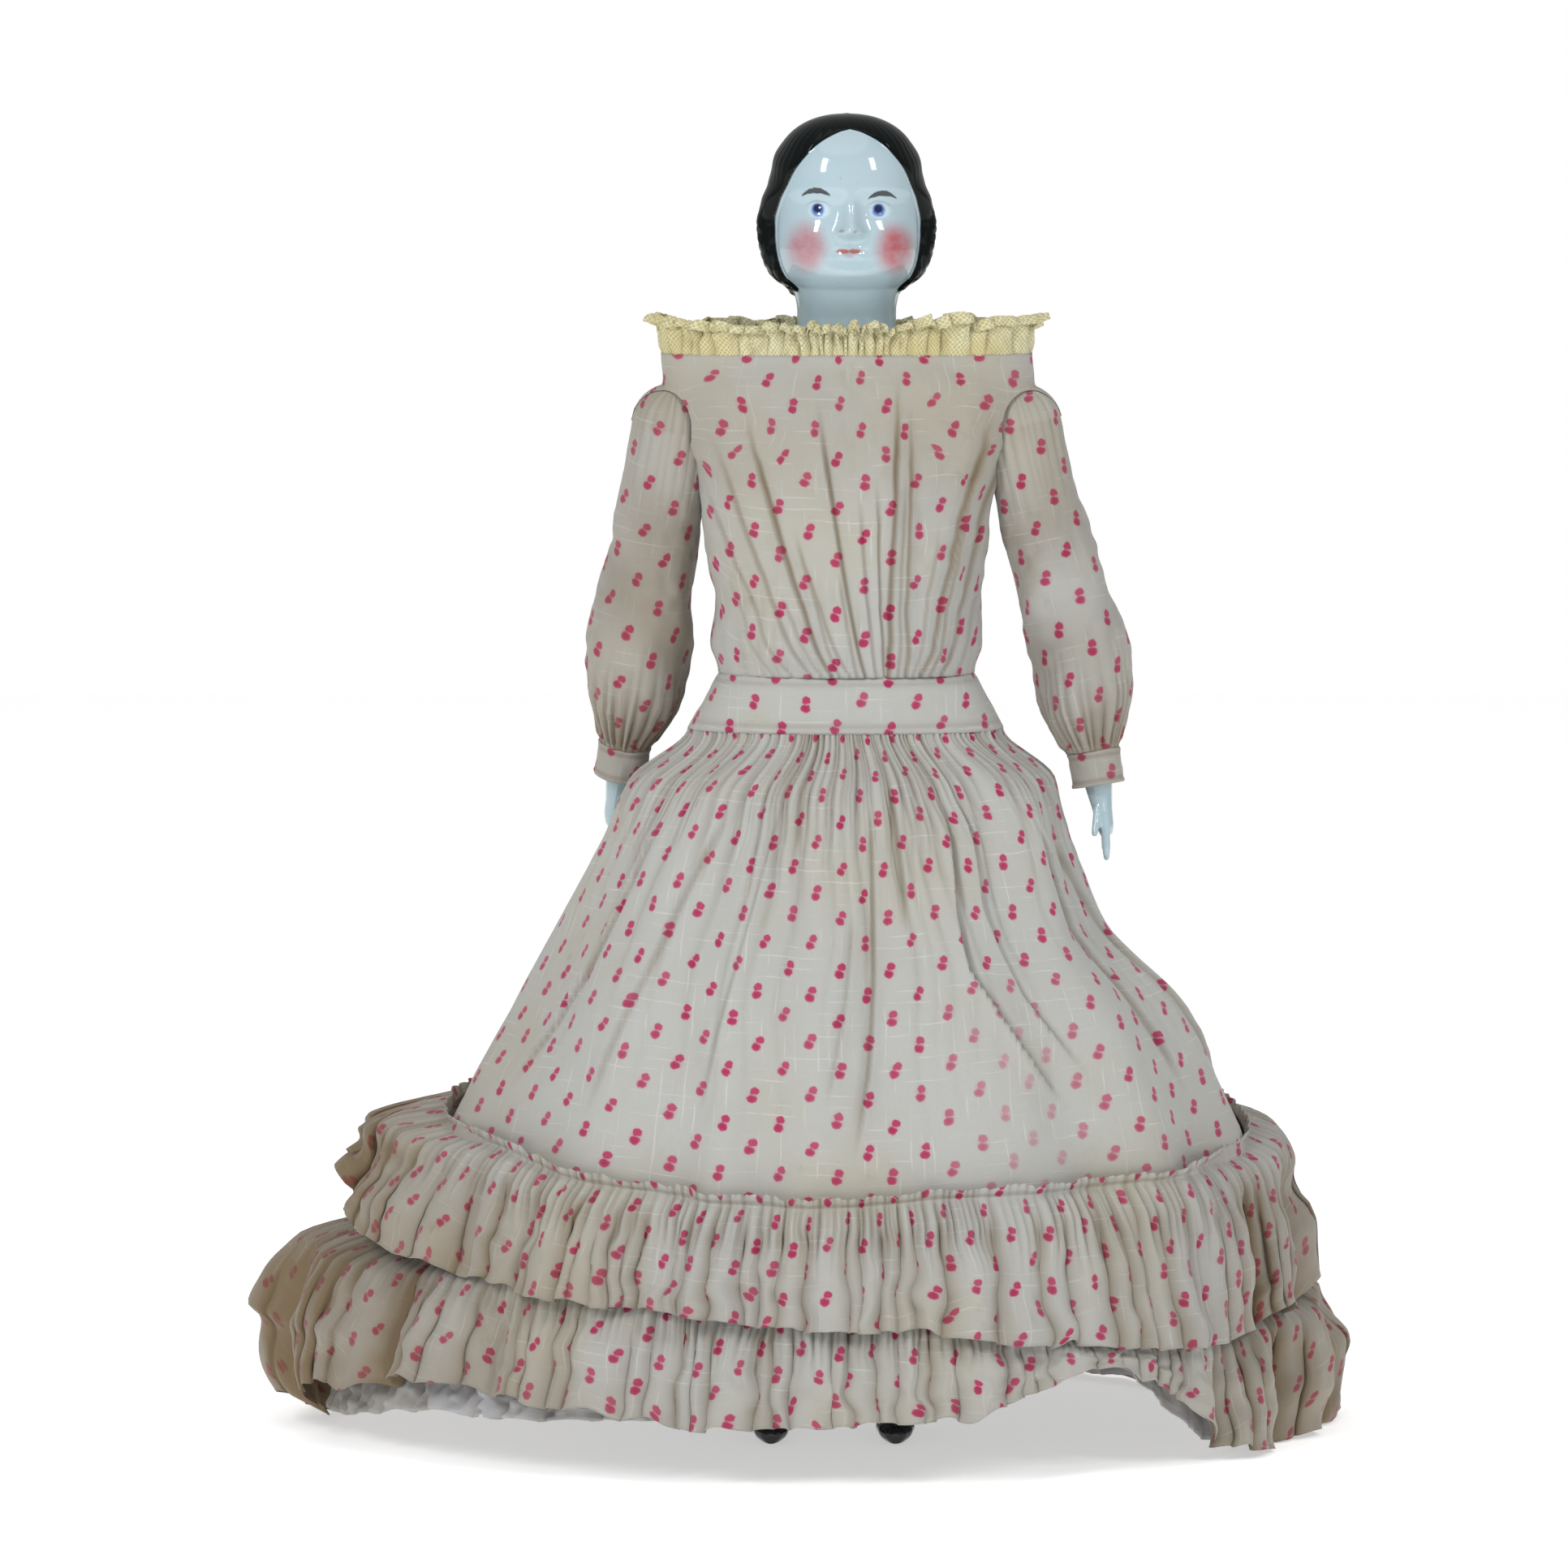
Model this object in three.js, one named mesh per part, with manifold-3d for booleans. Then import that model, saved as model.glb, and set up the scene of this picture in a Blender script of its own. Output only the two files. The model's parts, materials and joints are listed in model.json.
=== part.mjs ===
// A china head doll of about 1870 in a gathered cotton print dress.
// A glazed porcelain shoulder head is sewn with tapes to a stuffed cloth body. Forearms with hands and
// lower legs with black boots are porcelain too, tied into the cloth limbs. Over them come a petticoat with
// a frill and a dress: bodice, yoke, two sleeves with cuffs, neck frill, skirt and two gathered flounces.
// Millimetres, +Z up, the doll faces -Y and its own left side is at +X.
// The origin is under the middle of the whole doll, on the surface it stands on.
import * as THREE from "three";
import { mergeVertices } from "three/addons/utils/BufferGeometryUtils.js";
import Module from "manifold-3d";

const wasm = await Module();
wasm.setup();

// Clearances and cloth
const seatGap = 0.3; // between pieces that touch
const swingGap = 0.4; // round a ball end that turns
const clothWall = 1; // cloth with its hem and gathers
const weldDistance = 0.001;
const overrun = 4; // how far a cutter passes its cut

// Porcelain shoulder head
const headHeight = 60;
const faceHalfWidth = 24.6;
const faceDepth = 26.5;
const backDepth = 27.5;
const hairLift = 1.1; // step of the moulded hair at the hairline
const sideRollDepth = 4.6; // hair rolls over the ears
const neckHalfWidth = 17;
const neckHalfDepth = 15.5;
const neckLength = 17;
const plateHalfWidth = 40;
const plateHalfDepth = 24;
const plateDrop = 28; // neck root to plate rim
const plateSideArch = 8; // the rim rises over each arm
const porcelainWall = 3;
const sewHoleRadius = 1.5;
const sewHoleHalfSpan = 26;
const sewHoleAboveRim = 6;
const tapeKnotRadius = 2;
const headTurn = THREE.MathUtils.degToRad(3);

// Stuffed body
const torsoAboveHip = 3;
const torsoLength = 158;
const torsoInPlate = 16; // the plate comes down over the torso's top
const torsoHalfWidth = 50;
const torsoHalfDepth = 26;

// Arms: the doll's right one hangs a little further back
const shoulderHalfSpan = 60;
const shoulderBelowRim = 2;
const shoulderForward = 1;
const armBallRadius = 11.5;
const elbowBallRadius = 10.5;
const upperArmShare = 0.5317; // of the torso's length
const forearmLength = 71; // elbow to finger tips
const forearmClothLength = 20;
const forearmPlugLength = 11; // porcelain held inside the cloth
const forearmPlugRadius = 5.2;
const forearmRadius = 7.4;
const wristRadius = 4.6;
const handLength = 25;
const handHalfWidth = 6;
const handHalfThickness = 3.1;
const fingerLength = 12;
const fingerRadius = 1.6;
const thumbLength = 12;
const thumbRadius = 1.6;
const limbTapeWidth = 4;
const limbTapeWall = 1.2;
const shoulderSlant = THREE.MathUtils.degToRad(25); // forward swing also opens outward
const armHang = {
  left: {
    upperOut: THREE.MathUtils.degToRad(14),
    upperBack: THREE.MathUtils.degToRad(0),
    foreOut: THREE.MathUtils.degToRad(9),
    foreBack: THREE.MathUtils.degToRad(-4),
  },
  right: {
    upperOut: THREE.MathUtils.degToRad(8),
    upperBack: THREE.MathUtils.degToRad(10),
    foreOut: THREE.MathUtils.degToRad(10),
    foreBack: THREE.MathUtils.degToRad(13),
  },
};

// Legs
const hipHalfSpan = 21.5;
const hipHeight = 207;
const hipBallRadius = 15;
const kneeHeight = 108;
const kneeBallRadius = 11.5;
const legClothLength = 26; // cloth below the knee
const legPlugLength = 14;
const legPlugRadius = 7;
const calfRadius = 9.5;
const ankleRadius = 6.3;
const ankleHeight = 24;
const legLean = 4.5; // both feet stand a little to the doll's right
const bootLength = 38;
const bootHalfWidth = 7;
const bootToeHeight = 8.5;
const heelBehindAnkle = 9;
const soleWall = 1.6;

// Dress above the waist
const neckAboveRim = 23;
const bodiceHalfWidth = 64.5;
const bodiceHalfDepth = 31;
const bodicePleatDepth = 0.9;
const bodicePleatCount = 9;
const armholeEase = 1;
const placketWidth = 0.8; // the dress opens down its back
const buttonRadius = 3;
const buttonWall = 1.6;
const buttonCount = 4;
const buttonPitchShare = 0.2193; // of the bodice's length
const topButtonShare = 0.1188;
const frillHeight = 9;
const frillWave = 1.6;
const frillWaveCount = 15;
const sleeveRadius = 17.6; // at its fullest, by the elbow
const sleeveBelowElbow = 31;
const cuffLength = 12;
const cuffRadius = 9;
const cuffWall = 1.2;

// Yoke, skirt and flounces
const yokeHeight = 19;
const yokeWall = 1.2;
const yokeSeamAboveHip = 39; // the gathered skirt starts here
const skirtHalfWidth = 172;
const skirtFrontDepth = 116;
const skirtBackDepth = 142;
const wingReach = 44; // the skirt spreads out at both sides, behind
const wingAngle = THREE.MathUtils.degToRad(101);
const wingSpread = THREE.MathUtils.degToRad(21);
const skirtFoldDepth = 3.6;
const skirtFoldCount = 13;
const armHollowDepth = 6; // the hanging arms press the skirt in
const armHollowAboveFingertip = 17;
const armHollowSpan = 24;
const armHollowSpread = THREE.MathUtils.degToRad(15);
const upperSeamHeight = 104;
const lowerSeamHeight = 64;
const hemLift = 28; // the hem hangs clear of the floor in front
const flounceStandOff = 0.8;
const flounceFlare = 2.5;
const flounceWave = 5;
const flounceWaveCount = 15;
const flounceOverlapShare = 0.14;

// Petticoat
const petticoatBandHeight = 8;
const petticoatBandEase = 0.8;
const petticoatInset = 9;
const petticoatSeamHeight = 50;
const petticoatWave = 3;
const petticoatWaveCount = 10;
const petticoatHemLift = 3;
const petticoatShows = 4; // it shows under the hem in front, on the doll's right
const petticoatShowsAngle = THREE.MathUtils.degToRad(-60);
const petticoatShowsSpread = THREE.MathUtils.degToRad(26);

// Facets
const clothColumns = 60; // four to each gather of a flounce
const petticoatColumns = 24;
const petticoatFrillColumns = 40; // four to each gather
const bodiceColumns = 36; // four to each pleat
const sleeveColumns = 16;
const torsoColumns = 16;
const headColumns = 36;
const hollowColumns = 18;
const limbColumns = 12;
const ballColumns = 16;
const knotColumns = 8;

const glazedChina = new THREE.MeshStandardMaterial({ color: 0xd9e2e4, roughness: 0.12, metalness: 0 });
const muslin = new THREE.MeshStandardMaterial({ color: 0xd8cdb4, roughness: 0.9, metalness: 0 });
const printedCotton = new THREE.MeshStandardMaterial({ color: 0xdcd8cc, roughness: 0.85, metalness: 0 });
const creamNet = new THREE.MeshStandardMaterial({ color: 0xe2dcb0, roughness: 0.9, metalness: 0 });
const whiteCotton = new THREE.MeshStandardMaterial({ color: 0xc9c9c8, roughness: 0.88, metalness: 0 });
const cottonTape = new THREE.MeshStandardMaterial({ color: 0xcfc4a8, roughness: 0.9, metalness: 0 });
const buttonChina = new THREE.MeshStandardMaterial({ color: 0xeeeae0, roughness: 0.25, metalness: 0 });

// Heights that follow from the sizes above
const torsoBottom = hipHeight + torsoAboveHip;
const rimHeight = torsoBottom + torsoLength - torsoInPlate;
const neckRoot = rimHeight + plateDrop;
const chinHeight = neckRoot + neckLength;
const crownHeight = chinHeight + headHeight;
const shoulderHeight = rimHeight - shoulderBelowRim;
const upperArmLength = torsoLength * upperArmShare;
const yokeSeam = hipHeight + yokeSeamAboveHip;
const yokeBottom = yokeSeam + seatGap;
const yokeTop = yokeBottom + yokeHeight;
const bodiceBottom = yokeTop + seatGap;
const bodiceTop = rimHeight + neckAboveRim;
const bodiceLength = bodiceTop - bodiceBottom;

// Smooth curves through hand-chosen stations

// A value that runs smoothly through rows of [place, value, value, ...], read at a place and a column.
function through(rows, column) {
  const place = rows.map((row) => row[0]);
  const value = rows.map((row) => row[column]);
  const slope = place.map((_, i) => {
    if (i === 0 || i === place.length - 1) return 0;
    const before = (value[i] - value[i - 1]) / (place[i] - place[i - 1]);
    const after = (value[i + 1] - value[i]) / (place[i + 1] - place[i]);
    return before * after > 0 ? (2 * before * after) / (before + after) : 0;
  });
  return (at) => {
    const last = place.length - 1;
    if (at <= place[0]) return value[0];
    if (at >= place[last]) return value[last];
    const i = place.findIndex((p) => p > at) - 1;
    const span = place[i + 1] - place[i];
    const t = (at - place[i]) / span;
    const rest = 1 - t;
    return (
      value[i] * (1 + 2 * t) * rest * rest +
      slope[i] * span * t * rest * rest +
      value[i + 1] * t * t * (3 - 2 * t) -
      slope[i + 1] * span * t * t * rest
    );
  };
}

// A value that runs smoothly round the doll through evenly spaced shares, from the front over its left side.
function around(shares) {
  const count = shares.length;
  return (angle) => {
    const turn = THREE.MathUtils.euclideanModulo(angle / (2 * Math.PI), 1) * count;
    const i = Math.floor(turn);
    const t = turn - i;
    const [a, b, c, d] = [-1, 0, 1, 2].map((k) => shares[(i + k + count) % count]);
    const [linear, square, cube] = [c - a, 2 * a - 5 * b + 4 * c - d, 3 * b - a - 3 * c + d];
    return b + (linear * t + square * t * t + cube * t * t * t) / 2;
  };
}

// Radius of a rounded oval, with angle 0 at the front and a quarter turn at the doll's left.
function ovalRadius(halfWidth, halfDepth, angle, squareness = 2.3) {
  const across = Math.abs(Math.sin(angle) / halfWidth) ** squareness;
  const along = Math.abs(Math.cos(angle) / halfDepth) ** squareness;
  return (across + along) ** (-1 / squareness);
}

// The point at a radius and a height, round the doll's own axis.
function polar(radius, angle, height) {
  return new THREE.Vector3(radius * Math.sin(angle), -radius * Math.cos(angle), height);
}

// Building closed surfaces

// Faces between rings of points, wound so that they point outwards.
// A skin that loops runs from its last ring back to its first, as a cloth wall does, and its inner half
// is split along the same diagonals as its outer half. Otherwise it has caps.
function skin(rings, loops = false) {
  const count = rings[0].length;
  const points = rings.flat();
  const faces = [];
  const strips = loops ? rings.length : rings.length - 1;
  for (let i = 0; i < strips; i++) {
    const next = (i + 1) % rings.length;
    const inside = loops && i >= rings.length / 2;
    for (let j = 0; j < count; j++) {
      const beside = (j + 1) % count;
      const [a, b] = [i * count + j, i * count + beside];
      const [c, d] = [next * count + j, next * count + beside];
      faces.push(...(inside ? [[a, b, c], [b, d, c]] : [[a, b, d], [a, d, c]]));
    }
  }
  if (!loops) {
    const ends = [rings[0], rings[rings.length - 1]].map((ring) => {
      const middle = ring.reduce((sum, p) => sum.add(p), new THREE.Vector3()).divideScalar(count);
      return points.push(middle) - 1;
    });
    const lastRing = (rings.length - 1) * count;
    for (let j = 0; j < count; j++) {
      const beside = (j + 1) % count;
      faces.push([ends[0], beside, j], [ends[1], lastRing + j, lastRing + beside]);
    }
  }
  const volume = faces.reduce((sum, [a, b, c]) => {
    const cross = new THREE.Vector3().crossVectors(points[b], points[c]);
    return sum + points[a].dot(cross);
  }, 0);
  const index = faces.flatMap(([a, b, c]) => (volume > 0 ? [a, b, c] : [a, c, b]));
  return new THREE.BufferGeometry().setFromPoints(points).setIndex(index);
}

// A ring of points from a function of the angle.
function ring(columns, pointAt) {
  return Array.from({ length: columns }, (_, j) => pointAt((2 * Math.PI * j) / columns));
}

// A cloth wall: outer rings from top to hem, then inner rings back up. pointAt takes angle, row and depth.
function clothShell(columns, rows, wall, pointAt) {
  const outer = rows.map((row) => ring(columns, (angle) => pointAt(angle, row, 0)));
  const inner = rows.map((row) => ring(columns, (angle) => pointAt(angle, row, wall)));
  return skin([...outer, ...inner.reverse()], true);
}

// A solid along a path: each station is [share of the path, radius across, radius front to back].
function limb(path, stations, across, columns = limbColumns) {
  const rings = stations.map(([share, acrossRadius, depthRadius]) => {
    const centre = path.getPoint(share);
    const along = path.getTangent(share).normalize();
    const side = across.clone().addScaledVector(along, -across.dot(along)).normalize();
    const front = new THREE.Vector3().crossVectors(along, side);
    return ring(columns, (angle) =>
      centre
        .clone()
        .addScaledVector(side, acrossRadius * Math.sin(angle))
        .addScaledVector(front, depthRadius * Math.cos(angle)),
    );
  });
  return skin(rings);
}

function toSolid(geometry) {
  const bare = new THREE.BufferGeometry();
  bare.setAttribute("position", geometry.getAttribute("position"));
  if (geometry.index) bare.setIndex(geometry.index);
  const merged = mergeVertices(bare, weldDistance);
  return new wasm.Manifold(
    new wasm.Mesh({
      numProp: 3,
      vertProperties: merged.attributes.position.array,
      triVerts: new Uint32Array(merged.index.array),
    }),
  );
}

function toGeometry(manifold) {
  const mesh = manifold.getMesh();
  const geometry = new THREE.BufferGeometry();
  geometry.setAttribute("position", new THREE.BufferAttribute(Float32Array.from(mesh.vertProperties), 3));
  geometry.setIndex(new THREE.BufferAttribute(Uint32Array.from(mesh.triVerts), 1));
  geometry.computeVertexNormals();
  return geometry;
}

function ball(centre, radius, columns = ballColumns) {
  const geometry = new THREE.SphereGeometry(radius, columns, columns / 2);
  return geometry.translate(centre.x, centre.y, centre.z);
}

// A cutter whose facets lie outside the ball of that radius, so that a ball turns in it.
const ballFacetShare = Math.cos(Math.PI / ballColumns) ** 2;
function socketBall(centre, radius) {
  return toSolid(ball(centre, radius / ballFacetShare));
}

// A cylinder from one point to another.
function rod(from, to, radius, columns = 12) {
  const along = to.clone().sub(from);
  const geometry = new THREE.CylinderGeometry(radius, radius, along.length(), columns);
  const turn = new THREE.Quaternion().setFromUnitVectors(new THREE.Vector3(0, 1, 0), along.normalize());
  const middle = from.clone().add(to).multiplyScalar(0.5);
  return geometry.applyQuaternion(turn).translate(middle.x, middle.y, middle.z);
}

const doll = new THREE.Group();
doll.name = "china_head_doll";

function addPiece(name, geometry, material, parent = doll) {
  const mesh = new THREE.Mesh(geometry, material);
  mesh.name = name;
  parent.add(mesh);
  return mesh;
}

// Porcelain shoulder head: one skin of rings from the plate rim to the crown

const headSquareness = 2.15;
// Height share of the head, then shares of face width, face depth and back depth.
const headShares = [
  [0.0, 0.76, 0.66, 0.66],
  [0.035, 0.83, 0.84, 0.72],
  [0.08, 0.9, 0.92, 0.78],
  [0.15, 0.955, 0.94, 0.86],
  [0.25, 0.99, 0.93, 0.93],
  [0.36, 1.0, 0.94, 0.97],
  [0.48, 1.0, 0.95, 1.0],
  [0.6, 0.985, 1.0, 1.0],
  [0.72, 0.94, 1.0, 0.97],
  [0.82, 0.84, 0.93, 0.88],
  [0.9, 0.69, 0.78, 0.73],
  [0.96, 0.47, 0.54, 0.5],
  [1.0, 0.16, 0.18, 0.17],
];
// Height share of the head, then the share of a half turn where the hair begins.
const hairlineShares = [
  [0.0, 0.34],
  [0.1, 0.41],
  [0.23, 0.435],
  [0.39, 0.445],
  [0.5, 0.4],
  [0.6, 0.333],
  [0.7, 0.277],
  [0.766, 0.228],
  [0.84, 0.16],
  [0.9, 0.06],
  [0.92, 0.0],
];
// Height share of the head, then how far the side rolls stand out, as a share.
const sideRollShares = [
  [0.0, 0.15],
  [0.08, 0.55],
  [0.2, 0.85],
  [0.36, 1.0],
  [0.5, 0.85],
  [0.6, 0.32],
  [0.75, 0.14],
  [1.0, 0.0],
];
// Features of the face: across and up in shares of the head, spreads, and height in shares of face depth.
const faceBumpShares = [
  { across: 0, up: 0.355, spreadAcross: 0.046, spreadUp: 0.075, rise: 0.15 }, // nose
  { across: 0, up: 0.325, spreadAcross: 0.045, spreadUp: 0.03, rise: 0.07 }, // tip of the nose
  { across: 0.175, up: 0.475, spreadAcross: 0.085, spreadUp: 0.05, rise: -0.055 }, // eye hollows
  { across: 0.175, up: 0.47, spreadAcross: 0.045, spreadUp: 0.026, rise: 0.03 }, // eyes
  { across: 0.22, up: 0.24, spreadAcross: 0.11, spreadUp: 0.11, rise: 0.06 }, // cheeks
  { across: 0, up: 0.215, spreadAcross: 0.085, spreadUp: 0.06, rise: 0.05 }, // round the mouth
  { across: 0, up: 0.24, spreadAcross: 0.05, spreadUp: 0.016, rise: 0.022 }, // upper lip
  { across: 0, up: 0.19, spreadAcross: 0.045, spreadUp: 0.016, rise: 0.026 }, // lower lip
  { across: 0, up: 0.085, spreadAcross: 0.085, spreadUp: 0.055, rise: 0.085 }, // chin
];
const [headWidthAt, headFrontAt, headBackAt] = [1, 2, 3].map((k) => through(headShares, k));
const hairlineAt = through(hairlineShares, 1);
const sideRollAt = through(sideRollShares, 1);

const smoothStep = (low, high, at) => THREE.MathUtils.smoothstep(at, low, high);

function headRadius(angle, share) {
  const turned = Math.abs(Math.atan2(Math.sin(angle - headTurn), Math.cos(angle - headTurn)));
  const depth = THREE.MathUtils.lerp(
    faceDepth * headFrontAt(share),
    backDepth * headBackAt(share),
    smoothStep(-0.4, 0.4, -Math.cos(turned)),
  );
  let radius = ovalRadius(faceHalfWidth * headWidthAt(share), depth, turned, headSquareness);
  const toHair = turned / Math.PI - hairlineAt(share);
  const hairEdgeShare = 0.035;
  radius += hairLift * smoothStep(-hairEdgeShare, hairEdgeShare, toHair) * smoothStep(0, 0.08, share);
  const rollShare = Math.exp(-(((turned / Math.PI - 0.53) / 0.17) ** 2));
  radius += sideRollDepth * sideRollAt(share) * rollShare * smoothStep(-hairEdgeShare, 0.06, toHair);
  const across = (radius * Math.sin(turned)) / headHeight;
  if (turned < Math.PI / 2) {
    for (const bump of faceBumpShares) {
      const sides = bump.across ? [1, -1] : [1];
      for (const side of sides) {
        const dx = (across - side * bump.across) / bump.spreadAcross;
        const dz = (share - bump.up) / bump.spreadUp;
        radius += bump.rise * faceDepth * Math.exp(-(dx * dx + dz * dz) / 2);
      }
    }
  }
  return radius;
}

// Share of the way from plate rim to chin, then shares of width and depth between neck and plate.
const plateShares = [
  [0.0, 1.0, 0.98],
  [0.12, 1.02, 1.0],
  [0.3, 0.95, 0.94],
  [0.42, 0.78, 0.78],
  [0.52, 0.46, 0.48],
  [0.62, 0.14, 0.16],
  [0.72, 0.0, 0.0],
  [1.0, 0.0, 0.05],
];
const [plateWidthAt, plateDepthAt] = [1, 2].map((k) => through(plateShares, k));

// A point on the plate or neck, a growth outside its outer face. The rim arches up over the arms.
function plateRadius(angle, share, grow) {
  const halfWidth = THREE.MathUtils.lerp(neckHalfWidth, plateHalfWidth, plateWidthAt(share)) + grow;
  const halfDepth = THREE.MathUtils.lerp(neckHalfDepth, plateHalfDepth, plateDepthAt(share)) + grow;
  return ovalRadius(halfWidth, halfDepth, angle);
}
function plateHeight(angle, share, below) {
  const arch = plateSideArch * Math.abs(Math.sin(angle)) ** 3 * (1 - smoothStep(0, 0.45, share));
  return THREE.MathUtils.lerp(rimHeight - below, chinHeight, share) + arch;
}
function plateRing(share, grow, below = 0, columns = headColumns) {
  return ring(columns, (even) => {
    const angle = even - headCrowding * Math.sin(even);
    return polar(plateRadius(angle, share, grow), angle, plateHeight(angle, share, below));
  });
}

const headCrowding = 0.45; // columns stand closer together on the face
const plateRowShares = [0, 0.12, 0.26, 0.38, 0.48, 0.58, 0.7, 0.94];
const headRowShares = [
  0.015, 0.05, 0.09, 0.14, 0.185, 0.215, 0.245, 0.285, 0.32, 0.36, 0.41, 0.455, 0.495, 0.55, 0.62, 0.7, 0.78,
  0.85, 0.9, 0.945, 0.98, 1,
];

function headRing(share, shrink = 0, columns = headColumns) {
  const height = chinHeight + headHeight * share;
  return ring(columns, (even) => {
    const angle = even - headCrowding * Math.sin(even) + headTurn;
    return polar(headRadius(angle, share) - shrink, angle, height);
  });
}

function cavityRing(share, columns) {
  const height = chinHeight + (headHeight - porcelainWall) * share;
  return ring(columns, (angle) => {
    const halfWidth = faceHalfWidth * headWidthAt(share) - porcelainWall;
    const halfDepth = faceDepth * 0.9 * headFrontAt(share) - porcelainWall;
    return polar(ovalRadius(halfWidth, halfDepth, angle), angle, height);
  });
}

function headSkin() {
  return skin([
    ...plateRowShares.map((share) => plateRing(share, 0)),
    ...headRowShares.map((share) => headRing(share)),
  ]);
}

// The room inside the plate and neck, a gap smaller than the porcelain leaves it.
function plateRoomRings(gap) {
  return [
    plateRing(0, -porcelainWall - gap, overrun, hollowColumns),
    ...plateRowShares.slice(1).map((share) => plateRing(share, -porcelainWall - gap, 0, hollowColumns)),
  ];
}

// The hollow inside, which opens at the plate's rim.
const cavityRowShares = [0.12, 0.3, 0.5, 0.7, 0.85, 0.93];
function headHollow() {
  return skin([...plateRoomRings(0), ...cavityRowShares.map((share) => cavityRing(share, hollowColumns))]);
}

const frontAndBack = [-1, 1];
const leftAndRight = [
  { side: "left", sign: 1 },
  { side: "right", sign: -1 },
];

const sewHoleHeight = rimHeight + sewHoleAboveRim;
// Where a sewing tape leaves the plate: a point on its outer face, on the front or the back.
function sewPoint(sign, face, out) {
  const share = sewHoleAboveRim / (chinHeight - rimHeight);
  const halfWidth = THREE.MathUtils.lerp(neckHalfWidth, plateHalfWidth, plateWidthAt(share));
  const halfDepth = THREE.MathUtils.lerp(neckHalfDepth, plateHalfDepth, plateDepthAt(share));
  const across = sewHoleHalfSpan / halfWidth;
  const depth = halfDepth * (1 - across ** 2.3) ** (1 / 2.3);
  return new THREE.Vector3(sign * sewHoleHalfSpan, face * (depth + out), sewHoleHeight);
}

let porcelainHead = toSolid(headSkin()).subtract(toSolid(headHollow()));
for (const { sign } of leftAndRight) {
  for (const face of frontAndBack) {
    const inside = sewPoint(sign, face, -porcelainWall - overrun);
    const hole = rod(inside, sewPoint(sign, face, overrun), sewHoleRadius);
    porcelainHead = porcelainHead.subtract(toSolid(hole));
  }
}
addPiece("shoulder_head", toGeometry(porcelainHead), glazedChina);

// Stuffed cloth torso: rings up to the shoulders, with a dome that fills the plate

const torsoSquareness = 2.4;
// Height share of the torso, then shares of its half width and half depth.
const torsoShares = [
  [0.0, 0.76, 0.78],
  [0.05, 0.9, 0.94],
  [0.184, 0.94, 1.0],
  [0.307, 0.86, 0.9],
  [0.387, 0.82, 0.84],
  [0.49, 0.84, 0.88],
  [0.613, 0.88, 0.92],
  [0.767, 0.88, 0.9],
  [0.877, 0.96, 0.84],
  [0.94, 0.9, 0.68],
  [1.0, 0.5, 0.4],
];
const [torsoWidthAt, torsoDepthAt] = [1, 2].map((k) => through(torsoShares, k));
function torsoRadius(angle, height, grow = 0) {
  const share = (height - torsoBottom) / torsoLength;
  return ovalRadius(
    torsoHalfWidth * torsoWidthAt(share) + grow,
    torsoHalfDepth * torsoDepthAt(share) + grow,
    angle,
    torsoSquareness,
  );
}

const shoulders = {};
const hips = {};
for (const { side, sign } of leftAndRight) {
  shoulders[side] = new THREE.Vector3(sign * shoulderHalfSpan, -shoulderForward, shoulderHeight);
  hips[side] = new THREE.Vector3(sign * hipHalfSpan, 0, hipHeight);
}

let torso = toSolid(
  skin(
    torsoShares.map(([share]) => {
      const height = torsoBottom + torsoLength * share;
      return ring(torsoColumns, (angle) => polar(torsoRadius(angle, height), angle, height));
    }),
  ),
);
const aboveRimShares = plateRowShares.slice(1);
const plateRoom = toSolid(
  skin([plateRing(0, seatGap, seatGap), ...aboveRimShares.map((share) => plateRing(share, seatGap))]),
);
const plateInside = toSolid(skin(plateRoomRings(seatGap)));
torso = torso.subtract(plateRoom.subtract(plateInside));
const sleeveCapRadius = (armBallRadius + swingGap) / ballFacetShare + clothWall;
for (const { side } of leftAndRight) {
  torso = torso
    .subtract(socketBall(shoulders[side], sleeveCapRadius + swingGap))
    .subtract(socketBall(hips[side], hipBallRadius + swingGap));
}
addPiece("torso", toGeometry(torso), muslin);

// Sewing tapes: each passes through a hole of the plate and is knotted outside it
const faceNames = { "-1": "front", 1: "back" };
for (const { side, sign } of leftAndRight) {
  for (const face of frontAndBack) {
    const knot = ball(sewPoint(sign, face, tapeKnotRadius + seatGap), tapeKnotRadius, knotColumns);
    const tapeRadius = sewHoleRadius - seatGap;
    const tapeEnd = sewPoint(sign, face, -porcelainWall * 0.7);
    const tape = rod(tapeEnd, sewPoint(sign, face, tapeKnotRadius), tapeRadius, 6);
    const knotted = toSolid(knot).add(toSolid(tape));
    addPiece(`plate_tape_${faceNames[face]}_${side}`, toGeometry(knotted), cottonTape);
  }
}

// Arms: a ball at the shoulder, a stuffed upper arm, and a porcelain forearm tied into a cloth one

function hangDirection(sign, out, back) {
  return new THREE.Vector3(sign * Math.tan(out), Math.tan(back), -1).normalize();
}

const acrossDoll = new THREE.Vector3(1, 0, 0);
const frontward = new THREE.Vector3(0, -1, 0);
const arms = {};
for (const { side, sign } of leftAndRight) {
  const hang = armHang[side];
  const shoulder = shoulders[side];
  const upperAlong = hangDirection(sign, hang.upperOut, hang.upperBack);
  const foreAlong = hangDirection(sign, hang.foreOut, hang.foreBack);
  const elbow = shoulder.clone().addScaledVector(upperAlong, upperArmLength);
  const fingertip = elbow.clone().addScaledVector(foreAlong, forearmLength);
  arms[side] = { sign, shoulder, elbow, fingertip, upperAlong, foreAlong };
}

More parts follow.
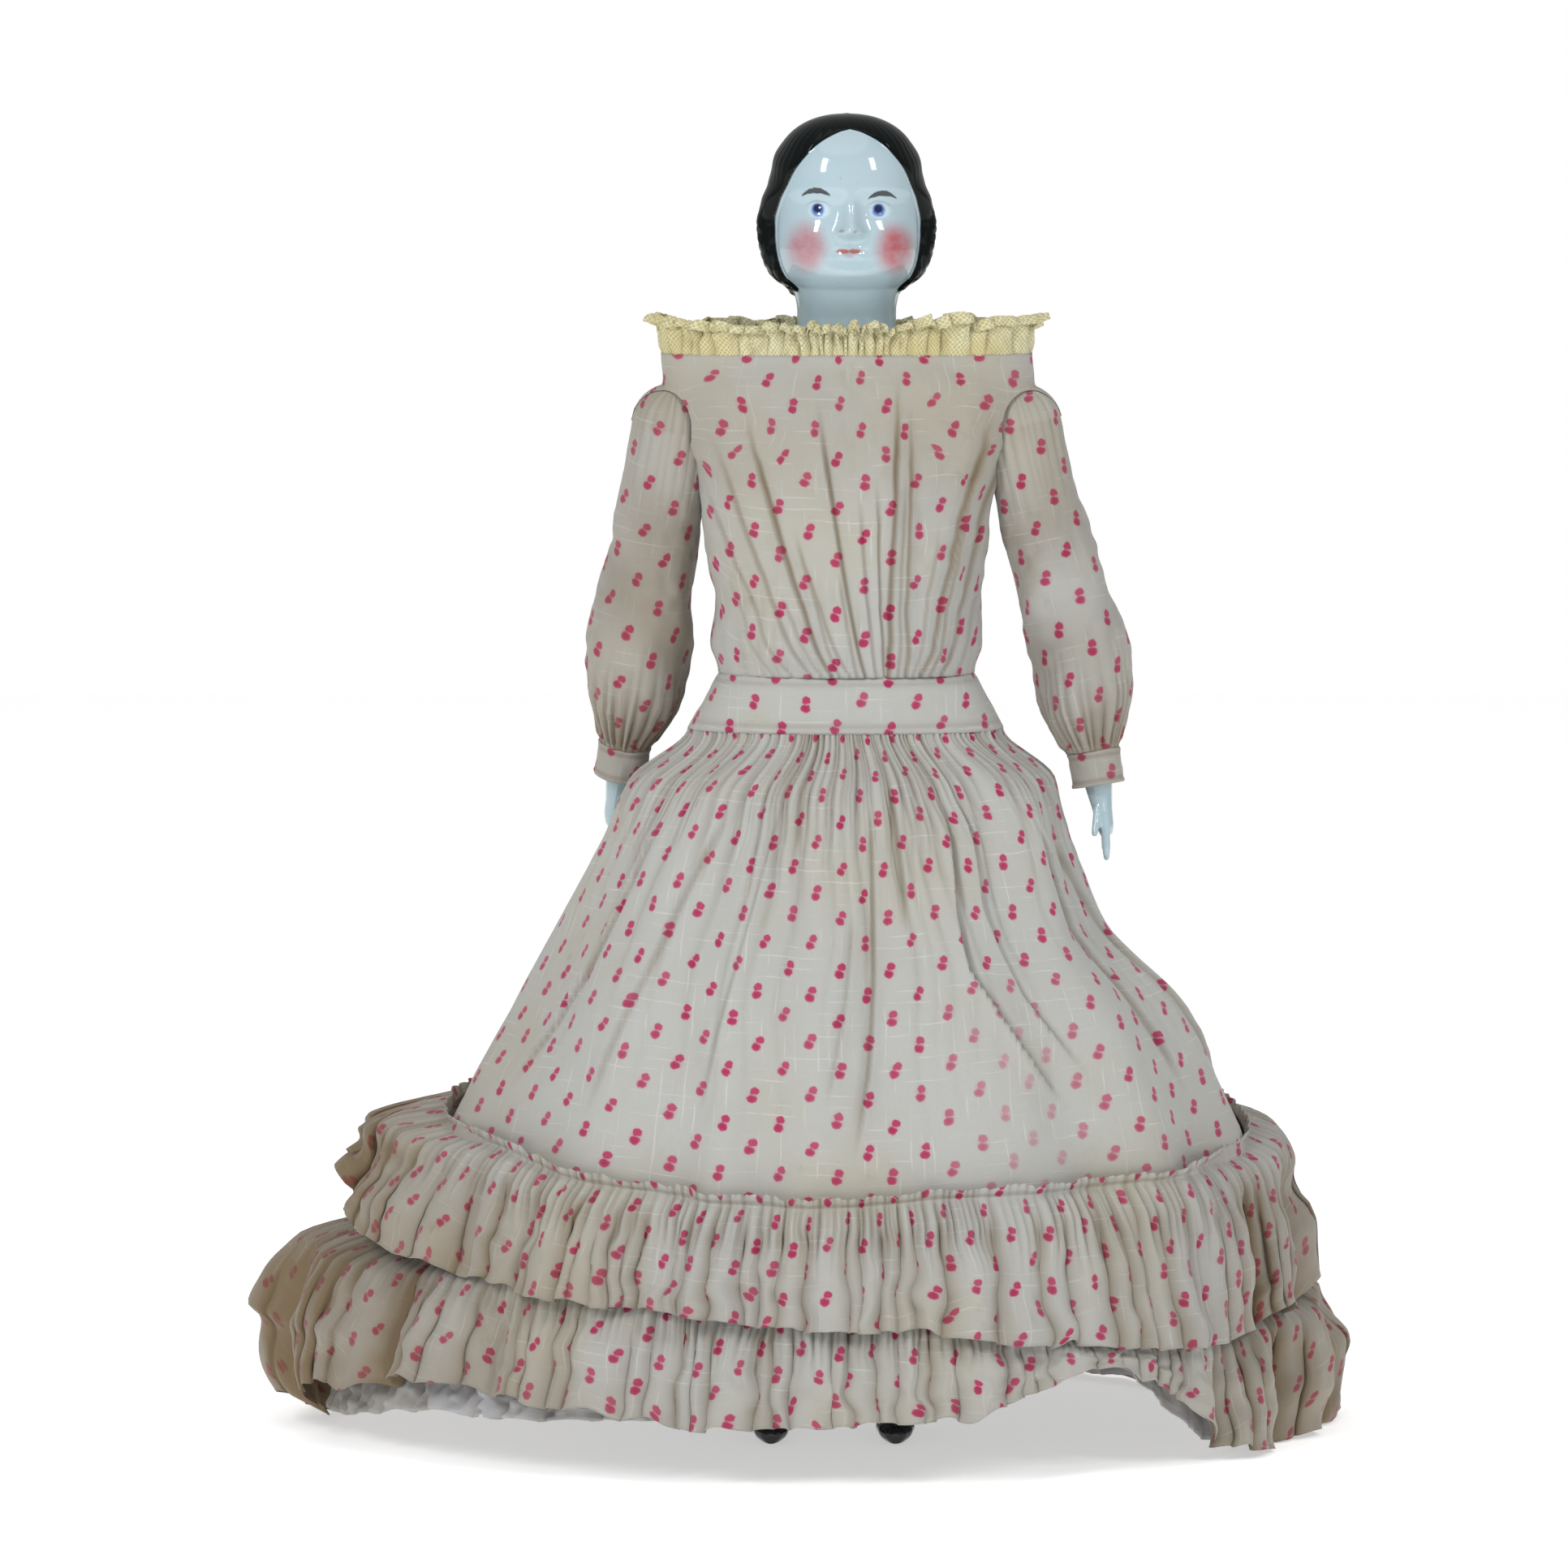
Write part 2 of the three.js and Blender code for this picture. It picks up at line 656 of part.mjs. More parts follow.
// Rows of [distance from the start, radius across, radius front to back] along a straight line.
function straightLimb(start, end, rows, columns = limbColumns) {
  const length = start.distanceTo(end);
  const stations = rows.map(([distance, across, depth = across]) => [distance / length, across, depth]);
  return limb(new THREE.LineCurve3(start, end), stations, acrossDoll, columns);
}

// Share of the length, and share of the way from the ball's radius to the radius of the far end.
const stuffedShares = [
  [0, 0.5],
  [0.2, 0.3],
  [0.55, 0.4],
  [0.78, 1],
  [1, 1],
];
const limbEndShare = 0.78; // of the radius of the ball that turns in the limb's end
function stuffedLimb(start, end, ballRadius, endRadius) {
  const length = start.distanceTo(end);
  const rows = stuffedShares.map(([share, endShare]) => [
    share * length,
    THREE.MathUtils.lerp(ballRadius, endRadius, endShare),
  ]);
  return toSolid(ball(start, ballRadius)).add(toSolid(straightLimb(start, end, rows)));
}

function upperArm({ shoulder, elbow }) {
  const room = socketBall(elbow, elbowBallRadius + swingGap);
  return stuffedLimb(shoulder, elbow, armBallRadius, limbEndShare * elbowBallRadius).subtract(room);
}

// A plug of porcelain, or with a gap the room for it, inside the end of a cloth limb.
function plugRows(clothLength, plugLength, plugRadius, gap) {
  return [
    [clothLength - plugLength - gap, plugRadius + gap],
    [clothLength + (gap ? overrun : seatGap), plugRadius + gap],
  ];
}

function clothLimbEnd(start, end, ballRadius, clothLength, plugLength, plugRadius) {
  const cut = start.clone().lerp(end, clothLength / start.distanceTo(end));
  const plugRoom = straightLimb(start, end, plugRows(clothLength, plugLength, plugRadius, seatGap));
  return stuffedLimb(start, cut, ballRadius, limbEndShare * ballRadius).subtract(toSolid(plugRoom));
}

// A tape wound round the end of the cloth, over the porcelain's plug.
function limbTape(start, end, clothLength, ballRadius) {
  const inner = limbEndShare * ballRadius + seatGap;
  const outer = inner + limbTapeWall;
  const rows = [
    [clothLength - limbTapeWidth, outer],
    [clothLength, outer],
    [clothLength, inner],
    [clothLength - limbTapeWidth, inner],
  ];
  const rings = rows.map(([distance, radius]) => {
    const centre = start.clone().lerp(end, distance / start.distanceTo(end));
    return limbRing(centre, end.clone().sub(start).normalize(), radius, radius, acrossDoll, limbColumns);
  });
  return skin(rings, true);
}

function limbRing(centre, along, acrossRadius, depthRadius, across, columns) {
  const side = across.clone().addScaledVector(along, -across.dot(along)).normalize();
  const front = new THREE.Vector3().crossVectors(along, side);
  return ring(columns, (angle) =>
    centre
      .clone()
      .addScaledVector(side, acrossRadius * Math.sin(angle))
      .addScaledVector(front, depthRadius * Math.cos(angle)),
  );
}

const plugTop = forearmClothLength - forearmPlugLength;
const wristAt = forearmLength - handLength;
const knucklesAt = forearmLength - fingerLength;
const collarLength = 2; // porcelain swells again below its plug
const thumbForwardShare = 0.28;
const thumbInwardShare = 0.2;

// A finger or thumb from its root to its tip, bent a little towards the palm.
function digit(root, along, palm, length, radius, curl) {
  const tip = root.clone().addScaledVector(along, length - radius).addScaledVector(palm, curl);
  const middle = root.clone().lerp(tip, 0.55).addScaledVector(palm, -curl / 3);
  const path = new THREE.QuadraticBezierCurve3(root, middle, tip);
  const stations = [
    [0, radius, radius],
    [0.6, radius * 0.95, radius * 0.95],
    [0.92, radius * 0.75, radius * 0.75],
    [1, radius * 0.35, radius * 0.35],
  ];
  return toSolid(limb(path, stations, palm, 6));
}

// Porcelain forearm with its hand: four fingers side by side, thumb to the front, palm to the body.
function chinaForearm({ sign, elbow, fingertip, foreAlong }) {
  const rows = [
    ...plugRows(forearmClothLength, forearmPlugLength, forearmPlugRadius, 0),
    [forearmClothLength + collarLength, forearmRadius],
    [THREE.MathUtils.lerp(forearmClothLength, wristAt, 0.45), forearmRadius * 0.92],
    [wristAt, wristRadius * 0.95, wristRadius],
    [THREE.MathUtils.lerp(wristAt, knucklesAt, 0.5), handHalfThickness * 1.1, handHalfWidth * 0.95],
    [THREE.MathUtils.lerp(wristAt, knucklesAt, 0.9), handHalfThickness, handHalfWidth],
    [knucklesAt + fingerRadius, handHalfThickness * 0.7, handHalfWidth * 0.85],
  ];
  let forearm = toSolid(straightLimb(elbow, fingertip, rows));
  const palm = acrossDoll.clone().multiplyScalar(-sign);
  const knuckles = elbow.clone().addScaledVector(foreAlong, knucklesAt - fingerRadius);
  const fingerLengthShares = [0.92, 1, 0.95, 0.8];
  const fingerPitch = (2 * (handHalfWidth - fingerRadius)) / (fingerLengthShares.length - 1);
  fingerLengthShares.forEach((lengthShare, i) => {
    const root = knuckles.clone().addScaledVector(frontward, handHalfWidth - fingerRadius - i * fingerPitch);
    const length = (fingerLength + fingerRadius) * lengthShare;
    forearm = forearm.add(digit(root, foreAlong, palm, length, fingerRadius, fingerLength * 0.12));
  });
  const thumbRoot = elbow
    .clone()
    .addScaledVector(foreAlong, THREE.MathUtils.lerp(wristAt, knucklesAt, 0.35))
    .addScaledVector(frontward, handHalfWidth * 0.6)
    .addScaledVector(palm, handHalfThickness * 0.5);
  const thumbAlong = foreAlong
    .clone()
    .addScaledVector(frontward, thumbForwardShare)
    .addScaledVector(palm, thumbInwardShare)
    .normalize();
  return forearm.add(digit(thumbRoot, thumbAlong, palm, thumbLength, thumbRadius, thumbLength * 0.08));
}

for (const { side } of leftAndRight) {
  const arm = arms[side];
  const { elbow, fingertip } = arm;
  const cloth = clothLimbEnd(
    elbow,
    fingertip,
    elbowBallRadius,
    forearmClothLength,
    forearmPlugLength,
    forearmPlugRadius,
  );
  const tape = limbTape(elbow, fingertip, forearmClothLength, elbowBallRadius);
  addPiece(`upper_arm_${side}`, toGeometry(upperArm(arm)), muslin);
  addPiece(`forearm_cloth_${side}`, toGeometry(cloth), muslin);
  addPiece(`china_forearm_${side}`, toGeometry(chinaForearm(arm)), glazedChina);
  addPiece(`arm_tape_${side}`, tape, cottonTape);
}

// Legs: stuffed thighs and knees, and porcelain lower legs with heeled boots

const legs = {};
for (const { side, sign } of leftAndRight) {
  const hip = hips[side];
  const fall = -legLean / (hipHeight - ankleHeight);
  const downTo = (height) => new THREE.Vector3(hip.x + fall * (hipHeight - height), 0, height);
  legs[side] = { sign, hip, knee: downTo(kneeHeight), ankle: downTo(ankleHeight) };
}

function thigh({ hip, knee }) {
  const room = socketBall(knee, kneeBallRadius + swingGap);
  return stuffedLimb(hip, knee, hipBallRadius, limbEndShare * kneeBallRadius).subtract(room);
}

// Share of the boot from heel to toe, then shares of its half width and its height.
const bootShares = [
  [0.0, 0.55, 1.6],
  [0.04, 0.8, 2.1],
  [0.2, 0.88, 2.3],
  [0.38, 0.82, 1.9],
  [0.55, 0.86, 1.3],
  [0.72, 1.0, 1.05],
  [0.88, 0.85, 0.9],
  [0.97, 0.5, 0.72],
  [1.0, 0.22, 0.5],
];
// A boot: upright half-round sections from heel to toe, flat underneath, with the instep cut away.
function boot(ankle) {
  const rings = bootShares.map(([share, widthShare, heightShare]) => {
    const halfWidth = bootHalfWidth * widthShare;
    const top = bootToeHeight * heightShare;
    return ring(limbColumns, (angle) => {
      const rise = (1 + Math.cos(angle)) / 2;
      const x = ankle.x + halfWidth * Math.sin(angle);
      const y = ankle.y + heelBehindAnkle - bootLength * share;
      return new THREE.Vector3(x, y, rise < 0.1 ? 0 : top * rise);
    });
  });
  const instepLength = bootLength * 0.2;
  const instep = new THREE.CylinderGeometry(instepLength, instepLength, bootHalfWidth * 3, 16)
    .rotateZ(Math.PI / 2)
    .scale(1, 1, (2 * soleWall) / instepLength)
    .translate(ankle.x, ankle.y + heelBehindAnkle - bootLength * 0.45, 0);
  return toSolid(skin(rings)).subtract(toSolid(instep));
}

function chinaLeg({ knee, ankle }) {
  const whole = knee.distanceTo(ankle);
  const rows = [
    ...plugRows(legClothLength, legPlugLength, legPlugRadius, 0),
    [legClothLength + collarLength, calfRadius * 0.96],
    [THREE.MathUtils.lerp(legClothLength, whole, 0.28), calfRadius, calfRadius * 1.06],
    [THREE.MathUtils.lerp(legClothLength, whole, 0.7), calfRadius * 0.8, calfRadius * 0.85],
    [whole, ankleRadius, ankleRadius * 1.1],
    [whole + ankleHeight * 0.55, ankleRadius, ankleRadius * 1.1],
  ];
  return toSolid(straightLimb(knee, ankle, rows)).add(boot(ankle));
}

for (const { side } of leftAndRight) {
  const leg = legs[side];
  const { knee, ankle } = leg;
  const cloth = clothLimbEnd(knee, ankle, kneeBallRadius, legClothLength, legPlugLength, legPlugRadius);
  addPiece(`thigh_${side}`, toGeometry(thigh(leg)), muslin);
  addPiece(`calf_cloth_${side}`, toGeometry(cloth), muslin);
  addPiece(`china_leg_${side}`, toGeometry(chinaLeg(leg)), glazedChina);
  addPiece(`leg_tape_${side}`, limbTape(knee, ankle, legClothLength, kneeBallRadius), cottonTape);
}

// The skirt's surface: an oval bell with a wing at each side, dented by the arms, in soft folds
const skirtSquareness = 2.2;

// Share of the skirt's height, then shares of its half width at its left and its right,
// and of its front and its back depth.
const bellShares = [
  [0.0, 0.83, 1.0, 1.0, 1.0],
  [0.25, 0.815, 0.87, 0.92, 0.915],
  [0.386, 0.79, 0.815, 0.853, 0.817],
  [0.488, 0.733, 0.744, 0.8, 0.732],
  [0.61, 0.657, 0.651, 0.741, 0.648],
  [0.736, 0.5, 0.558, 0.638, 0.535],
  [0.927, 0.424, 0.43, 0.431, 0.352],
  [1.0, 0.317, 0.317, 0.284, 0.232],
];
// Share of the skirt's height, then shares of how far the wings at its left and right stand out.
const wingShares = [
  [0.0, 0.68, 0.82],
  [0.25, 0.6, 1.0],
  [0.386, 0.32, 0.6],
  [0.488, 0.08, 0.32],
  [0.58, 0.0, 0.0],
];
// Share of the skirt's height, then share of the depth of its folds.
const foldShares = [
  [0.0, 1.0],
  [0.4, 1.0],
  [0.75, 0.8],
  [0.95, 0.5],
  [1.0, 0.0],
];
const [bellLeftAt, bellRightAt, bellFrontAt, bellBackAt] = [1, 2, 3, 4].map((k) => through(bellShares, k));
const [wingLeftAt, wingRightAt] = [1, 2].map((k) => through(wingShares, k));
const foldDepthAt = through(foldShares, 1);

// How near an angle lies to another, from 1 at that angle down to 0 well away from it.
function nearAngle(angle, centre, spread) {
  const away = Math.atan2(Math.sin(angle - centre), Math.cos(angle - centre)) / spread;
  return Math.exp(-away * away);
}

function bellRadius(angle, height) {
  const share = height / yokeSeam;
  const toLeft = Math.sin(angle) > 0;
  const halfWidth = skirtHalfWidth * (toLeft ? bellLeftAt(share) : bellRightAt(share));
  const depth =
    Math.cos(angle) > 0 ? skirtFrontDepth * bellFrontAt(share) : skirtBackDepth * bellBackAt(share);
  const wing =
    wingLeftAt(share) * nearAngle(angle, wingAngle, wingSpread) +
    wingRightAt(share) * nearAngle(angle, -wingAngle, wingSpread);
  const hollow = leftAndRight.reduce((sum, { side }) => {
    const { x, y, z } = arms[side].fingertip;
    const hollowShare = Math.exp(-(((height - z - armHollowAboveFingertip) / armHollowSpan) ** 2));
    return sum + hollowShare * nearAngle(angle, Math.atan2(x, -y), armHollowSpread);
  }, 0);
  return ovalRadius(halfWidth, depth, angle, skirtSquareness) + wingReach * wing - armHollowDepth * hollow;
}

// Shares all round, every sixteenth of a turn from the front over the doll's left side: first of the depth of
// the skirt's folds, which are shallow in front, and then of the heights of its seams and its hem.
const roundFoldShares = [0.45, 0.6, 0.9, 1, 1, 0.9, 1, 1, 0.9, 1, 1, 0.9, 1, 1, 0.85, 0.6];
const upperSeamShares = [0.89, 0.92, 0.93, 0.95, 0.97, 1, 1, 1, 1, 1, 1, 1, 1.01, 1.02, 0.95, 0.9];
const lowerSeamShares = [0.91, 0.87, 0.77, 0.74, 0.86, 0.97, 1, 1, 1, 1, 1, 1.03, 1.09, 1.1, 1.03, 0.95];
const hemShares = [0.6, 0.75, 1, 0, 0, 0, 0, 0, 0, 0, 0, 0, 0, 0.92, 0.68, 0.56];
const upperSeamShareAt = around(upperSeamShares);
const lowerSeamShareAt = around(lowerSeamShares);
const hemShareAt = around(hemShares);
const roundFoldShareAt = around(roundFoldShares);
const upperSeamAt = (angle) => upperSeamHeight * upperSeamShareAt(angle);
const lowerSeamAt = (angle) => lowerSeamHeight * lowerSeamShareAt(angle);
const hemAt = (angle) => hemLift * Math.max(0, hemShareAt(angle));

// The folds wander, so that some are wide and some narrow.
function skirtRadius(angle, height) {
  const wander = 1.1 * Math.sin(3 * angle + 1) + 0.8 * Math.sin(5 * angle + 2);
  const depth = skirtFoldDepth * foldDepthAt(height / yokeSeam) * roundFoldShareAt(angle);
  return bellRadius(angle, height) + depth * Math.cos(skirtFoldCount * angle + wander);
}

const skirtRowShares = [0, 0.05, 0.13, 0.3, 0.52, 0.78, 1];
function skirt() {
  const rows = [...skirtRowShares, "lower seam"];
  return clothShell(clothColumns, rows, clothWall, (angle, row, depth) => {
    const height =
      row === "lower seam" ? lowerSeamAt(angle) : THREE.MathUtils.lerp(yokeSeam, upperSeamAt(angle), row);
    return polar(skirtRadius(angle, height) - depth, angle, height);
  });
}

// How far a flounce's gathers stand out at its lower edge.
function flounceStand(angle, wander) {
  const wave = (1 + Math.cos(flounceWaveCount * angle + wander * Math.sin(2 * angle))) / 2;
  return flounceFlare + flounceWave * wave;
}

// The upper flounce lies over the skirt and hides the lower flounce's seam.
function upperFlounce() {
  const rows = [0, 0.5, 1 + flounceOverlapShare];
  return clothShell(clothColumns, rows, clothWall, (angle, share, depth) => {
    const [top, bottom] = [upperSeamAt(angle), lowerSeamAt(angle)];
    const under = THREE.MathUtils.lerp(skirtRadius(angle, top), skirtRadius(angle, bottom), share);
    const stand = flounceStandOff + clothWall + flounceStand(angle, 0.7) * share;
    return polar(under + stand - depth, angle, THREE.MathUtils.lerp(top, bottom, share));
  });
}

// The lower flounce hangs from the skirt's lower edge down to the floor.
function lowerFlounce() {
  const rows = [0, 0.5, 1];
  return clothShell(clothColumns, rows, clothWall, (angle, share, depth) => {
    const [top, bottom] = [lowerSeamAt(angle) - seatGap, hemAt(angle)];
    const radius = THREE.MathUtils.lerp(skirtRadius(angle, top + seatGap), bellRadius(angle, bottom), share);
    const stand = flounceStand(angle, 1.3) * share;
    return polar(radius + stand - depth, angle, THREE.MathUtils.lerp(top, bottom, share));
  });
}

const petticoatRadius = (angle, height) => bellRadius(angle, height) - petticoatInset;
const petticoatRowShares = [0.06, 0.14, 0.3, 0.5, 0.75, 1];
function petticoat() {
  const rows = ["band top", "band bottom", ...petticoatRowShares];
  return clothShell(petticoatColumns, rows, clothWall, (angle, row, depth) => {
    if (row === "band top" || row === "band bottom") {
      const height = row === "band top" ? yokeSeam + petticoatBandHeight : yokeSeam;
      return polar(torsoRadius(angle, height, petticoatBandEase + clothWall) - depth, angle, height);
    }
    const height = THREE.MathUtils.lerp(yokeSeam, petticoatSeamHeight, row);
    return polar(petticoatRadius(angle, height) - depth, angle, height);
  });
}

function petticoatFrill() {
  const rows = [0, 0.5, 1];
  return clothShell(petticoatFrillColumns, rows, clothWall, (angle, share, depth) => {
    const shows = nearAngle(angle, petticoatShowsAngle, petticoatShowsSpread);
    const hem = hemAt(angle) + petticoatHemLift - (petticoatHemLift + petticoatShows) * shows;
    const height = THREE.MathUtils.lerp(petticoatSeamHeight - seatGap, hem, share);
    const wave = petticoatWave * Math.cos(petticoatWaveCount * angle) * share;
    return polar(petticoatRadius(angle, height) + wave - depth, angle, height);
  });
}

addPiece("petticoat", petticoat(), whiteCotton);
addPiece("petticoat_frill", petticoatFrill(), whiteCotton);
addPiece("skirt", skirt(), printedCotton);
addPiece("upper_flounce", upperFlounce(), printedCotton);
addPiece("lower_flounce", lowerFlounce(), printedCotton);

// Bodice, yoke and neck frill, all open down the back

// Share of the bodice's height, then shares of its half width and half depth.
const bodiceShares = [
  [0.0, 0.685, 0.935],
  [0.15, 0.7, 0.92],
  [0.35, 0.735, 0.93],
  [0.5, 0.77, 0.95],
  [0.6, 0.785, 0.98],
  [0.68, 0.88, 1.0],
  [0.77, 1.0, 1.0],
  [0.88, 1.0, 0.93],
  [1.0, 0.95, 0.76],
];
const [bodiceWidthAt, bodiceDepthAt] = [1, 2].map((k) => through(bodiceShares, k));
function bodiceRadius(angle, height) {
  const share = (height - bodiceBottom) / bodiceLength;
  const halfWidth = bodiceHalfWidth * bodiceWidthAt(share);
  const front = (1 + Math.cos(angle)) / 2;
  const pleat = bodicePleatDepth * front * Math.cos(bodicePleatCount * angle) * Math.sin(Math.PI * share);
  return ovalRadius(halfWidth, bodiceHalfDepth * bodiceDepthAt(share), angle) + pleat;
}

function openBack(geometry) {
  const placket = new THREE.BoxGeometry(placketWidth, skirtBackDepth, crownHeight);
  placket.translate(0, skirtBackDepth / 2, crownHeight / 2);
  return toSolid(geometry).subtract(toSolid(placket));
}

const bodiceRowShares = [0, 0.15, 0.32, 0.5, 0.6, 0.68, 0.77, 0.88, 1];
function bodice() {
  const shell = clothShell(bodiceColumns, bodiceRowShares, clothWall, (angle, share, depth) => {
    const height = THREE.MathUtils.lerp(bodiceBottom, bodiceTop, share);
    return polar(bodiceRadius(angle, height) - depth, angle, height);
  });
  return leftAndRight.reduce((cut, { side, sign }) => {
    const { shoulder, elbow } = arms[side];
    const armholeRadius = sleeveCapRadius + armholeEase;
    const hanging = toSolid(rod(shoulder, elbow, armholeRadius, ballColumns));
    const outward = new THREE.Vector3(sign * Math.sin(shoulderSlant), -Math.cos(shoulderSlant), 0);
    const raised = shoulder.clone().addScaledVector(outward, upperArmLength);
    const raisedWay = toSolid(rod(shoulder, raised, armBallRadius + swingGap, ballColumns));
    return cut.subtract(socketBall(shoulder, armholeRadius)).subtract(hanging).subtract(raisedWay);
  }, openBack(shell));
}

// The yoke's upper edge meets the bodice and its lower edge meets the skirt.
function yoke() {
  const rows = [0, 1];
  const shell = clothShell(bodiceColumns, rows, yokeWall, (angle, share, depth) => {
    const [low, high] = [skirtRadius(angle, yokeSeam), bodiceRadius(angle, bodiceBottom)];
    const radius = THREE.MathUtils.lerp(low, high, share);
    return polar(radius - depth, angle, THREE.MathUtils.lerp(yokeBottom, yokeTop, share));
  });
  return openBack(shell);
}

function neckFrill() {
  const rows = [0, 1];
  const shell = clothShell(clothColumns, rows, clothWall, (angle, share, depth) => {
    const height = bodiceTop + seatGap + frillHeight * share;
    const wave = frillWave * (1 + Math.cos(frillWaveCount * angle)) * share;
    return polar(bodiceRadius(angle, bodiceTop) + wave - depth, angle, height);
  });
  return openBack(shell);
}

addPiece("bodice", toGeometry(bodice()), printedCotton);
addPiece("yoke", toGeometry(yoke()), printedCotton);
addPiece("neck_frill", toGeometry(neckFrill()), creamNet);

for (let i = 0; i < buttonCount; i++) {
  const height = bodiceTop - bodiceLength * (topButtonShare + i * buttonPitchShare);
  const edges = [-buttonRadius, 0, buttonRadius].map((up) => bodiceRadius(Math.PI, height + up));
  const back = Math.max(...edges) + seatGap + buttonWall / 2;
  const button = new THREE.CylinderGeometry(buttonRadius, buttonRadius, buttonWall, 12);
  const mesh = addPiece(`button_${i + 1}`, button, buttonChina);
  mesh.position.set(0, back, height);
}

// Sleeves: a cap that turns in the armhole, full at the elbow and gathered into a cuff

// Share of the sleeve's length, share of its full radius.
const sleeveShares = [
  [0.0, 0.735],
  [0.16, 0.76],
  [0.36, 0.82],
  [0.54, 0.92],
  [0.68, 1.0],
  [0.8, 0.97],
  [0.9, 0.76],
  [1.0, 0.52],
];
const sleeveRadiusAt = through(sleeveShares, 1);
const sleeveRowShares = [0.12, 0.32, 0.52, 0.68, 0.8, 0.9, 1];
const capAngles = [130, 110, 90].map(THREE.MathUtils.degToRad);
function sleeve({ shoulder, elbow, upperAlong, foreAlong }) {
  const length = upperArmLength + sleeveBelowElbow;
  const rings = [0, clothWall].map((depth) => {
    const cap = capAngles.map((turn) => {
      const radius = sleeveCapRadius - depth;
      const centre = shoulder.clone().addScaledVector(upperAlong, radius * Math.cos(turn));
      const open = radius * Math.sin(turn);
      return limbRing(centre, upperAlong, open, open, acrossDoll, sleeveColumns);
    });
    const tube = sleeveRowShares.map((share) => {
      const past = share * length - upperArmLength;
      const centre = past < 0 ? shoulder.clone() : elbow.clone();
      centre.addScaledVector(past < 0 ? upperAlong : foreAlong, past < 0 ? share * length : past);
      const bend = smoothStep(-sleeveRadius, sleeveRadius, past);
      const along = upperAlong.clone().lerp(foreAlong, bend).normalize();
      const radius = sleeveRadius * sleeveRadiusAt(share) - depth;
      return limbRing(centre, along, radius, radius, acrossDoll, sleeveColumns);
    });
    return [...cap, ...tube];
  });
  return skin([...rings[0], ...rings[1].reverse()], true);
}

function cuff({ elbow, fingertip }) {
  const top = sleeveBelowElbow + seatGap;
  const rows = [
    [top, cuffRadius],
    [top + cuffLength, cuffRadius],
    [top + cuffLength, cuffRadius - cuffWall],
    [top, cuffRadius - cuffWall],
  ];
  const along = fingertip.clone().sub(elbow).normalize();
  const rings = rows.map(([distance, radius]) => {
    const centre = elbow.clone().addScaledVector(along, distance);
    return limbRing(centre, along, radius, radius, acrossDoll, sleeveColumns);
  });
  return skin(rings, true);
}

for (const { side } of leftAndRight) {
  addPiece(`sleeve_${side}`, sleeve(arms[side]), printedCotton);
  addPiece(`cuff_${side}`, cuff(arms[side]), printedCotton);
}

// The origin goes under the middle of the whole doll
const reach = new THREE.Box3().setFromObject(doll);
const middle = reach.getCenter(new THREE.Vector3());
doll.position.set(-middle.x, -middle.y, 0);

export default doll;
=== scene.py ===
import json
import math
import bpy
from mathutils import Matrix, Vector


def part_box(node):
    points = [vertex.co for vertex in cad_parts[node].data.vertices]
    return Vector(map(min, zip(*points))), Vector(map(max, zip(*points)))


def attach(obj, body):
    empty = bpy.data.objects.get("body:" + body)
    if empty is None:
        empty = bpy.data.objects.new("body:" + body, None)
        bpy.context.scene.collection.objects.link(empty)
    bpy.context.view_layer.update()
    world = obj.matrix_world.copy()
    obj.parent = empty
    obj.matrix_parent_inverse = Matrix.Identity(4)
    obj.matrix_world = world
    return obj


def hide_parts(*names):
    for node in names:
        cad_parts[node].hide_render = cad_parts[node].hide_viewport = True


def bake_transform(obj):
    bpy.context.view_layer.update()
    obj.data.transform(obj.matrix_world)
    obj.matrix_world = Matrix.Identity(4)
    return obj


bl_info = {
    "name": "China Head Doll",
    "version": (1, 0, 0),
    "blender": (4, 5, 0),
    "location": "View3D > Sidebar > Doll",
    "description": "A china head doll in a gathered cotton print dress, built round its packed solids",
    "category": "Add Mesh",
}

import bpy
import numpy as np
from mathutils import Matrix, Vector

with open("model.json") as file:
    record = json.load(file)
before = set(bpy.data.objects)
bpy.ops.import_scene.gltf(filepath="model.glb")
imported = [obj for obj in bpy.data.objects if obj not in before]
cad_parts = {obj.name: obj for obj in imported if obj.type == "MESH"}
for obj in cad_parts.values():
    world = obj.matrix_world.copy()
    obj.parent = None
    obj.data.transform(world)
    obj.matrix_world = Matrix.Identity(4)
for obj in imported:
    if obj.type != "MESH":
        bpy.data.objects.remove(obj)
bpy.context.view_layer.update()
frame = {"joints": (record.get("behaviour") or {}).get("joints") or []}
JOINTS = {joint["name"]: joint for joint in frame["joints"]}
HIPS = [Vector(JOINTS[f"hip_{side}"]["pos_m"]) for side in ("left", "right")]
AXIS = (HIPS[0] + HIPS[1]) / 2  # the doll's own upright axis
SIDES = (("left", 1), ("right", -1))
MM = 0.001
TURN = 2 * math.pi

# Sizes of the doll in millimetres, as its solids have them
CHIN_HEIGHT = 397
HEAD_HEIGHT = 60
FACE_HALF_WIDTH = 24.6
FACE_DEPTH = 26.5
BACK_DEPTH = 27.5
HAIR_LIFT = 1.1
SIDE_ROLL_DEPTH = 4.6
NECK_HALF = (17, 15.5)
PLATE_HALF = (40, 24)
RIM_HEIGHT = 352
PLATE_SIDE_ARCH = 8
PORCELAIN_WALL = 3
HEAD_TURN = math.radians(3)
BODICE_BOTTOM = 265.6
BODICE_TOP = 375
BODICE_HALF = (64.5, 31)
UPPER_ARM_LENGTH = 84
SLEEVE_BELOW_ELBOW = 31
SLEEVE_RADIUS = 17.6
CUFF_LENGTH = 12
CUFF_RADIUS = 9
YOKE_SEAM = 246
YOKE_TOP = 265.3
SKIRT_HALF_WIDTH = 172
SKIRT_FRONT_DEPTH = 116
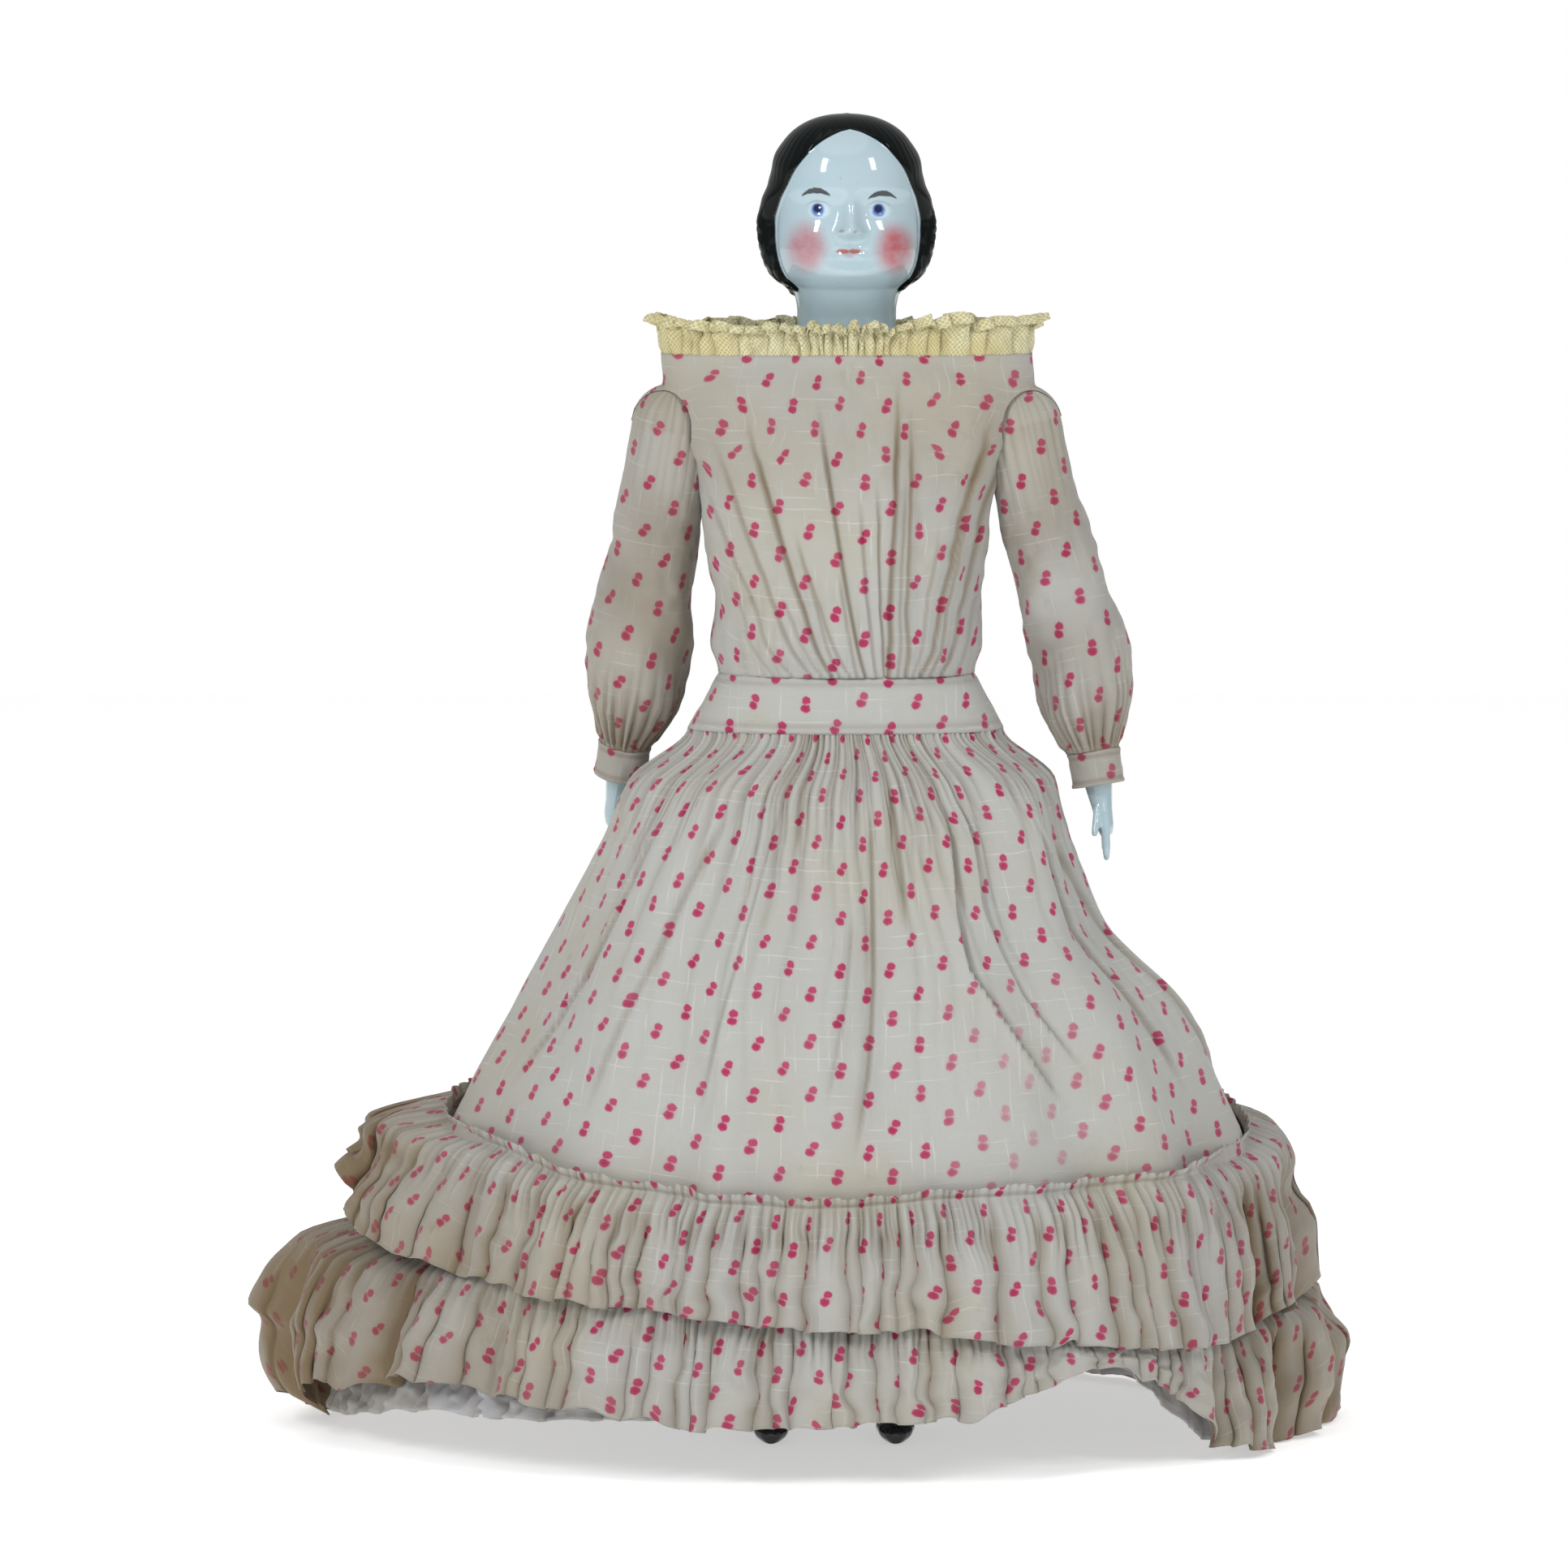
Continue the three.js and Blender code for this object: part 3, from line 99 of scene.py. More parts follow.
SKIRT_BACK_DEPTH = 142
WING_REACH = 44
WING_ANGLE = math.radians(101)
WING_SPREAD = math.radians(21)
ARM_HOLLOW = 6
UPPER_SEAM_HEIGHT = 104
LOWER_SEAM_HEIGHT = 64
HEM_LIFT = 28
SKIRT_FOLD_DEPTH = 3.6
SKIRT_FOLD_COUNT = 13
PETTICOAT_SEAM = 50
PETTICOAT_INSET = 9


# Smooth curves and folds


def through(rows, column=1):
    """A value that runs smoothly through rows of (place, value, value, ...)."""
    rows = np.array(rows, float)
    place, value = rows[:, 0], rows[:, column]
    steep = np.diff(value) / np.diff(place)
    slope = np.zeros(len(place))
    same_way = steep[:-1] * steep[1:] > 0
    total = np.where(same_way, steep[:-1] + steep[1:], 1)
    slope[1:-1] = np.where(same_way, 2 * steep[:-1] * steep[1:] / total, 0)

    def read(at):
        at = np.clip(at, place[0], place[-1])
        i = np.clip(np.searchsorted(place, at, "right") - 1, 0, len(place) - 2)
        span = place[i + 1] - place[i]
        t = (at - place[i]) / span
        rest = 1 - t
        low = value[i] * (1 + 2 * t) + slope[i] * span * t
        high = value[i + 1] * (3 - 2 * t) - slope[i + 1] * span * rest
        return low * rest * rest + high * t * t

    return read


def around(shares):
    """A value that runs smoothly round the doll through evenly spaced shares, from the front over its left."""
    shares = np.array(shares, float)

    def read(angle):
        turn = np.mod(angle / TURN, 1) * len(shares)
        i = np.floor(turn).astype(int)
        t = turn - i
        a, b, c, d = (shares[(i + k) % len(shares)] for k in (-1, 0, 1, 2))
        return b + ((c - a) * t + (2 * a - 5 * b + 4 * c - d) * t**2 + (3 * b - a - 3 * c + d) * t**3) / 2

    return read


def rise(low, high, at):
    """From 0 below low to 1 above high, smoothly."""
    t = np.clip((at - low) / (high - low), 0, 1)
    return t * t * (3 - 2 * t)


def hump(at, centre, spread):
    return np.exp(-(((at - centre) / spread) ** 2))


def near(angle, centre, spread):
    away = np.arctan2(np.sin(angle - centre), np.cos(angle - centre))
    return hump(away, 0, spread)


def oval(half_width, half_depth, angle, squareness=2.3):
    across = np.abs(np.sin(angle) / half_width) ** squareness
    along = np.abs(np.cos(angle) / half_depth) ** squareness
    return (across + along) ** (-1 / squareness)


def polar(radius, angle, height):
    """Points round the doll's axis, from millimetres to metres in the row frame."""
    x = radius * np.sin(angle) * MM + AXIS.x
    y = -radius * np.cos(angle) * MM + AXIS.y
    return np.stack(np.broadcast_arrays(x, y, height * MM), axis=-1)


def gathers(count, seed, uneven=0.45):
    """Rounded folds with narrow valleys, uneven in width and depth, as a function of the turn. From 0 to 1."""
    draw = np.random.default_rng(seed)
    widths = 1 + uneven * draw.uniform(-1, 1, count)
    edges = np.concatenate([[0], np.cumsum(widths) / widths.sum()])
    depth = draw.uniform(0.45, 1, count)
    samples = np.linspace(0, 1, 16384, endpoint=False)
    i = np.clip(np.searchsorted(edges, samples, "right") - 1, 0, count - 1)
    t = (samples - edges[i]) / (edges[i + 1] - edges[i])
    profile = depth[i] * np.sin(np.pi * t) ** 0.75
    samples, profile = np.append(samples, 1), np.append(profile, profile[0])
    return lambda turn: np.interp(np.mod(turn, 1), samples, profile)


def creases(count, seed, uneven=0.8, narrow=0.0017, shallow=0.25):
    """Flat folds between narrow valleys, as functions of the turn: their height, up to 1, and the painted shade
    that darkens their valleys.
    """
    draw = np.random.default_rng(seed)
    widths = np.exp(uneven * draw.uniform(-1, 1, count))
    edges = np.concatenate([[0], np.cumsum(widths) / widths.sum()])
    valleys = draw.uniform(shallow, 1, count)
    samples = np.linspace(0, 1, 32768, endpoint=False)
    i = np.clip(np.searchsorted(edges, samples, "right") - 1, 0, count - 1)
    width = edges[i + 1] - edges[i]
    t = (samples - edges[i]) / width
    deep = np.where(t < 0.5, valleys[i], valleys[(i + 1) % count])
    away = np.minimum(t, 1 - t) * width
    wide = np.minimum(1, width * count)
    shape = 1 - 0.65 * deep * np.exp(-away / narrow) - 0.35 * wide * (1 - np.sin(np.pi * t) ** 0.8)
    # painted shade: a dark line down each valley, which the cloth's material reads
    painted_shade = deep * np.exp(-away / narrow / 1.6)
    samples = np.append(samples, 1)
    shape, painted_shade = np.append(shape, shape[0]), np.append(painted_shade, painted_shade[0])
    return (
        lambda turn: np.interp(np.mod(turn, 1), samples, shape),
        lambda turn: np.interp(np.mod(turn, 1), samples, painted_shade),
    )


def crumple(cells_round, cells_down, seed):
    """Soft random lumps from -1 to 1, periodic round the doll. Takes turns and shares down."""
    grid = np.random.default_rng(seed).uniform(-1, 1, (cells_down + 3, cells_round))

    def read(turn, down):
        x = np.mod(turn, 1) * cells_round
        y = np.clip(down, 0, 1) * cells_down + 0.5
        i, j = np.floor(x).astype(int), np.floor(y).astype(int)
        tx, ty = x - i, y - j
        tx, ty = tx * tx * (3 - 2 * tx), ty * ty * (3 - 2 * ty)
        i0, i1 = i % cells_round, (i + 1) % cells_round
        top = grid[j, i0] * (1 - tx) + grid[j, i1] * tx
        low = grid[j + 1, i0] * (1 - tx) + grid[j + 1, i1] * tx
        return top * (1 - ty) + low * ty

    return read


# The dress's surfaces, as the solids have them

BELL_SHARES = [
    (0.0, 0.83, 1.0, 1.0, 1.0),
    (0.25, 0.815, 0.87, 0.92, 0.915),
    (0.386, 0.79, 0.815, 0.853, 0.817),
    (0.488, 0.733, 0.744, 0.8, 0.732),
    (0.61, 0.657, 0.651, 0.741, 0.648),
    (0.736, 0.5, 0.558, 0.638, 0.535),
    (0.927, 0.424, 0.43, 0.431, 0.352),
    (1.0, 0.317, 0.317, 0.284, 0.232),
]
WING_SHARES = [(0.0, 0.68, 0.82), (0.25, 0.6, 1.0), (0.386, 0.32, 0.6), (0.488, 0.08, 0.32), (0.58, 0.0, 0.0)]
bell_left, bell_right, bell_front, bell_back = (through(BELL_SHARES, k) for k in (1, 2, 3, 4))
wing_left, wing_right = (through(WING_SHARES, k) for k in (1, 2))
upper_seam_share = around([0.89, 0.92, 0.93, 0.95, 0.97, 1, 1, 1, 1, 1, 1, 1, 1.01, 1.02, 0.95, 0.9])
lower_seam_share = around([0.91, 0.87, 0.77, 0.74, 0.86, 0.97, 1, 1, 1, 1, 1, 1.03, 1.09, 1.1, 1.03, 0.95])
fold_share = through([(0.0, 1.0), (0.4, 1.0), (0.75, 0.8), (0.95, 0.5), (1.0, 0.0)])
round_fold_share = around([0.45, 0.6, 0.9, 1, 1, 0.9, 1, 1, 0.9, 1, 1, 0.9, 1, 1, 0.85, 0.6])
hem_share = around([0.76, 0.86, 1.3, 0.1, 0, 0, 0, 0, 0, 0, 0, 0, 0.4, 1.0, 0.88, 0.7])


def upper_seam_at(angle):
    return UPPER_SEAM_HEIGHT * upper_seam_share(angle)


def lower_seam_at(angle):
    return LOWER_SEAM_HEIGHT * lower_seam_share(angle)


def hem_at(angle):
    return HEM_LIFT * np.maximum(0, hem_share(angle))


# How far the flounces stand out at the doll's right and left sides, in millimetres, by height
WING_OUT = [
    (0, 16, 25),
    (8, 22, 27),
    (25, 37, 31),
    (34, 42, 28),
    (40, 48, 27),
    (52, 48, 28),
    (66, 43, 23),
    (76, 36, 14),
    (84, 30, 10),
    (96, 25, 13),
    (106, 30, 13),
    (114, 14, 8),
    (120, 3, 3),
    (127, 0, 0),
]
wing_out_right, wing_out_left = through(WING_OUT, 1), through(WING_OUT, 2)


def wing_out(angle, height):
    spread = math.radians(21)
    to_right = wing_out_right(height) * near(angle, -WING_ANGLE, spread)
    return to_right + wing_out_left(height) * near(angle, WING_ANGLE, spread)


def bell_radius(angle, height, reach=0.0):
    share = height / YOKE_SEAM
    to_left = np.sin(angle) > 0
    half_width = SKIRT_HALF_WIDTH * np.where(to_left, bell_left(share), bell_right(share))
    front, back = SKIRT_FRONT_DEPTH * bell_front(share), SKIRT_BACK_DEPTH * bell_back(share)
    wing = wing_left(share) * near(angle, WING_ANGLE, WING_SPREAD)
    wing = wing + wing_right(share) * near(angle, -WING_ANGLE, WING_SPREAD)
    hollow = 0
    for side, sign in SIDES:
        elbow = Vector(JOINTS[f"elbow_{side}"]["pos_m"]) - AXIS
        hollow = hollow + near(angle, math.atan2(elbow.x, -elbow.y), math.radians(15))
    hollow = hollow * hump(height, 215, 24)
    radius = oval(half_width, np.where(np.cos(angle) > 0, front, back), angle, 2.2)
    return radius + WING_REACH * reach * wing - ARM_HOLLOW * hollow


BODICE_SHARES = [
    (0.0, 0.685, 0.935),
    (0.15, 0.7, 0.92),
    (0.35, 0.735, 0.93),
    (0.5, 0.77, 0.95),
    (0.6, 0.785, 0.98),
    (0.68, 0.88, 1.0),
    (0.77, 1.0, 1.0),
    (0.88, 1.01, 0.93),
    (1.0, 0.99, 0.76),
]
bodice_width, bodice_depth = through(BODICE_SHARES, 1), through(BODICE_SHARES, 2)


def bodice_radius(angle, height):
    share = (height - BODICE_BOTTOM) / (BODICE_TOP - BODICE_BOTTOM)
    return oval(BODICE_HALF[0] * bodice_width(share), BODICE_HALF[1] * bodice_depth(share), angle)


# Cloth as a fine grid


def cloth_grid(name, points, flat, closed=True):
    """A sheet from rows of points, top row first, with its flat cloth coordinates in metres as a UV map."""
    rows, columns = points.shape[:2]
    index = np.arange(rows * columns).reshape(rows, columns)
    left = index if closed else index[:, :-1]
    right = np.roll(index, -1, axis=1) if closed else index[:, 1:]
    faces = np.stack([left[:-1], left[1:], right[1:], right[:-1]], axis=-1).reshape(-1, 4)
    mesh = bpy.data.meshes.new(name)
    mesh.from_pydata(points.reshape(-1, 3).tolist(), [], faces.tolist())
    corners = [flat[:-1, :-1], flat[1:, :-1], flat[1:, 1:], flat[:-1, 1:]]
    uv = np.stack(corners, axis=-2).reshape(-1, 2)
    mesh.uv_layers.new(name="cloth").data.foreach_set("uv", uv.astype(np.float32).ravel())
    mesh.polygons.foreach_set("use_smooth", np.ones(len(faces), bool))
    mesh.update()
    piece = bpy.data.objects.new(name, mesh)
    bpy.context.scene.collection.objects.link(piece)
    return piece


def store(piece, name, values):
    """Keeps a number at each vertex, which the piece's material reads."""
    layer = piece.data.attributes.new(name, "FLOAT", "POINT")
    layer.data.foreach_set("value", np.clip(values, 0, 1).astype(np.float32).ravel())


def lengths_along(points, closed=False):
    """Running length along the last but one axis of a grid of points."""
    if closed:
        points = np.concatenate([points, points[..., :1, :]], axis=-2)
    steps = np.linalg.norm(np.diff(points, axis=-2), axis=-1)
    start = np.zeros(steps.shape[:-1] + (1,))
    return np.concatenate([start, np.cumsum(steps, axis=-1)], axis=-1)


def thicken(piece, thickness, inward=True):
    wall = piece.modifiers.new("wall", "SOLIDIFY")
    wall.thickness = thickness * MM
    wall.offset = -1 if inward else 0
    return piece


# Sizes and colours that a user would change


class DollChina(bpy.types.PropertyGroup):
    """Colours of the porcelain and its painting"""

    glaze: bpy.props.FloatVectorProperty(
        name="Glaze", description="Bluish white glazed porcelain", subtype="COLOR", size=3,
        default=(0.405, 0.52, 0.575)
    )
    hair: bpy.props.FloatVectorProperty(
        name="Hair", description="Painted black of the hair and boots", subtype="COLOR", size=3, default=(
            0.004, 0.006, 0.006
        )
    )
    cheek: bpy.props.FloatVectorProperty(
        name="Cheek", description="Blush on the cheeks", subtype="COLOR", size=3, default=(0.43, 0.1, 0.115)
    )
    lip: bpy.props.FloatVectorProperty(
        name="Lip", description="Painted mouth", subtype="COLOR", size=3, default=(0.36, 0.05, 0.02)
    )
    iris: bpy.props.FloatVectorProperty(
        name="Iris", description="Painted blue of the eyes", subtype="COLOR", size=3,
        default=(0.05, 0.15, 0.52)
    )


class DollDress(bpy.types.PropertyGroup):
    """Cloth and print of the dress"""

    cotton: bpy.props.FloatVectorProperty(
        name="Cotton", description="Ground of the printed cotton", subtype="COLOR", size=3,
        default=(0.445, 0.45, 0.43)
    )
    # age also colours the painted shade in fold valleys and on the skirt's spread sides
    age: bpy.props.FloatVectorProperty(
        name="Age", description="Tan of the aged folds", subtype="COLOR", size=3, default=(0.3, 0.2, 0.1)
    )
    sprig: bpy.props.FloatVectorProperty(
        name="Sprig", description="Raspberry pink of the printed sprigs", subtype="COLOR", size=3,
        default=(0.4, 0.013, 0.095)
    )
    sprig_across: bpy.props.FloatProperty(
        name="Sprigs across", description="Distance between two sprigs of a row", unit="LENGTH",
        default=0.019, min=0.008
    )
    sprig_down: bpy.props.FloatProperty(
        name="Sprigs down", description="Distance between two sprigs of a column", unit="LENGTH",
        default=0.0178, min=0.008
    )
    net: bpy.props.FloatVectorProperty(
        name="Net", description="Cream of the frill at the neck", subtype="COLOR", size=3,
        default=(0.72, 0.69, 0.45)
    )
    petticoat: bpy.props.FloatVectorProperty(
        name="Petticoat", description="Greyed white cotton", subtype="COLOR", size=3,
        default=(0.44, 0.44, 0.46)
    )


class DollStage(bpy.types.PropertyGroup):
    """Camera and lamps"""

    distance: bpy.props.FloatProperty(
        name="Distance", description="From the camera to the doll", unit="LENGTH", default=3.0, min=0.5
    )
    elevation: bpy.props.FloatProperty(
        name="Elevation", description="Angle that the camera looks down", subtype="ANGLE",
        default=math.radians(5.5)
    )
    lamp: bpy.props.FloatProperty(
        name="Lamps", description="Strength of the soft lamps", subtype="FACTOR", default=1.0, min=0,
        soft_max=2
    )


# Shader nodes


def wire(tree, socket, value):
    if isinstance(value, bpy.types.NodeSocket):
        tree.links.new(value, socket)
    elif value is not None:
        socket.default_value = value


def put(tree, kind, settings=None, **values):
    node = tree.nodes.new(kind)
    for key, value in (settings or {}).items():
        setattr(node, key, value)
    for key, value in values.items():
        wire(tree, node.inputs[key.replace("_", " ")], value)
    return node


def calc(tree, operation, *values):
    node = tree.nodes.new("ShaderNodeMath")
    node.operation = operation
    for socket, value in zip(node.inputs, values):
        wire(tree, socket, value)
    return node.outputs[0]


def total(tree, first, *others):
    for other in others:
        first = calc(tree, "ADD", first, other)
    return first


def product(tree, first, *others):
    for other in others:
        first = calc(tree, "MULTIPLY", first, other)
    return first


def vector(tree, operation, *values):
    node = tree.nodes.new("ShaderNodeVectorMath")
    node.operation = operation
    for socket, value in zip(node.inputs, values):
        wire(tree, socket, value)
    return node.outputs["Value" if operation in ("LENGTH", "DISTANCE", "DOT_PRODUCT") else "Vector"]


def fade(tree, value, low, high, to_low=0.0, to_high=1.0):
    """A smooth step between two values, clamped."""
    settings = {"interpolation_type": "SMOOTHSTEP"}
    node = put(tree, "ShaderNodeMapRange", settings, Value=value, From_Min=low, From_Max=high)
    node.inputs["To Min"].default_value = to_low
    node.inputs["To Max"].default_value = to_high
    return node.outputs[0]


def tint(tree, factor, below, above, mode="MIX"):
    node = put(tree, "ShaderNodeMix", {"data_type": "RGBA", "blend_type": mode})
    wire(tree, node.inputs[0], factor)
    for socket, value in ((node.inputs[6], below), (node.inputs[7], above)):
        wire(tree, socket, value if isinstance(value, bpy.types.NodeSocket) else (*value, 1))
    return node.outputs[2]


def grain(tree, place, scale, detail=2.0, roughness=0.5, stretch=None):
    """A noise value from 0 to 1 at a place."""
    if stretch:
        place = vector(tree, "MULTIPLY", place, stretch)
    node = put(
        tree, "ShaderNodeTexNoise", None, Vector=place, Scale=scale, Detail=detail, Roughness=roughness
    )
    return node.outputs[0]


def attribute(tree, name):
    return put(tree, "ShaderNodeAttribute", {"attribute_name": name}).outputs["Fac"]


def ellipse(tree, place, centre, radii):
    """Distance from an ellipse's centre, 1 on its outline. Works on the first two coordinates."""
    away = vector(tree, "SUBTRACT", place, (*centre, 0))
    away = vector(tree, "DIVIDE", away, (*radii, 1))
    return vector(tree, "LENGTH", away)


def effect(name, inputs, outputs, build):
    """A shader node group with named sockets, which any material may use."""
    group = bpy.data.node_groups.new(name, "ShaderNodeTree")
    for label, kind, value in inputs:
        socket = group.interface.new_socket(name=label, in_out="INPUT", socket_type=kind)
        if value is not None:
            socket.default_value = value
    for label in outputs:
        group.interface.new_socket(name=label, in_out="OUTPUT", socket_type="NodeSocketFloat")
    given = group.nodes.new("NodeGroupInput").outputs
    taken = group.nodes.new("NodeGroupOutput").inputs
    for label, value in build(group, given).items():
        wire(group, taken[label], value)
    return group


def use(tree, group, **values):
    node = tree.nodes.new("ShaderNodeGroup")
    node.node_tree = group
    for key, value in values.items():
        wire(tree, node.inputs[key.replace("_", " ")], value)
    return node.outputs


def build_sprigs(tree, given):
    """Two-lobed sprigs in a half drop, each a little shifted, tilted and worn."""
    across, down = given["Across"], given["Down"]
    parts = put(tree, "ShaderNodeSeparateXYZ", None, Vector=given["Cloth"]).outputs
    half = product(tree, across, 0.5)
    columns = calc(tree, "DIVIDE", parts[0], half)
    column = calc(tree, "FLOOR", columns)
    drop = product(tree, calc(tree, "FLOORED_MODULO", column, 2.0), 0.5)
    rows = total(tree, calc(tree, "DIVIDE", parts[1], down), drop)
    row = calc(tree, "FLOOR", rows)
    cell = put(tree, "ShaderNodeCombineXYZ", None, X=column, Y=row).outputs[0]
    chance = put(tree, "ShaderNodeTexWhiteNoise", {"noise_dimensions": "3D"}, Vector=cell).outputs["Color"]
    chance = put(tree, "ShaderNodeSeparateXYZ", None, Vector=chance).outputs
    smear = put(
        tree, "ShaderNodeTexNoise", None, Vector=given["Cloth"], Scale=700.0, Detail=2.0
    ).outputs["Color"]
    smear = vector(tree, "SCALE", vector(tree, "SUBTRACT", smear, (0.5, 0.5, 0.5)))
    smear.node.inputs["Scale"].default_value = 1.0 * MM
    x = calc(tree, "SUBTRACT", total(tree, calc(tree, "SUBTRACT", columns, column), -0.5), 0.0)
    x = product(tree, x, half)
    y = product(tree, total(tree, calc(tree, "SUBTRACT", rows, row), -0.5), down)
    x = total(tree, x, product(tree, total(tree, chance[0], -0.5), 1.8 * MM))
    y = total(tree, y, product(tree, total(tree, chance[1], -0.5), 2.2 * MM))
    tilt = total(tree, product(tree, chance[2], 0.5), -0.4)
    leaned = total(tree, x, product(tree, tilt, y))
    y = calc(tree, "SUBTRACT", y, product(tree, tilt, x))
    place = put(tree, "ShaderNodeCombineXYZ", None, X=leaned, Y=y).outputs[0]
    place = vector(tree, "ADD", place, smear)
    upper = ellipse(tree, place, (0.3 * MM, 1.4 * MM), (1.55 * MM, 1.5 * MM))
    lower = ellipse(tree, place, (-0.2 * MM, -1.3 * MM), (1.75 * MM, 1.55 * MM))
    shape = calc(tree, "MINIMUM", upper, lower)
    middle = ellipse(tree, place, (0.9 * MM, 0.05 * MM), (1.5 * MM, 0.4 * MM))
    strength = total(tree, product(tree, chance[1], 0.14), 0.86)
    sprig = product(
        tree, fade(tree, shape, 0.8, 1.15, 1.0, 0.0), strength, fade(tree, middle, 0.3, 1.2, 0.45, 1.0)
    )
    deep = product(tree, fade(tree, lower, 0.2, 0.95, 1.0, 0.0), strength)
    halo = fade(tree, ellipse(tree, place, (0.0, -0.1 * MM), (2.9 * MM, 3.9 * MM)), 0.45, 1.0, 1.0, 0.0)
    return {"Sprig": sprig, "Deep": deep, "Halo": halo}


def build_weave(tree, given):
    """Plain weave with thicker threads, in a broken check, and a little fuzz."""
    cloth = given["Cloth"]
    drift = put(tree, "ShaderNodeTexNoise", None, Vector=cloth, Scale=60.0, Detail=1.0).outputs["Color"]
    drift = vector(tree, "SCALE", vector(tree, "SUBTRACT", drift, (0.5, 0.5, 0.5)))
    drift.node.inputs["Scale"].default_value = 2.4 * MM
    parts = put(tree, "ShaderNodeSeparateXYZ", None, Vector=vector(tree, "ADD", cloth, drift)).outputs
    threads, slubs = [], []
    for k, stretch in ((0, (520.0, 55.0, 1.0)), (1, (55.0, 520.0, 1.0))):
        phase = product(tree, calc(tree, "DIVIDE", parts[k], given["Thread"]), TURN)
        threads.append(calc(tree, "SINE", phase))
        phase = product(tree, calc(tree, "DIVIDE", parts[k], given["Slub"]), TURN)
        line = fade(tree, calc(tree, "COSINE", phase), 0.8, 1.0)
        broken = fade(tree, grain(tree, cloth, 1.0, 1.0, 0.5, stretch), 0.52, 0.68)
        slubs.append(product(tree, line, broken))
    thick = calc(tree, "MAXIMUM", *slubs)
    fuzz = grain(tree, cloth, 1600.0, 2.0, 0.7)
    woven = product(tree, *threads, 0.25)
    height = total(tree, woven, product(tree, thick, 0.9), product(tree, fuzz, 0.5))
    return {"Height": height, "Slub": thick, "Fuzz": fuzz}


def build_age(tree, given):
    """Uneven yellowing and a few brown marks."""
    place = given["Place"]
    broad = grain(tree, place, 16.0, 3.0, 0.6)
    small = grain(tree, place, 70.0, 4.0, 0.65)
    spots = grain(tree, place, 150.0, 2.0, 0.5)
    yellow = fade(tree, total(tree, product(tree, broad, 0.75), product(tree, small, 0.25)), 0.42, 0.68)
    brown = product(
        tree, fade(tree, small, 0.55, 0.8), fade(tree, spots, 0.45, 0.75), fade(tree, broad, 0.4, 0.6)
    )
    return {"Yellow": product(tree, yellow, given["Amount"]), "Brown": product(tree, brown, given["Amount"])}


def build_glaze(tree, given):
    """Faint waves, pits and grey specks of an old glaze."""
    place = given["Place"]
    waves = grain(tree, place, 90.0, 2.0, 0.5)
    pits = fade(tree, grain(tree, place, 1100.0, 1.0, 0.4), 0.68, 0.78)
    specks = fade(tree, grain(tree, place, 520.0, 2.0, 0.5), 0.7, 0.76)
    height = calc(tree, "SUBTRACT", product(tree, waves, 1.0), product(tree, pits, 0.25))
    cloud = fade(tree, grain(tree, place, 40.0, 3.0, 0.55), 0.35, 0.7)
    return {"Height": height, "Specks": specks, "Cloud": cloud}


def make_effects():
    vector_socket, number = "NodeSocketVector", "NodeSocketFloat"
    sprigs = [("Cloth", vector_socket, None), ("Across", number, 0.0184), ("Down", number, 0.0167)]
    effect("sprig_print", sprigs, ("Sprig", "Deep", "Halo"), build_sprigs)
    weave = [("Cloth", vector_socket, None), ("Thread", number, 0.5 * MM), ("Slub", number, 3.9 * MM)]
    effect("slub_weave", weave, ("Height", "Slub", "Fuzz"), build_weave)
    effect(
        "age_marks", [("Place", vector_socket, None), ("Amount", number, 1.0)], ("Yellow", "Brown"), build_age
    )
    effect("old_glaze", [("Place", vector_socket, None)], ("Height", "Specks", "Cloud"), build_glaze)


def group(name):
    return bpy.data.node_groups[name]


def new_material(name, roughness, color=None, **sockets):
    """A material with its Principled shader, and its object and cloth coordinates."""
    material = bpy.data.materials.new(f"{name}_finish")
    material.use_nodes = True
    tree = material.node_tree
    shader = tree.nodes["Principled BSDF"]
    shader.inputs["Roughness"].default_value = roughness
    for key, value in sockets.items():
        shader.inputs[key.replace("_", " ")].default_value = value
    if color:
        material.diffuse_color = (*color, 1)
    coordinates = tree.nodes.new("ShaderNodeTexCoord").outputs
    return material, tree, shader, coordinates["Object"], coordinates["UV"]


def bump(tree, shader, height, distance, strength=1.0):
    node = put(tree, "ShaderNodeBump", None, Height=height, Distance=distance, Strength=strength)
    wire(tree, shader.inputs["Normal"], node.outputs[0])


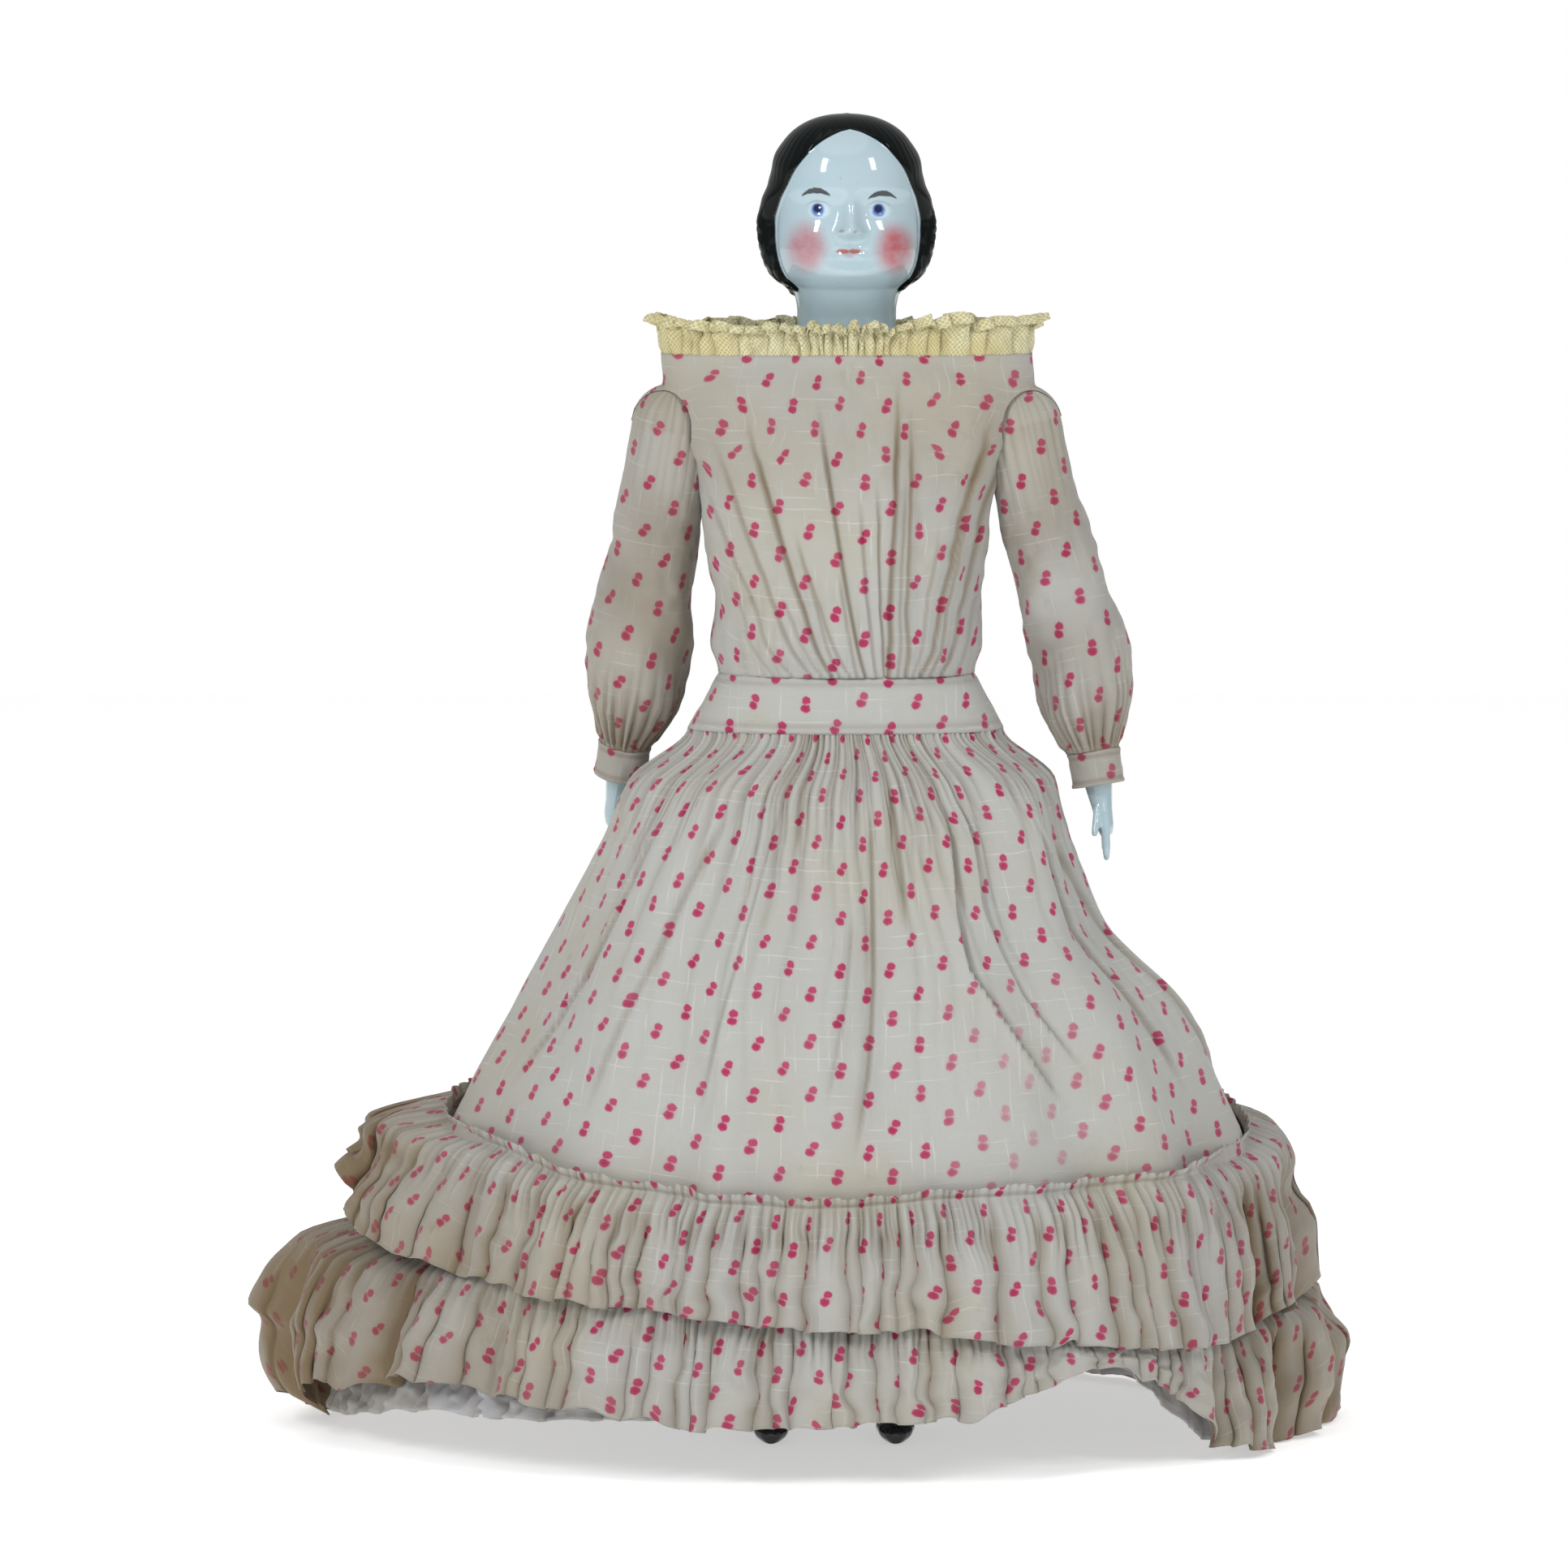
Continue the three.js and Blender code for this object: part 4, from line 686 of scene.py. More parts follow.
def printed_cotton():
    """Fine aged cotton with raspberry sprigs. Valleys of its folds are painted in browner shade, so its ridges
    stay paler.
    """
    dress = bpy.context.scene.doll_dress
    material, tree, shader, place, cloth = new_material(
        "printed_cotton", 0.88, dress.cotton, Sheen_Weight=0.25, Sheen_Roughness=0.45, Specular_IOR_Level=0.2
    )
    sprigs = use(tree, group("sprig_print"), Cloth=cloth, Across=dress.sprig_across, Down=dress.sprig_down)
    weave = use(tree, group("slub_weave"), Cloth=cloth)
    age = use(tree, group("age_marks"), Place=place)
    painted_shade, stain_and_shade, worn = (attribute(tree, name) for name in ("painted_shade", "stain_and_shade", "worn"))
    color = tint(tree, product(tree, age["Yellow"], 0.42), dress.cotton, (0.43, 0.39, 0.27))
    color = tint(tree, product(tree, weave["Slub"], 0.4), color, (0.66, 0.66, 0.64))
    color = tint(tree, product(tree, weave["Fuzz"], 0.22), color, (0.27, 0.27, 0.25))
    color = tint(tree, product(tree, sprigs["Halo"], 0.3), color, (0.46, 0.22, 0.26))
    fading = calc(tree, "SUBTRACT", 1.0, product(tree, worn, 0.75))
    color = tint(tree, product(tree, sprigs["Sprig"], fading, 0.93), color, dress.sprig)
    color = tint(tree, product(tree, sprigs["Deep"], fading, 0.4), color, (0.25, 0.006, 0.05))
    # painted shade in the fold valleys and on the skirt's spread sides, with real stains and brown age marks,
    # multiplied by the age colour
    tan_and_shade = total(
        tree, product(tree, painted_shade, 0.8), product(tree, stain_and_shade, 0.75), product(tree, age["Brown"], 0.3)
    )
    tan_and_shade = calc(tree, "MINIMUM", tan_and_shade, 0.92)
    color = tint(tree, tan_and_shade, color, dress.age, "MULTIPLY")
    # the same stains and painted shade, browned further
    color = tint(tree, product(tree, stain_and_shade, 0.25), color, (0.33, 0.24, 0.13))
    wire(tree, shader.inputs["Base Color"], color)
    bump(tree, shader, weave["Height"], 0.12 * MM, 0.55)
    return material


def plain_cotton(name, color, aged, amount=1.0, dark=(0.3, 0.28, 0.24), thread=0.5):
    """Unprinted cotton: petticoat, muslin or tape."""
    material, tree, shader, place, cloth = new_material(
        name, 0.92, color, Sheen_Weight=0.2, Sheen_Roughness=0.5, Specular_IOR_Level=0.2
    )
    weave = use(tree, group("slub_weave"), Cloth=cloth, Thread=thread * MM)
    age = use(tree, group("age_marks"), Place=place, Amount=amount)
    shade = tint(tree, age["Yellow"], color, aged)
    shade = tint(tree, product(tree, weave["Fuzz"], 0.35), shade, tuple(0.6 * c for c in color))
    # painted shade in the valleys of the folds, in the dark colour
    shade = tint(tree, product(tree, attribute(tree, "painted_shade"), 0.6), shade, dark)
    wire(tree, shader.inputs["Base Color"], shade)
    bump(tree, shader, weave["Height"], 0.15 * MM, 0.6)
    return material


def cream_net():
    """Net with small round meshes between thicker threads, cream and yellowed."""
    color = bpy.context.scene.doll_dress.net
    material, tree, shader, place, cloth = new_material("cream_net", 0.9, color, Sheen_Weight=0.3)
    pitch = 1.15 * MM
    warped = put(tree, "ShaderNodeTexNoise", None, Vector=cloth, Scale=220.0).outputs["Color"]
    warped = vector(tree, "SCALE", vector(tree, "SUBTRACT", warped, (0.5, 0.5, 0.5)))
    warped.node.inputs["Scale"].default_value = 1.2 * MM
    x, y, _ = put(tree, "ShaderNodeSeparateXYZ", None, Vector=vector(tree, "ADD", cloth, warped)).outputs
    slants = (calc(tree, "ADD", x, y), calc(tree, "SUBTRACT", x, y))
    waves = [calc(tree, "SINE", product(tree, slant, 2.2 / pitch)) for slant in slants]
    mesh = fade(tree, calc(tree, "ABSOLUTE", product(tree, *waves)), 0.3, 0.6)
    age = use(tree, group("age_marks"), Place=place)
    shade = tint(tree, age["Yellow"], color, (0.6, 0.52, 0.24))
    shade = tint(tree, product(tree, mesh, 0.28), shade, (0.42, 0.38, 0.22))
    # painted shade in the dips of the ruffles
    shade = tint(tree, product(tree, attribute(tree, "painted_shade"), 0.55), shade, (0.34, 0.28, 0.12))
    wire(tree, shader.inputs["Base Color"], shade)
    wire(tree, shader.inputs["Alpha"], calc(tree, "SUBTRACT", 1.0, product(tree, mesh, 0.3)))
    bump(tree, shader, calc(tree, "SUBTRACT", 1.0, mesh), 0.25 * MM, 0.7)
    return material


# Painting of the face: (across, up) in millimetres from the middle of the face at its chin's height
EYES = ((-10.0, 27.9), (10.7, 27.7))
BROWS = ((-10.6, 33.6), (12.0, 32.6))
CHEEKS = ((-13.9, 14.9), (16.4, 14.4))
MOUTH = (0.6, 13.4)
NOSTRILS = ((-1.9, 20.6), (2.6, 20.4))


def china_glaze():
    """Glazed porcelain: black hair by its own attribute, and a face painted under the glaze."""
    china = bpy.context.scene.doll_china
    material, tree, shader, place, cloth = new_material(
        "china_glaze", 0.09, china.glaze, IOR=1.5, Coat_Weight=0.3, Coat_Roughness=0.03,
        Specular_IOR_Level=0.5
    )
    glaze = use(tree, group("old_glaze"), Place=place)
    color = tint(tree, product(tree, glaze["Cloud"], 0.35), china.glaze, (0.4, 0.55, 0.6))
    color = tint(tree, product(tree, glaze["Specks"], 0.25), color, (0.2, 0.2, 0.18))
    parts = put(tree, "ShaderNodeSeparateXYZ", None, Vector=place).outputs
    across = total(tree, calc(tree, "DIVIDE", parts[0], MM), -AXIS.x / MM)
    up = total(tree, calc(tree, "DIVIDE", parts[2], MM), -float(CHIN_HEIGHT))
    face = put(tree, "ShaderNodeCombineXYZ", None, X=across, Y=up).outputs[0]
    hand_drawn = put(tree, "ShaderNodeTexNoise", None, Vector=face, Scale=0.7, Detail=2.0).outputs["Color"]
    hand_drawn = vector(tree, "SCALE", vector(tree, "SUBTRACT", hand_drawn, (0.5, 0.5, 0.5)))
    hand_drawn.node.inputs["Scale"].default_value = 0.7
    drawn = vector(tree, "ADD", face, hand_drawn)
    front = fade(tree, parts[1], AXIS.y - 4 * MM, AXIS.y - 10 * MM, 0.0, 1.0)

    def paint(color, mask, shade, amount=1.0):
        return tint(tree, product(tree, mask, front, amount), color, shade)

    blotches = fade(tree, grain(tree, face, 0.22, 2.0), 0.25, 0.7, 0.72, 1.0)
    for x, y in CHEEKS:
        mask = product(
            tree, fade(tree, ellipse(tree, drawn, (x, y), (8.4, 10.6)), 0.3, 1.08, 1.0, 0.0), blotches
        )
        color = paint(color, mask, china.cheek, 0.8 if x < 0 else 0.98)
    for x, y in EYES:
        white = fade(tree, ellipse(tree, face, (x + 0.5, y - 0.5), (4.3, 2.9)), 0.5, 1.1, 1.0, 0.0)
        color = paint(color, white, (0.66, 0.8, 0.86), 0.55)
        iris = fade(tree, ellipse(tree, drawn, (x, y - 0.2), (2.5, 2.5)), 0.65, 1.1, 1.0, 0.0)
        color = paint(color, iris, china.iris, 0.85)
        pupil = fade(tree, ellipse(tree, face, (x - 0.1, y + 0.3), (1.85, 1.9)), 0.5, 1.15, 1.0, 0.0)
        color = paint(color, pupil, (0.004, 0.006, 0.05), 0.97)
        # painted shade: a faint brown line over each eye, as the upper lid's shade
        lid_shade_line = stroke(tree, drawn, (x, y - 3.6), 6.4, 4.4, 0.3)
        color = paint(color, lid_shade_line, (0.14, 0.1, 0.1), 0.4)
    for x, y in BROWS:
        brow = stroke(tree, drawn, (x, y - 6.6), 7.3, 5.3, 0.95)
        color = paint(color, brow, (0.008, 0.014, 0.02), 0.97)
    # painted shade: darker brown spots where the nostrils would be hollow
    for x, y in NOSTRILS:
        spot = fade(tree, ellipse(tree, drawn, (x, y), (1.2, 0.8)), 0.2, 1.2, 1.0, 0.0)
        color = paint(color, spot, (0.24, 0.15, 0.1), 0.6)
    lips = calc(
        tree,
        "MINIMUM",
        ellipse(tree, drawn, (MOUTH[0] - 1.9, MOUTH[1] + 0.25), (2.8, 1.05)),
        ellipse(tree, drawn, (MOUTH[0] + 1.9, MOUTH[1] + 0.25), (2.8, 1.05)),
    )
    color = paint(color, fade(tree, lips, 0.5, 1.15, 1.0, 0.0), china.lip, 0.85)
    lower = fade(tree, ellipse(tree, drawn, (MOUTH[0], MOUTH[1] - 1.2), (2.3, 0.8)), 0.4, 1.2, 1.0, 0.0)
    color = paint(color, lower, china.lip, 0.35)
    hair = fade(tree, attribute(tree, "hair"), 0.46, 0.54)
    wear = fade(tree, grain(tree, place, 260.0, 3.0, 0.6), 0.66, 0.74)
    black = tint(tree, product(tree, wear, 0.25), china.hair, (0.05, 0.055, 0.055))
    color = tint(tree, hair, color, black)
    wire(tree, shader.inputs["Base Color"], color)
    bump(tree, shader, glaze["Height"], 0.05 * MM, 0.35)
    return material


def stroke(tree, place, centre, radius, half_length, half_width):
    """A brush stroke along the top of a circle, tapering to its ends."""
    away = vector(tree, "SUBTRACT", place, (*centre, 0))
    parts = put(tree, "ShaderNodeSeparateXYZ", None, Vector=away).outputs
    along = calc(tree, "ABSOLUTE", calc(tree, "DIVIDE", parts[0], half_length))
    width = product(
        tree, total(tree, product(tree, calc(tree, "MULTIPLY", along, along), -1.0), 1.0), half_width
    )
    off = calc(tree, "ABSOLUTE", total(tree, vector(tree, "LENGTH", away), -radius))
    inside = fade(tree, calc(tree, "SUBTRACT", off, width), -0.2, 0.22, 1.0, 0.0)
    return product(tree, inside, fade(tree, along, 0.85, 1.0, 1.0, 0.0), fade(tree, parts[1], 0.0, 0.5))


def limb_glaze():
    """The same porcelain on the limbs, with black boots."""
    china = bpy.context.scene.doll_china
    material, tree, shader, place, cloth = new_material(
        "limb_glaze", 0.12, china.glaze, IOR=1.5, Coat_Weight=0.3, Coat_Roughness=0.03
    )
    glaze = use(tree, group("old_glaze"), Place=place)
    color = tint(tree, product(tree, glaze["Cloud"], 0.45), china.glaze, (0.36, 0.48, 0.5))
    color = tint(tree, product(tree, glaze["Specks"], 0.35), color, (0.2, 0.2, 0.18))
    boot = fade(tree, attribute(tree, "boot"), 0.46, 0.54)
    wear = fade(tree, grain(tree, place, 300.0, 3.0, 0.6), 0.62, 0.72)
    black = tint(tree, product(tree, wear, 0.3), china.hair, (0.06, 0.06, 0.055))
    color = tint(tree, boot, color, black)
    wire(tree, shader.inputs["Base Color"], color)
    bump(tree, shader, glaze["Height"], 0.05 * MM, 0.4)
    return material


def hair_glaze():
    """The painted hair, duller than the white porcelain."""
    material = finish_of("china_glaze").copy()
    material.name = "hair_glaze_finish"
    shader = material.node_tree.nodes["Principled BSDF"]
    shader.inputs["Specular IOR Level"].default_value = 0.12
    shader.inputs["Coat Weight"].default_value = 0.0
    shader.inputs["Roughness"].default_value = 0.07
    return material


FINISHES = {
    "hair_glaze": hair_glaze,
    "printed_cotton": printed_cotton,
    "cream_net": cream_net,
    "china_glaze": china_glaze,
    "limb_glaze": limb_glaze,
    "muslin": lambda: plain_cotton("muslin", (0.6, 0.53, 0.38), (0.5, 0.4, 0.22), thread=0.8),
    "cotton_tape": lambda: plain_cotton("cotton_tape", (0.6, 0.54, 0.4), (0.45, 0.36, 0.2), thread=0.4),
    "white_cotton": lambda: plain_cotton(
        "white_cotton", tuple(bpy.context.scene.doll_dress.petticoat), (0.36, 0.33, 0.27), thread=0.45
    ),
    "button_china": lambda: button_china(),
}


def button_china():
    material, tree, shader, place, cloth = new_material(
        "button_china", 0.22, (0.74, 0.71, 0.62), Coat_Weight=0.3
    )
    glaze = use(tree, group("old_glaze"), Place=place)
    color = tint(tree, glaze["Cloud"], (0.78, 0.75, 0.66), (0.62, 0.57, 0.45))
    color = tint(tree, product(tree, glaze["Specks"], 0.6), color, (0.25, 0.18, 0.1))
    wire(tree, shader.inputs["Base Color"], color)
    bump(tree, shader, glaze["Height"], 0.05 * MM, 0.4)
    return material


def finish_of(name):
    """The material of that name, made when first asked for."""
    return bpy.data.materials.get(f"{name}_finish") or FINISHES[name]()


# Places of joints and limbs, in metres


def joint_place(name):
    return Vector(JOINTS[name]["pos_m"])


def limb_ends(side):
    """Shoulder, elbow and the directions of the upper arm and the forearm at rest."""
    shoulder, elbow = joint_place(f"shoulder_{side}"), joint_place(f"elbow_{side}")
    low, high = (Vector(corner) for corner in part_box(f"cuff_{side}"))
    wrist = (low + high) / 2
    return shoulder, elbow, (elbow - shoulder).normalized(), (wrist - elbow).normalized()


def square_to(along, across=Vector((1, 0, 0))):
    """Two directions square to a limb: across the doll, and towards its front."""
    side = (across - along * across.dot(along)).normalized()
    return side, along.cross(side)


# Modelling steps


def deselect():
    if bpy.context.object and bpy.context.object.mode != "OBJECT":
        bpy.ops.object.mode_set(mode="OBJECT")
    bpy.ops.object.select_all(action="DESELECT")


def settle(piece, name):
    """Names a piece and puts its place into its mesh."""
    deselect()
    piece.select_set(True)
    bpy.context.view_layer.objects.active = piece
    bpy.ops.object.transform_apply(location=True, rotation=True, scale=True)
    piece.name = piece.data.name = name
    bpy.ops.object.shade_smooth()
    return piece


def apply_modifiers(piece):
    deselect()
    piece.select_set(True)
    bpy.context.view_layer.objects.active = piece
    for modifier in list(piece.modifiers):
        bpy.ops.object.modifier_apply(modifier=modifier.name)
    return piece


def dress_piece(piece, material, body, slot, *nodes):
    piece.data.materials.clear()
    piece.data.materials.append(finish_of(material))
    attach(piece, body)
    if nodes:
        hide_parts(*nodes)
    return piece


def copy_of_solid(node, name, voxel, smoothing=4):
    """The solid's form as one even skin with its facets smoothed away."""
    deselect()
    solid = bpy.data.objects[node]
    piece = bpy.data.objects.new(name, solid.data.copy())
    piece.data.name = name
    bpy.context.scene.collection.objects.link(piece)
    piece.select_set(True)
    bpy.context.view_layer.objects.active = piece
    bpy.ops.object.mode_set(mode="EDIT")
    bpy.ops.mesh.select_all(action="SELECT")
    bpy.ops.mesh.remove_doubles(threshold=0.01 * MM)
    bpy.ops.object.mode_set(mode="OBJECT")
    remesh = piece.modifiers.new("even", "REMESH")
    remesh.mode = "VOXEL"
    remesh.voxel_size = voxel * MM
    smooth = piece.modifiers.new("smooth", "SMOOTH")
    smooth.iterations = smoothing
    smooth.factor = 0.5
    apply_modifiers(piece)
    bpy.ops.object.shade_smooth()
    return piece


def place_of(piece):
    mesh = piece.data
    points = np.empty(len(mesh.vertices) * 3)
    mesh.vertices.foreach_get("co", points)
    return points.reshape(-1, 3)


def move_to(piece, points):
    piece.data.vertices.foreach_set("co", np.ascontiguousarray(points, np.float32).ravel())
    piece.data.update()


def directions_of(piece):
    normals = np.empty(len(piece.data.vertices) * 3)
    piece.data.vertices.foreach_get("normal", normals)
    return normals.reshape(-1, 3)


# Porcelain shoulder head

PLATE_SHARES = [
    (0.0, 1.0, 0.98),
    (0.12, 1.02, 1.0),
    (0.3, 0.95, 0.94),
    (0.42, 0.78, 0.78),
    (0.52, 0.46, 0.48),
    (0.62, 0.14, 0.16),
    (0.72, 0.0, 0.0),
    (1.0, 0.0, 0.05),
]
plate_width, plate_depth = through(PLATE_SHARES, 1), through(PLATE_SHARES, 2)

HEAD_SHARES = [
    (0.0, 0.76, 0.8, 0.66),
    (0.035, 0.83, 0.86, 0.72),
    (0.08, 0.9, 0.915, 0.78),
    (0.15, 0.955, 0.94, 0.86),
    (0.25, 0.99, 0.93, 0.93),
    (0.36, 1.0, 0.94, 0.97),
    (0.48, 1.0, 0.95, 1.0),
    (0.6, 0.99, 0.985, 1.0),
]
DOME_START = 0.6
head_width, head_front, head_back = (through(HEAD_SHARES, k) for k in (1, 2, 3))
HAIRLINE_SHARES = [
    (-0.2, 0.52),
    (-0.08, 0.4),
    (0.0, 0.335),
    (0.1, 0.39),
    (0.23, 0.415),
    (0.39, 0.42),
    (0.5, 0.37),
    (0.6, 0.303),
    (0.7, 0.247),
    (0.766, 0.206),
    (0.84, 0.15),
    (0.9, 0.06),
    (0.935, -0.06),
]
hairline = through(HAIRLINE_SHARES)
ROLL_SHARES = [
    (0, 0.15), (0.08, 0.55), (0.2, 0.85), (0.36, 1.0), (0.5, 0.85), (0.6, 0.32), (0.75, 0.14), (1.0, 0.0)
]
side_roll = through(ROLL_SHARES)
# Features of the face: across and up in shares of the head's height, their spreads, and their rise in millimetres
FACE_FEATURES = [
    (0.0, 0.47, 0.03, 0.07, 1.6),  # bridge of the nose
    (0.0, 0.385, 0.034, 0.05, 2.7),
    (0.0, 0.338, 0.04, 0.03, 3.0),  # tip of the nose
    (0.05, 0.33, 0.022, 0.02, 1.2),  # its wings
    (0.178, 0.475, 0.085, 0.055, -1.7),  # eye hollows
    (0.178, 0.466, 0.05, 0.032, 1.2),  # eyes
    (0.178, 0.512, 0.06, 0.012, 0.35),  # upper lids
    (0.178, 0.428, 0.055, 0.01, 0.25),  # lower lids
    (0.19, 0.575, 0.1, 0.03, 0.5),  # brows
    (0.0, 0.68, 0.28, 0.1, 0.4),  # forehead
    (0.235, 0.26, 0.12, 0.12, 1.9),  # cheeks
    (0.0, 0.225, 0.085, 0.06, 1.1),  # round the mouth
    (0.0, 0.285, 0.012, 0.02, -0.35),  # groove under the nose
    (0.022, 0.246, 0.026, 0.011, 0.55),  # upper lip
    (0.0, 0.2285, 0.055, 0.0055, -0.5),  # between the lips
    (0.0, 0.205, 0.03, 0.014, 0.7),  # lower lip
    (0.075, 0.228, 0.014, 0.02, -0.35),  # corners of the mouth
    (0.0, 0.165, 0.06, 0.018, -0.7),  # hollow over the chin
    (0.0, 0.095, 0.08, 0.048, 2.3),  # chin
]


def head_profile(turned, share):
    """Radius of the bare head from the turn off its middle, before hair and features."""
    low = np.minimum(share, DOME_START)
    up = np.clip((share - DOME_START) / (1 - DOME_START), 0, 1)
    dome = (1 - up**2.3) ** (1 / 2.3)
    front = FACE_DEPTH * head_front(low)
    depth = front + (BACK_DEPTH * head_back(low) - front) * rise(-0.4, 0.4, -np.cos(turned))
    return oval(FACE_HALF_WIDTH * head_width(low), depth, turned, 2.15) * dome


def hair_field(turned, share):
    """Above 0 where there is hair, in shares of a half turn, and in shares of height below the nape."""
    side = turned / math.pi - hairline(share)
    below = 0.005 + 0.07 * rise(0.5, 0.75, turned / math.pi)
    nape = (share + below + 0.012 * np.cos(turned * 22)) * 2.2
    return np.minimum(side, nape)


def head_surface(angle, share):
    """Radius with hair and face, and how far the place is inside the hair."""
    turned = np.abs(np.arctan2(np.sin(angle - HEAD_TURN), np.cos(angle - HEAD_TURN)))
    radius = head_profile(turned, share)
    inside = hair_field(turned, share)
    lifted = rise(-0.012, 0.03, inside)
    fullness = np.sqrt(np.clip(1 - np.clip(share, 0, 1) ** 6, 0, 1))
    radius = radius + HAIR_LIFT * lifted * fullness
    roll = hump(turned / math.pi, 0.53, 0.17) * rise(-0.02, 0.07, inside)
    radius = radius + SIDE_ROLL_DEPTH * side_roll(share) * roll
    # combed back from the parting, then curls that hang round the back of the head
    comb = np.sin(46 * turned + 9 * share + 2.2 * np.sin(7 * share)) * rise(0.55, 0.75, share) * fullness
    comb = comb * rise(1.0, 0.93, share)
    waves = np.sin(34 * share - 3.5 * turned) * rise(0.35, 0.55, share) * rise(0.95, 0.75, share)
    curl_round = np.abs(np.sin(11 * turned + 0.5 * np.sin(9 * share)))
    curls = (curl_round**0.6 - 0.4) * rise(0.5, 0.36, share)
    twist = np.sin(62 * share + 5 * np.sin(22 * turned)) * rise(0.5, 0.36, share)
    radius = radius + lifted * (0.08 * comb + 0.22 * waves + 1.0 * curls + 0.25 * twist)
    parting = hump(turned * radius, 0, 0.9) * rise(0.9, 0.95, share) + hump(
        turned - math.pi, 0, 0.05
    ) * rise(0.5, 0.7, share)
    radius = radius - 0.7 * parting * lifted * fullness
    across = radius * np.sin(turned) / HEAD_HEIGHT
    bare = rise(0.012, -0.03, inside) * (turned < math.pi / 2)
    for x, up, spread_x, spread_up, height in FACE_FEATURES:
        bump_here = hump(across, x, spread_x * 1.414) * hump(share, up, spread_up * 1.414)
        radius = radius + height * bump_here * bare
    return radius, inside


def plate_surface(angle, share, grow=0.0):
    """Radius and height of the neck and the shoulder plate, which arches up over the arms."""
    half_width = NECK_HALF[0] + (PLATE_HALF[0] - NECK_HALF[0]) * plate_width(share) + grow
    half_depth = NECK_HALF[1] + (PLATE_HALF[1] - NECK_HALF[1]) * plate_depth(share) + grow
    arch = PLATE_SIDE_ARCH * np.abs(np.sin(angle)) ** 3 * (1 - rise(0, 0.45, share))
    return oval(half_width, half_depth, angle), RIM_HEIGHT + (CHIN_HEIGHT - RIM_HEIGHT) * share + arch


def head_rows(columns):
    """Rows of points from crown to rim outside, then back up inside, with the hair's field beside them."""
    even = np.arange(columns) / columns * TURN
    angle = even - 0.45 * np.sin(even) + HEAD_TURN
    rows, fields = [], []
    dome = np.sin(np.linspace(0.02, 1, 62) * math.pi / 2)
    shares = (
        np.concatenate([1 - (1 - DOME_START) * (1 - np.cos(np.linspace(0.03, 1, 66) * math.pi / 2)),
        np.linspace(DOME_START, -0.17, 108)[1:]])
    )
    for share in shares:
        level = np.full(columns, share)
        radius, inside = head_surface(angle, level)
        if share < 0.13:
            turned = np.abs(np.arctan2(np.sin(angle - HEAD_TURN), np.cos(angle - HEAD_TURN)))
            below = rise(0.06 + 0.07 * rise(1.35, 0.8, turned), -0.13 - 0.04 * rise(1.35, 0.8, turned), share)
            neck_share = 1 + share * HEAD_HEIGHT / (CHIN_HEIGHT - RIM_HEIGHT)
            neck, _ = plate_surface(angle, min(neck_share, 1.0))
            hair_here = rise(-0.02, 0.05, inside)
            wanted = neck + hair_here * (
                3.2 + 1.0 * np.abs(np.sin(11 * angle)) ** 0.6
            ) * rise(-0.14, 0.0, share)
            radius = radius + (wanted - radius) * below
        rows.append(polar(radius, angle, CHIN_HEIGHT + HEAD_HEIGHT * share))
        fields.append(inside)
    top_share = 1 + shares[-1] * HEAD_HEIGHT / (CHIN_HEIGHT - RIM_HEIGHT)
    for share in np.linspace(top_share, 0, 46)[1:]:
        radius, height = plate_surface(angle, share)
        rounded = 0.8 * rise(0.05, 0.0, share)
        rows.append(polar(radius - rounded, angle, height))
        fields.append(np.full(columns, -1.0))
    radius, height = plate_surface(angle, 0.0)
    for inward, lift in ((1.6, -0.35), (2.4, 0.0)):
        rows.append(polar(radius - inward, angle, height + lift))
        fields.append(np.full(columns, -1.0))
    for share in np.linspace(0.03, 0.94, 22):
        radius, height = plate_surface(angle, share, -PORCELAIN_WALL)
        rows.append(polar(radius, angle, height))
        fields.append(np.full(columns, -1.0))
    for share in np.linspace(0.1, 0.97, 14):
        radius = head_profile(angle, share) - PORCELAIN_WALL
        radius = np.minimum(radius, oval(20, 19, angle)) * rise(-0.4, 0.35, share) ** 0.5
        rows.append(
            polar(np.maximum(radius, 1.5), angle, CHIN_HEIGHT + (HEAD_HEIGHT - PORCELAIN_WALL) * share)
        )
        fields.append(np.full(columns, -1.0))
    return np.array(rows), np.array(fields)


def shape_sphere(name, rows, ends):
    """A sphere from the menu, its rings moved to the given rows of points and its poles to the ends."""
    deselect()
    count, columns = rows.shape[:2]
    bpy.ops.mesh.primitive_uv_sphere_add(segments=columns, ring_count=count + 1, radius=1)
    piece = bpy.context.object
    start = place_of(piece)
    ring = np.rint(np.arccos(np.clip(start[:, 2], -1, 1)) / math.pi * (count + 1)).astype(int) - 1
    column = np.rint(np.mod(np.arctan2(start[:, 0], -start[:, 1]) / TURN, 1) * columns).astype(int) % columns
    points = rows[np.clip(ring, 0, count - 1), column]
    points[ring < 0], points[ring >= count] = ends
    move_to(piece, points)
    settle(piece, name)
    return piece, ring, column


# Soft folds of the dress

skirt_fine, skirt_line = creases(150, 11, 0.7, 0.0014)
skirt_medium, _ = creases(52, 12, 0.8, 0.004)
skirt_lumps, skirt_dents = crumple(26, 9, 14), crumple(60, 24, 15)


def ring_angles(columns, crowd=0.0):
    """Turns round the doll from its back over its right, crowded towards the front in the middle of a sheet."""
    even = (np.arange(columns) / columns - 0.5) * TURN
    return even - crowd * np.sin(even)


def skirt_hang(angle, height):
    """The skirt's radius with its broad folds alone, which the flounces follow."""
    turn, share = angle / TURN, height / YOKE_SEAM
    wander = 1.1 * np.sin(3 * angle + 1) + 0.8 * np.sin(5 * angle + 2)
    depth = SKIRT_FOLD_DEPTH * fold_share(share) * round_fold_share(angle)
    broad = np.cos(SKIRT_FOLD_COUNT * angle + wander + 0.25 * np.sin(11 * share))
    lumps = 1.2 * skirt_lumps(turn, 1 - share) * rise(1.0, 0.9, share)
    return bell_radius(angle, height) + depth * broad + lumps


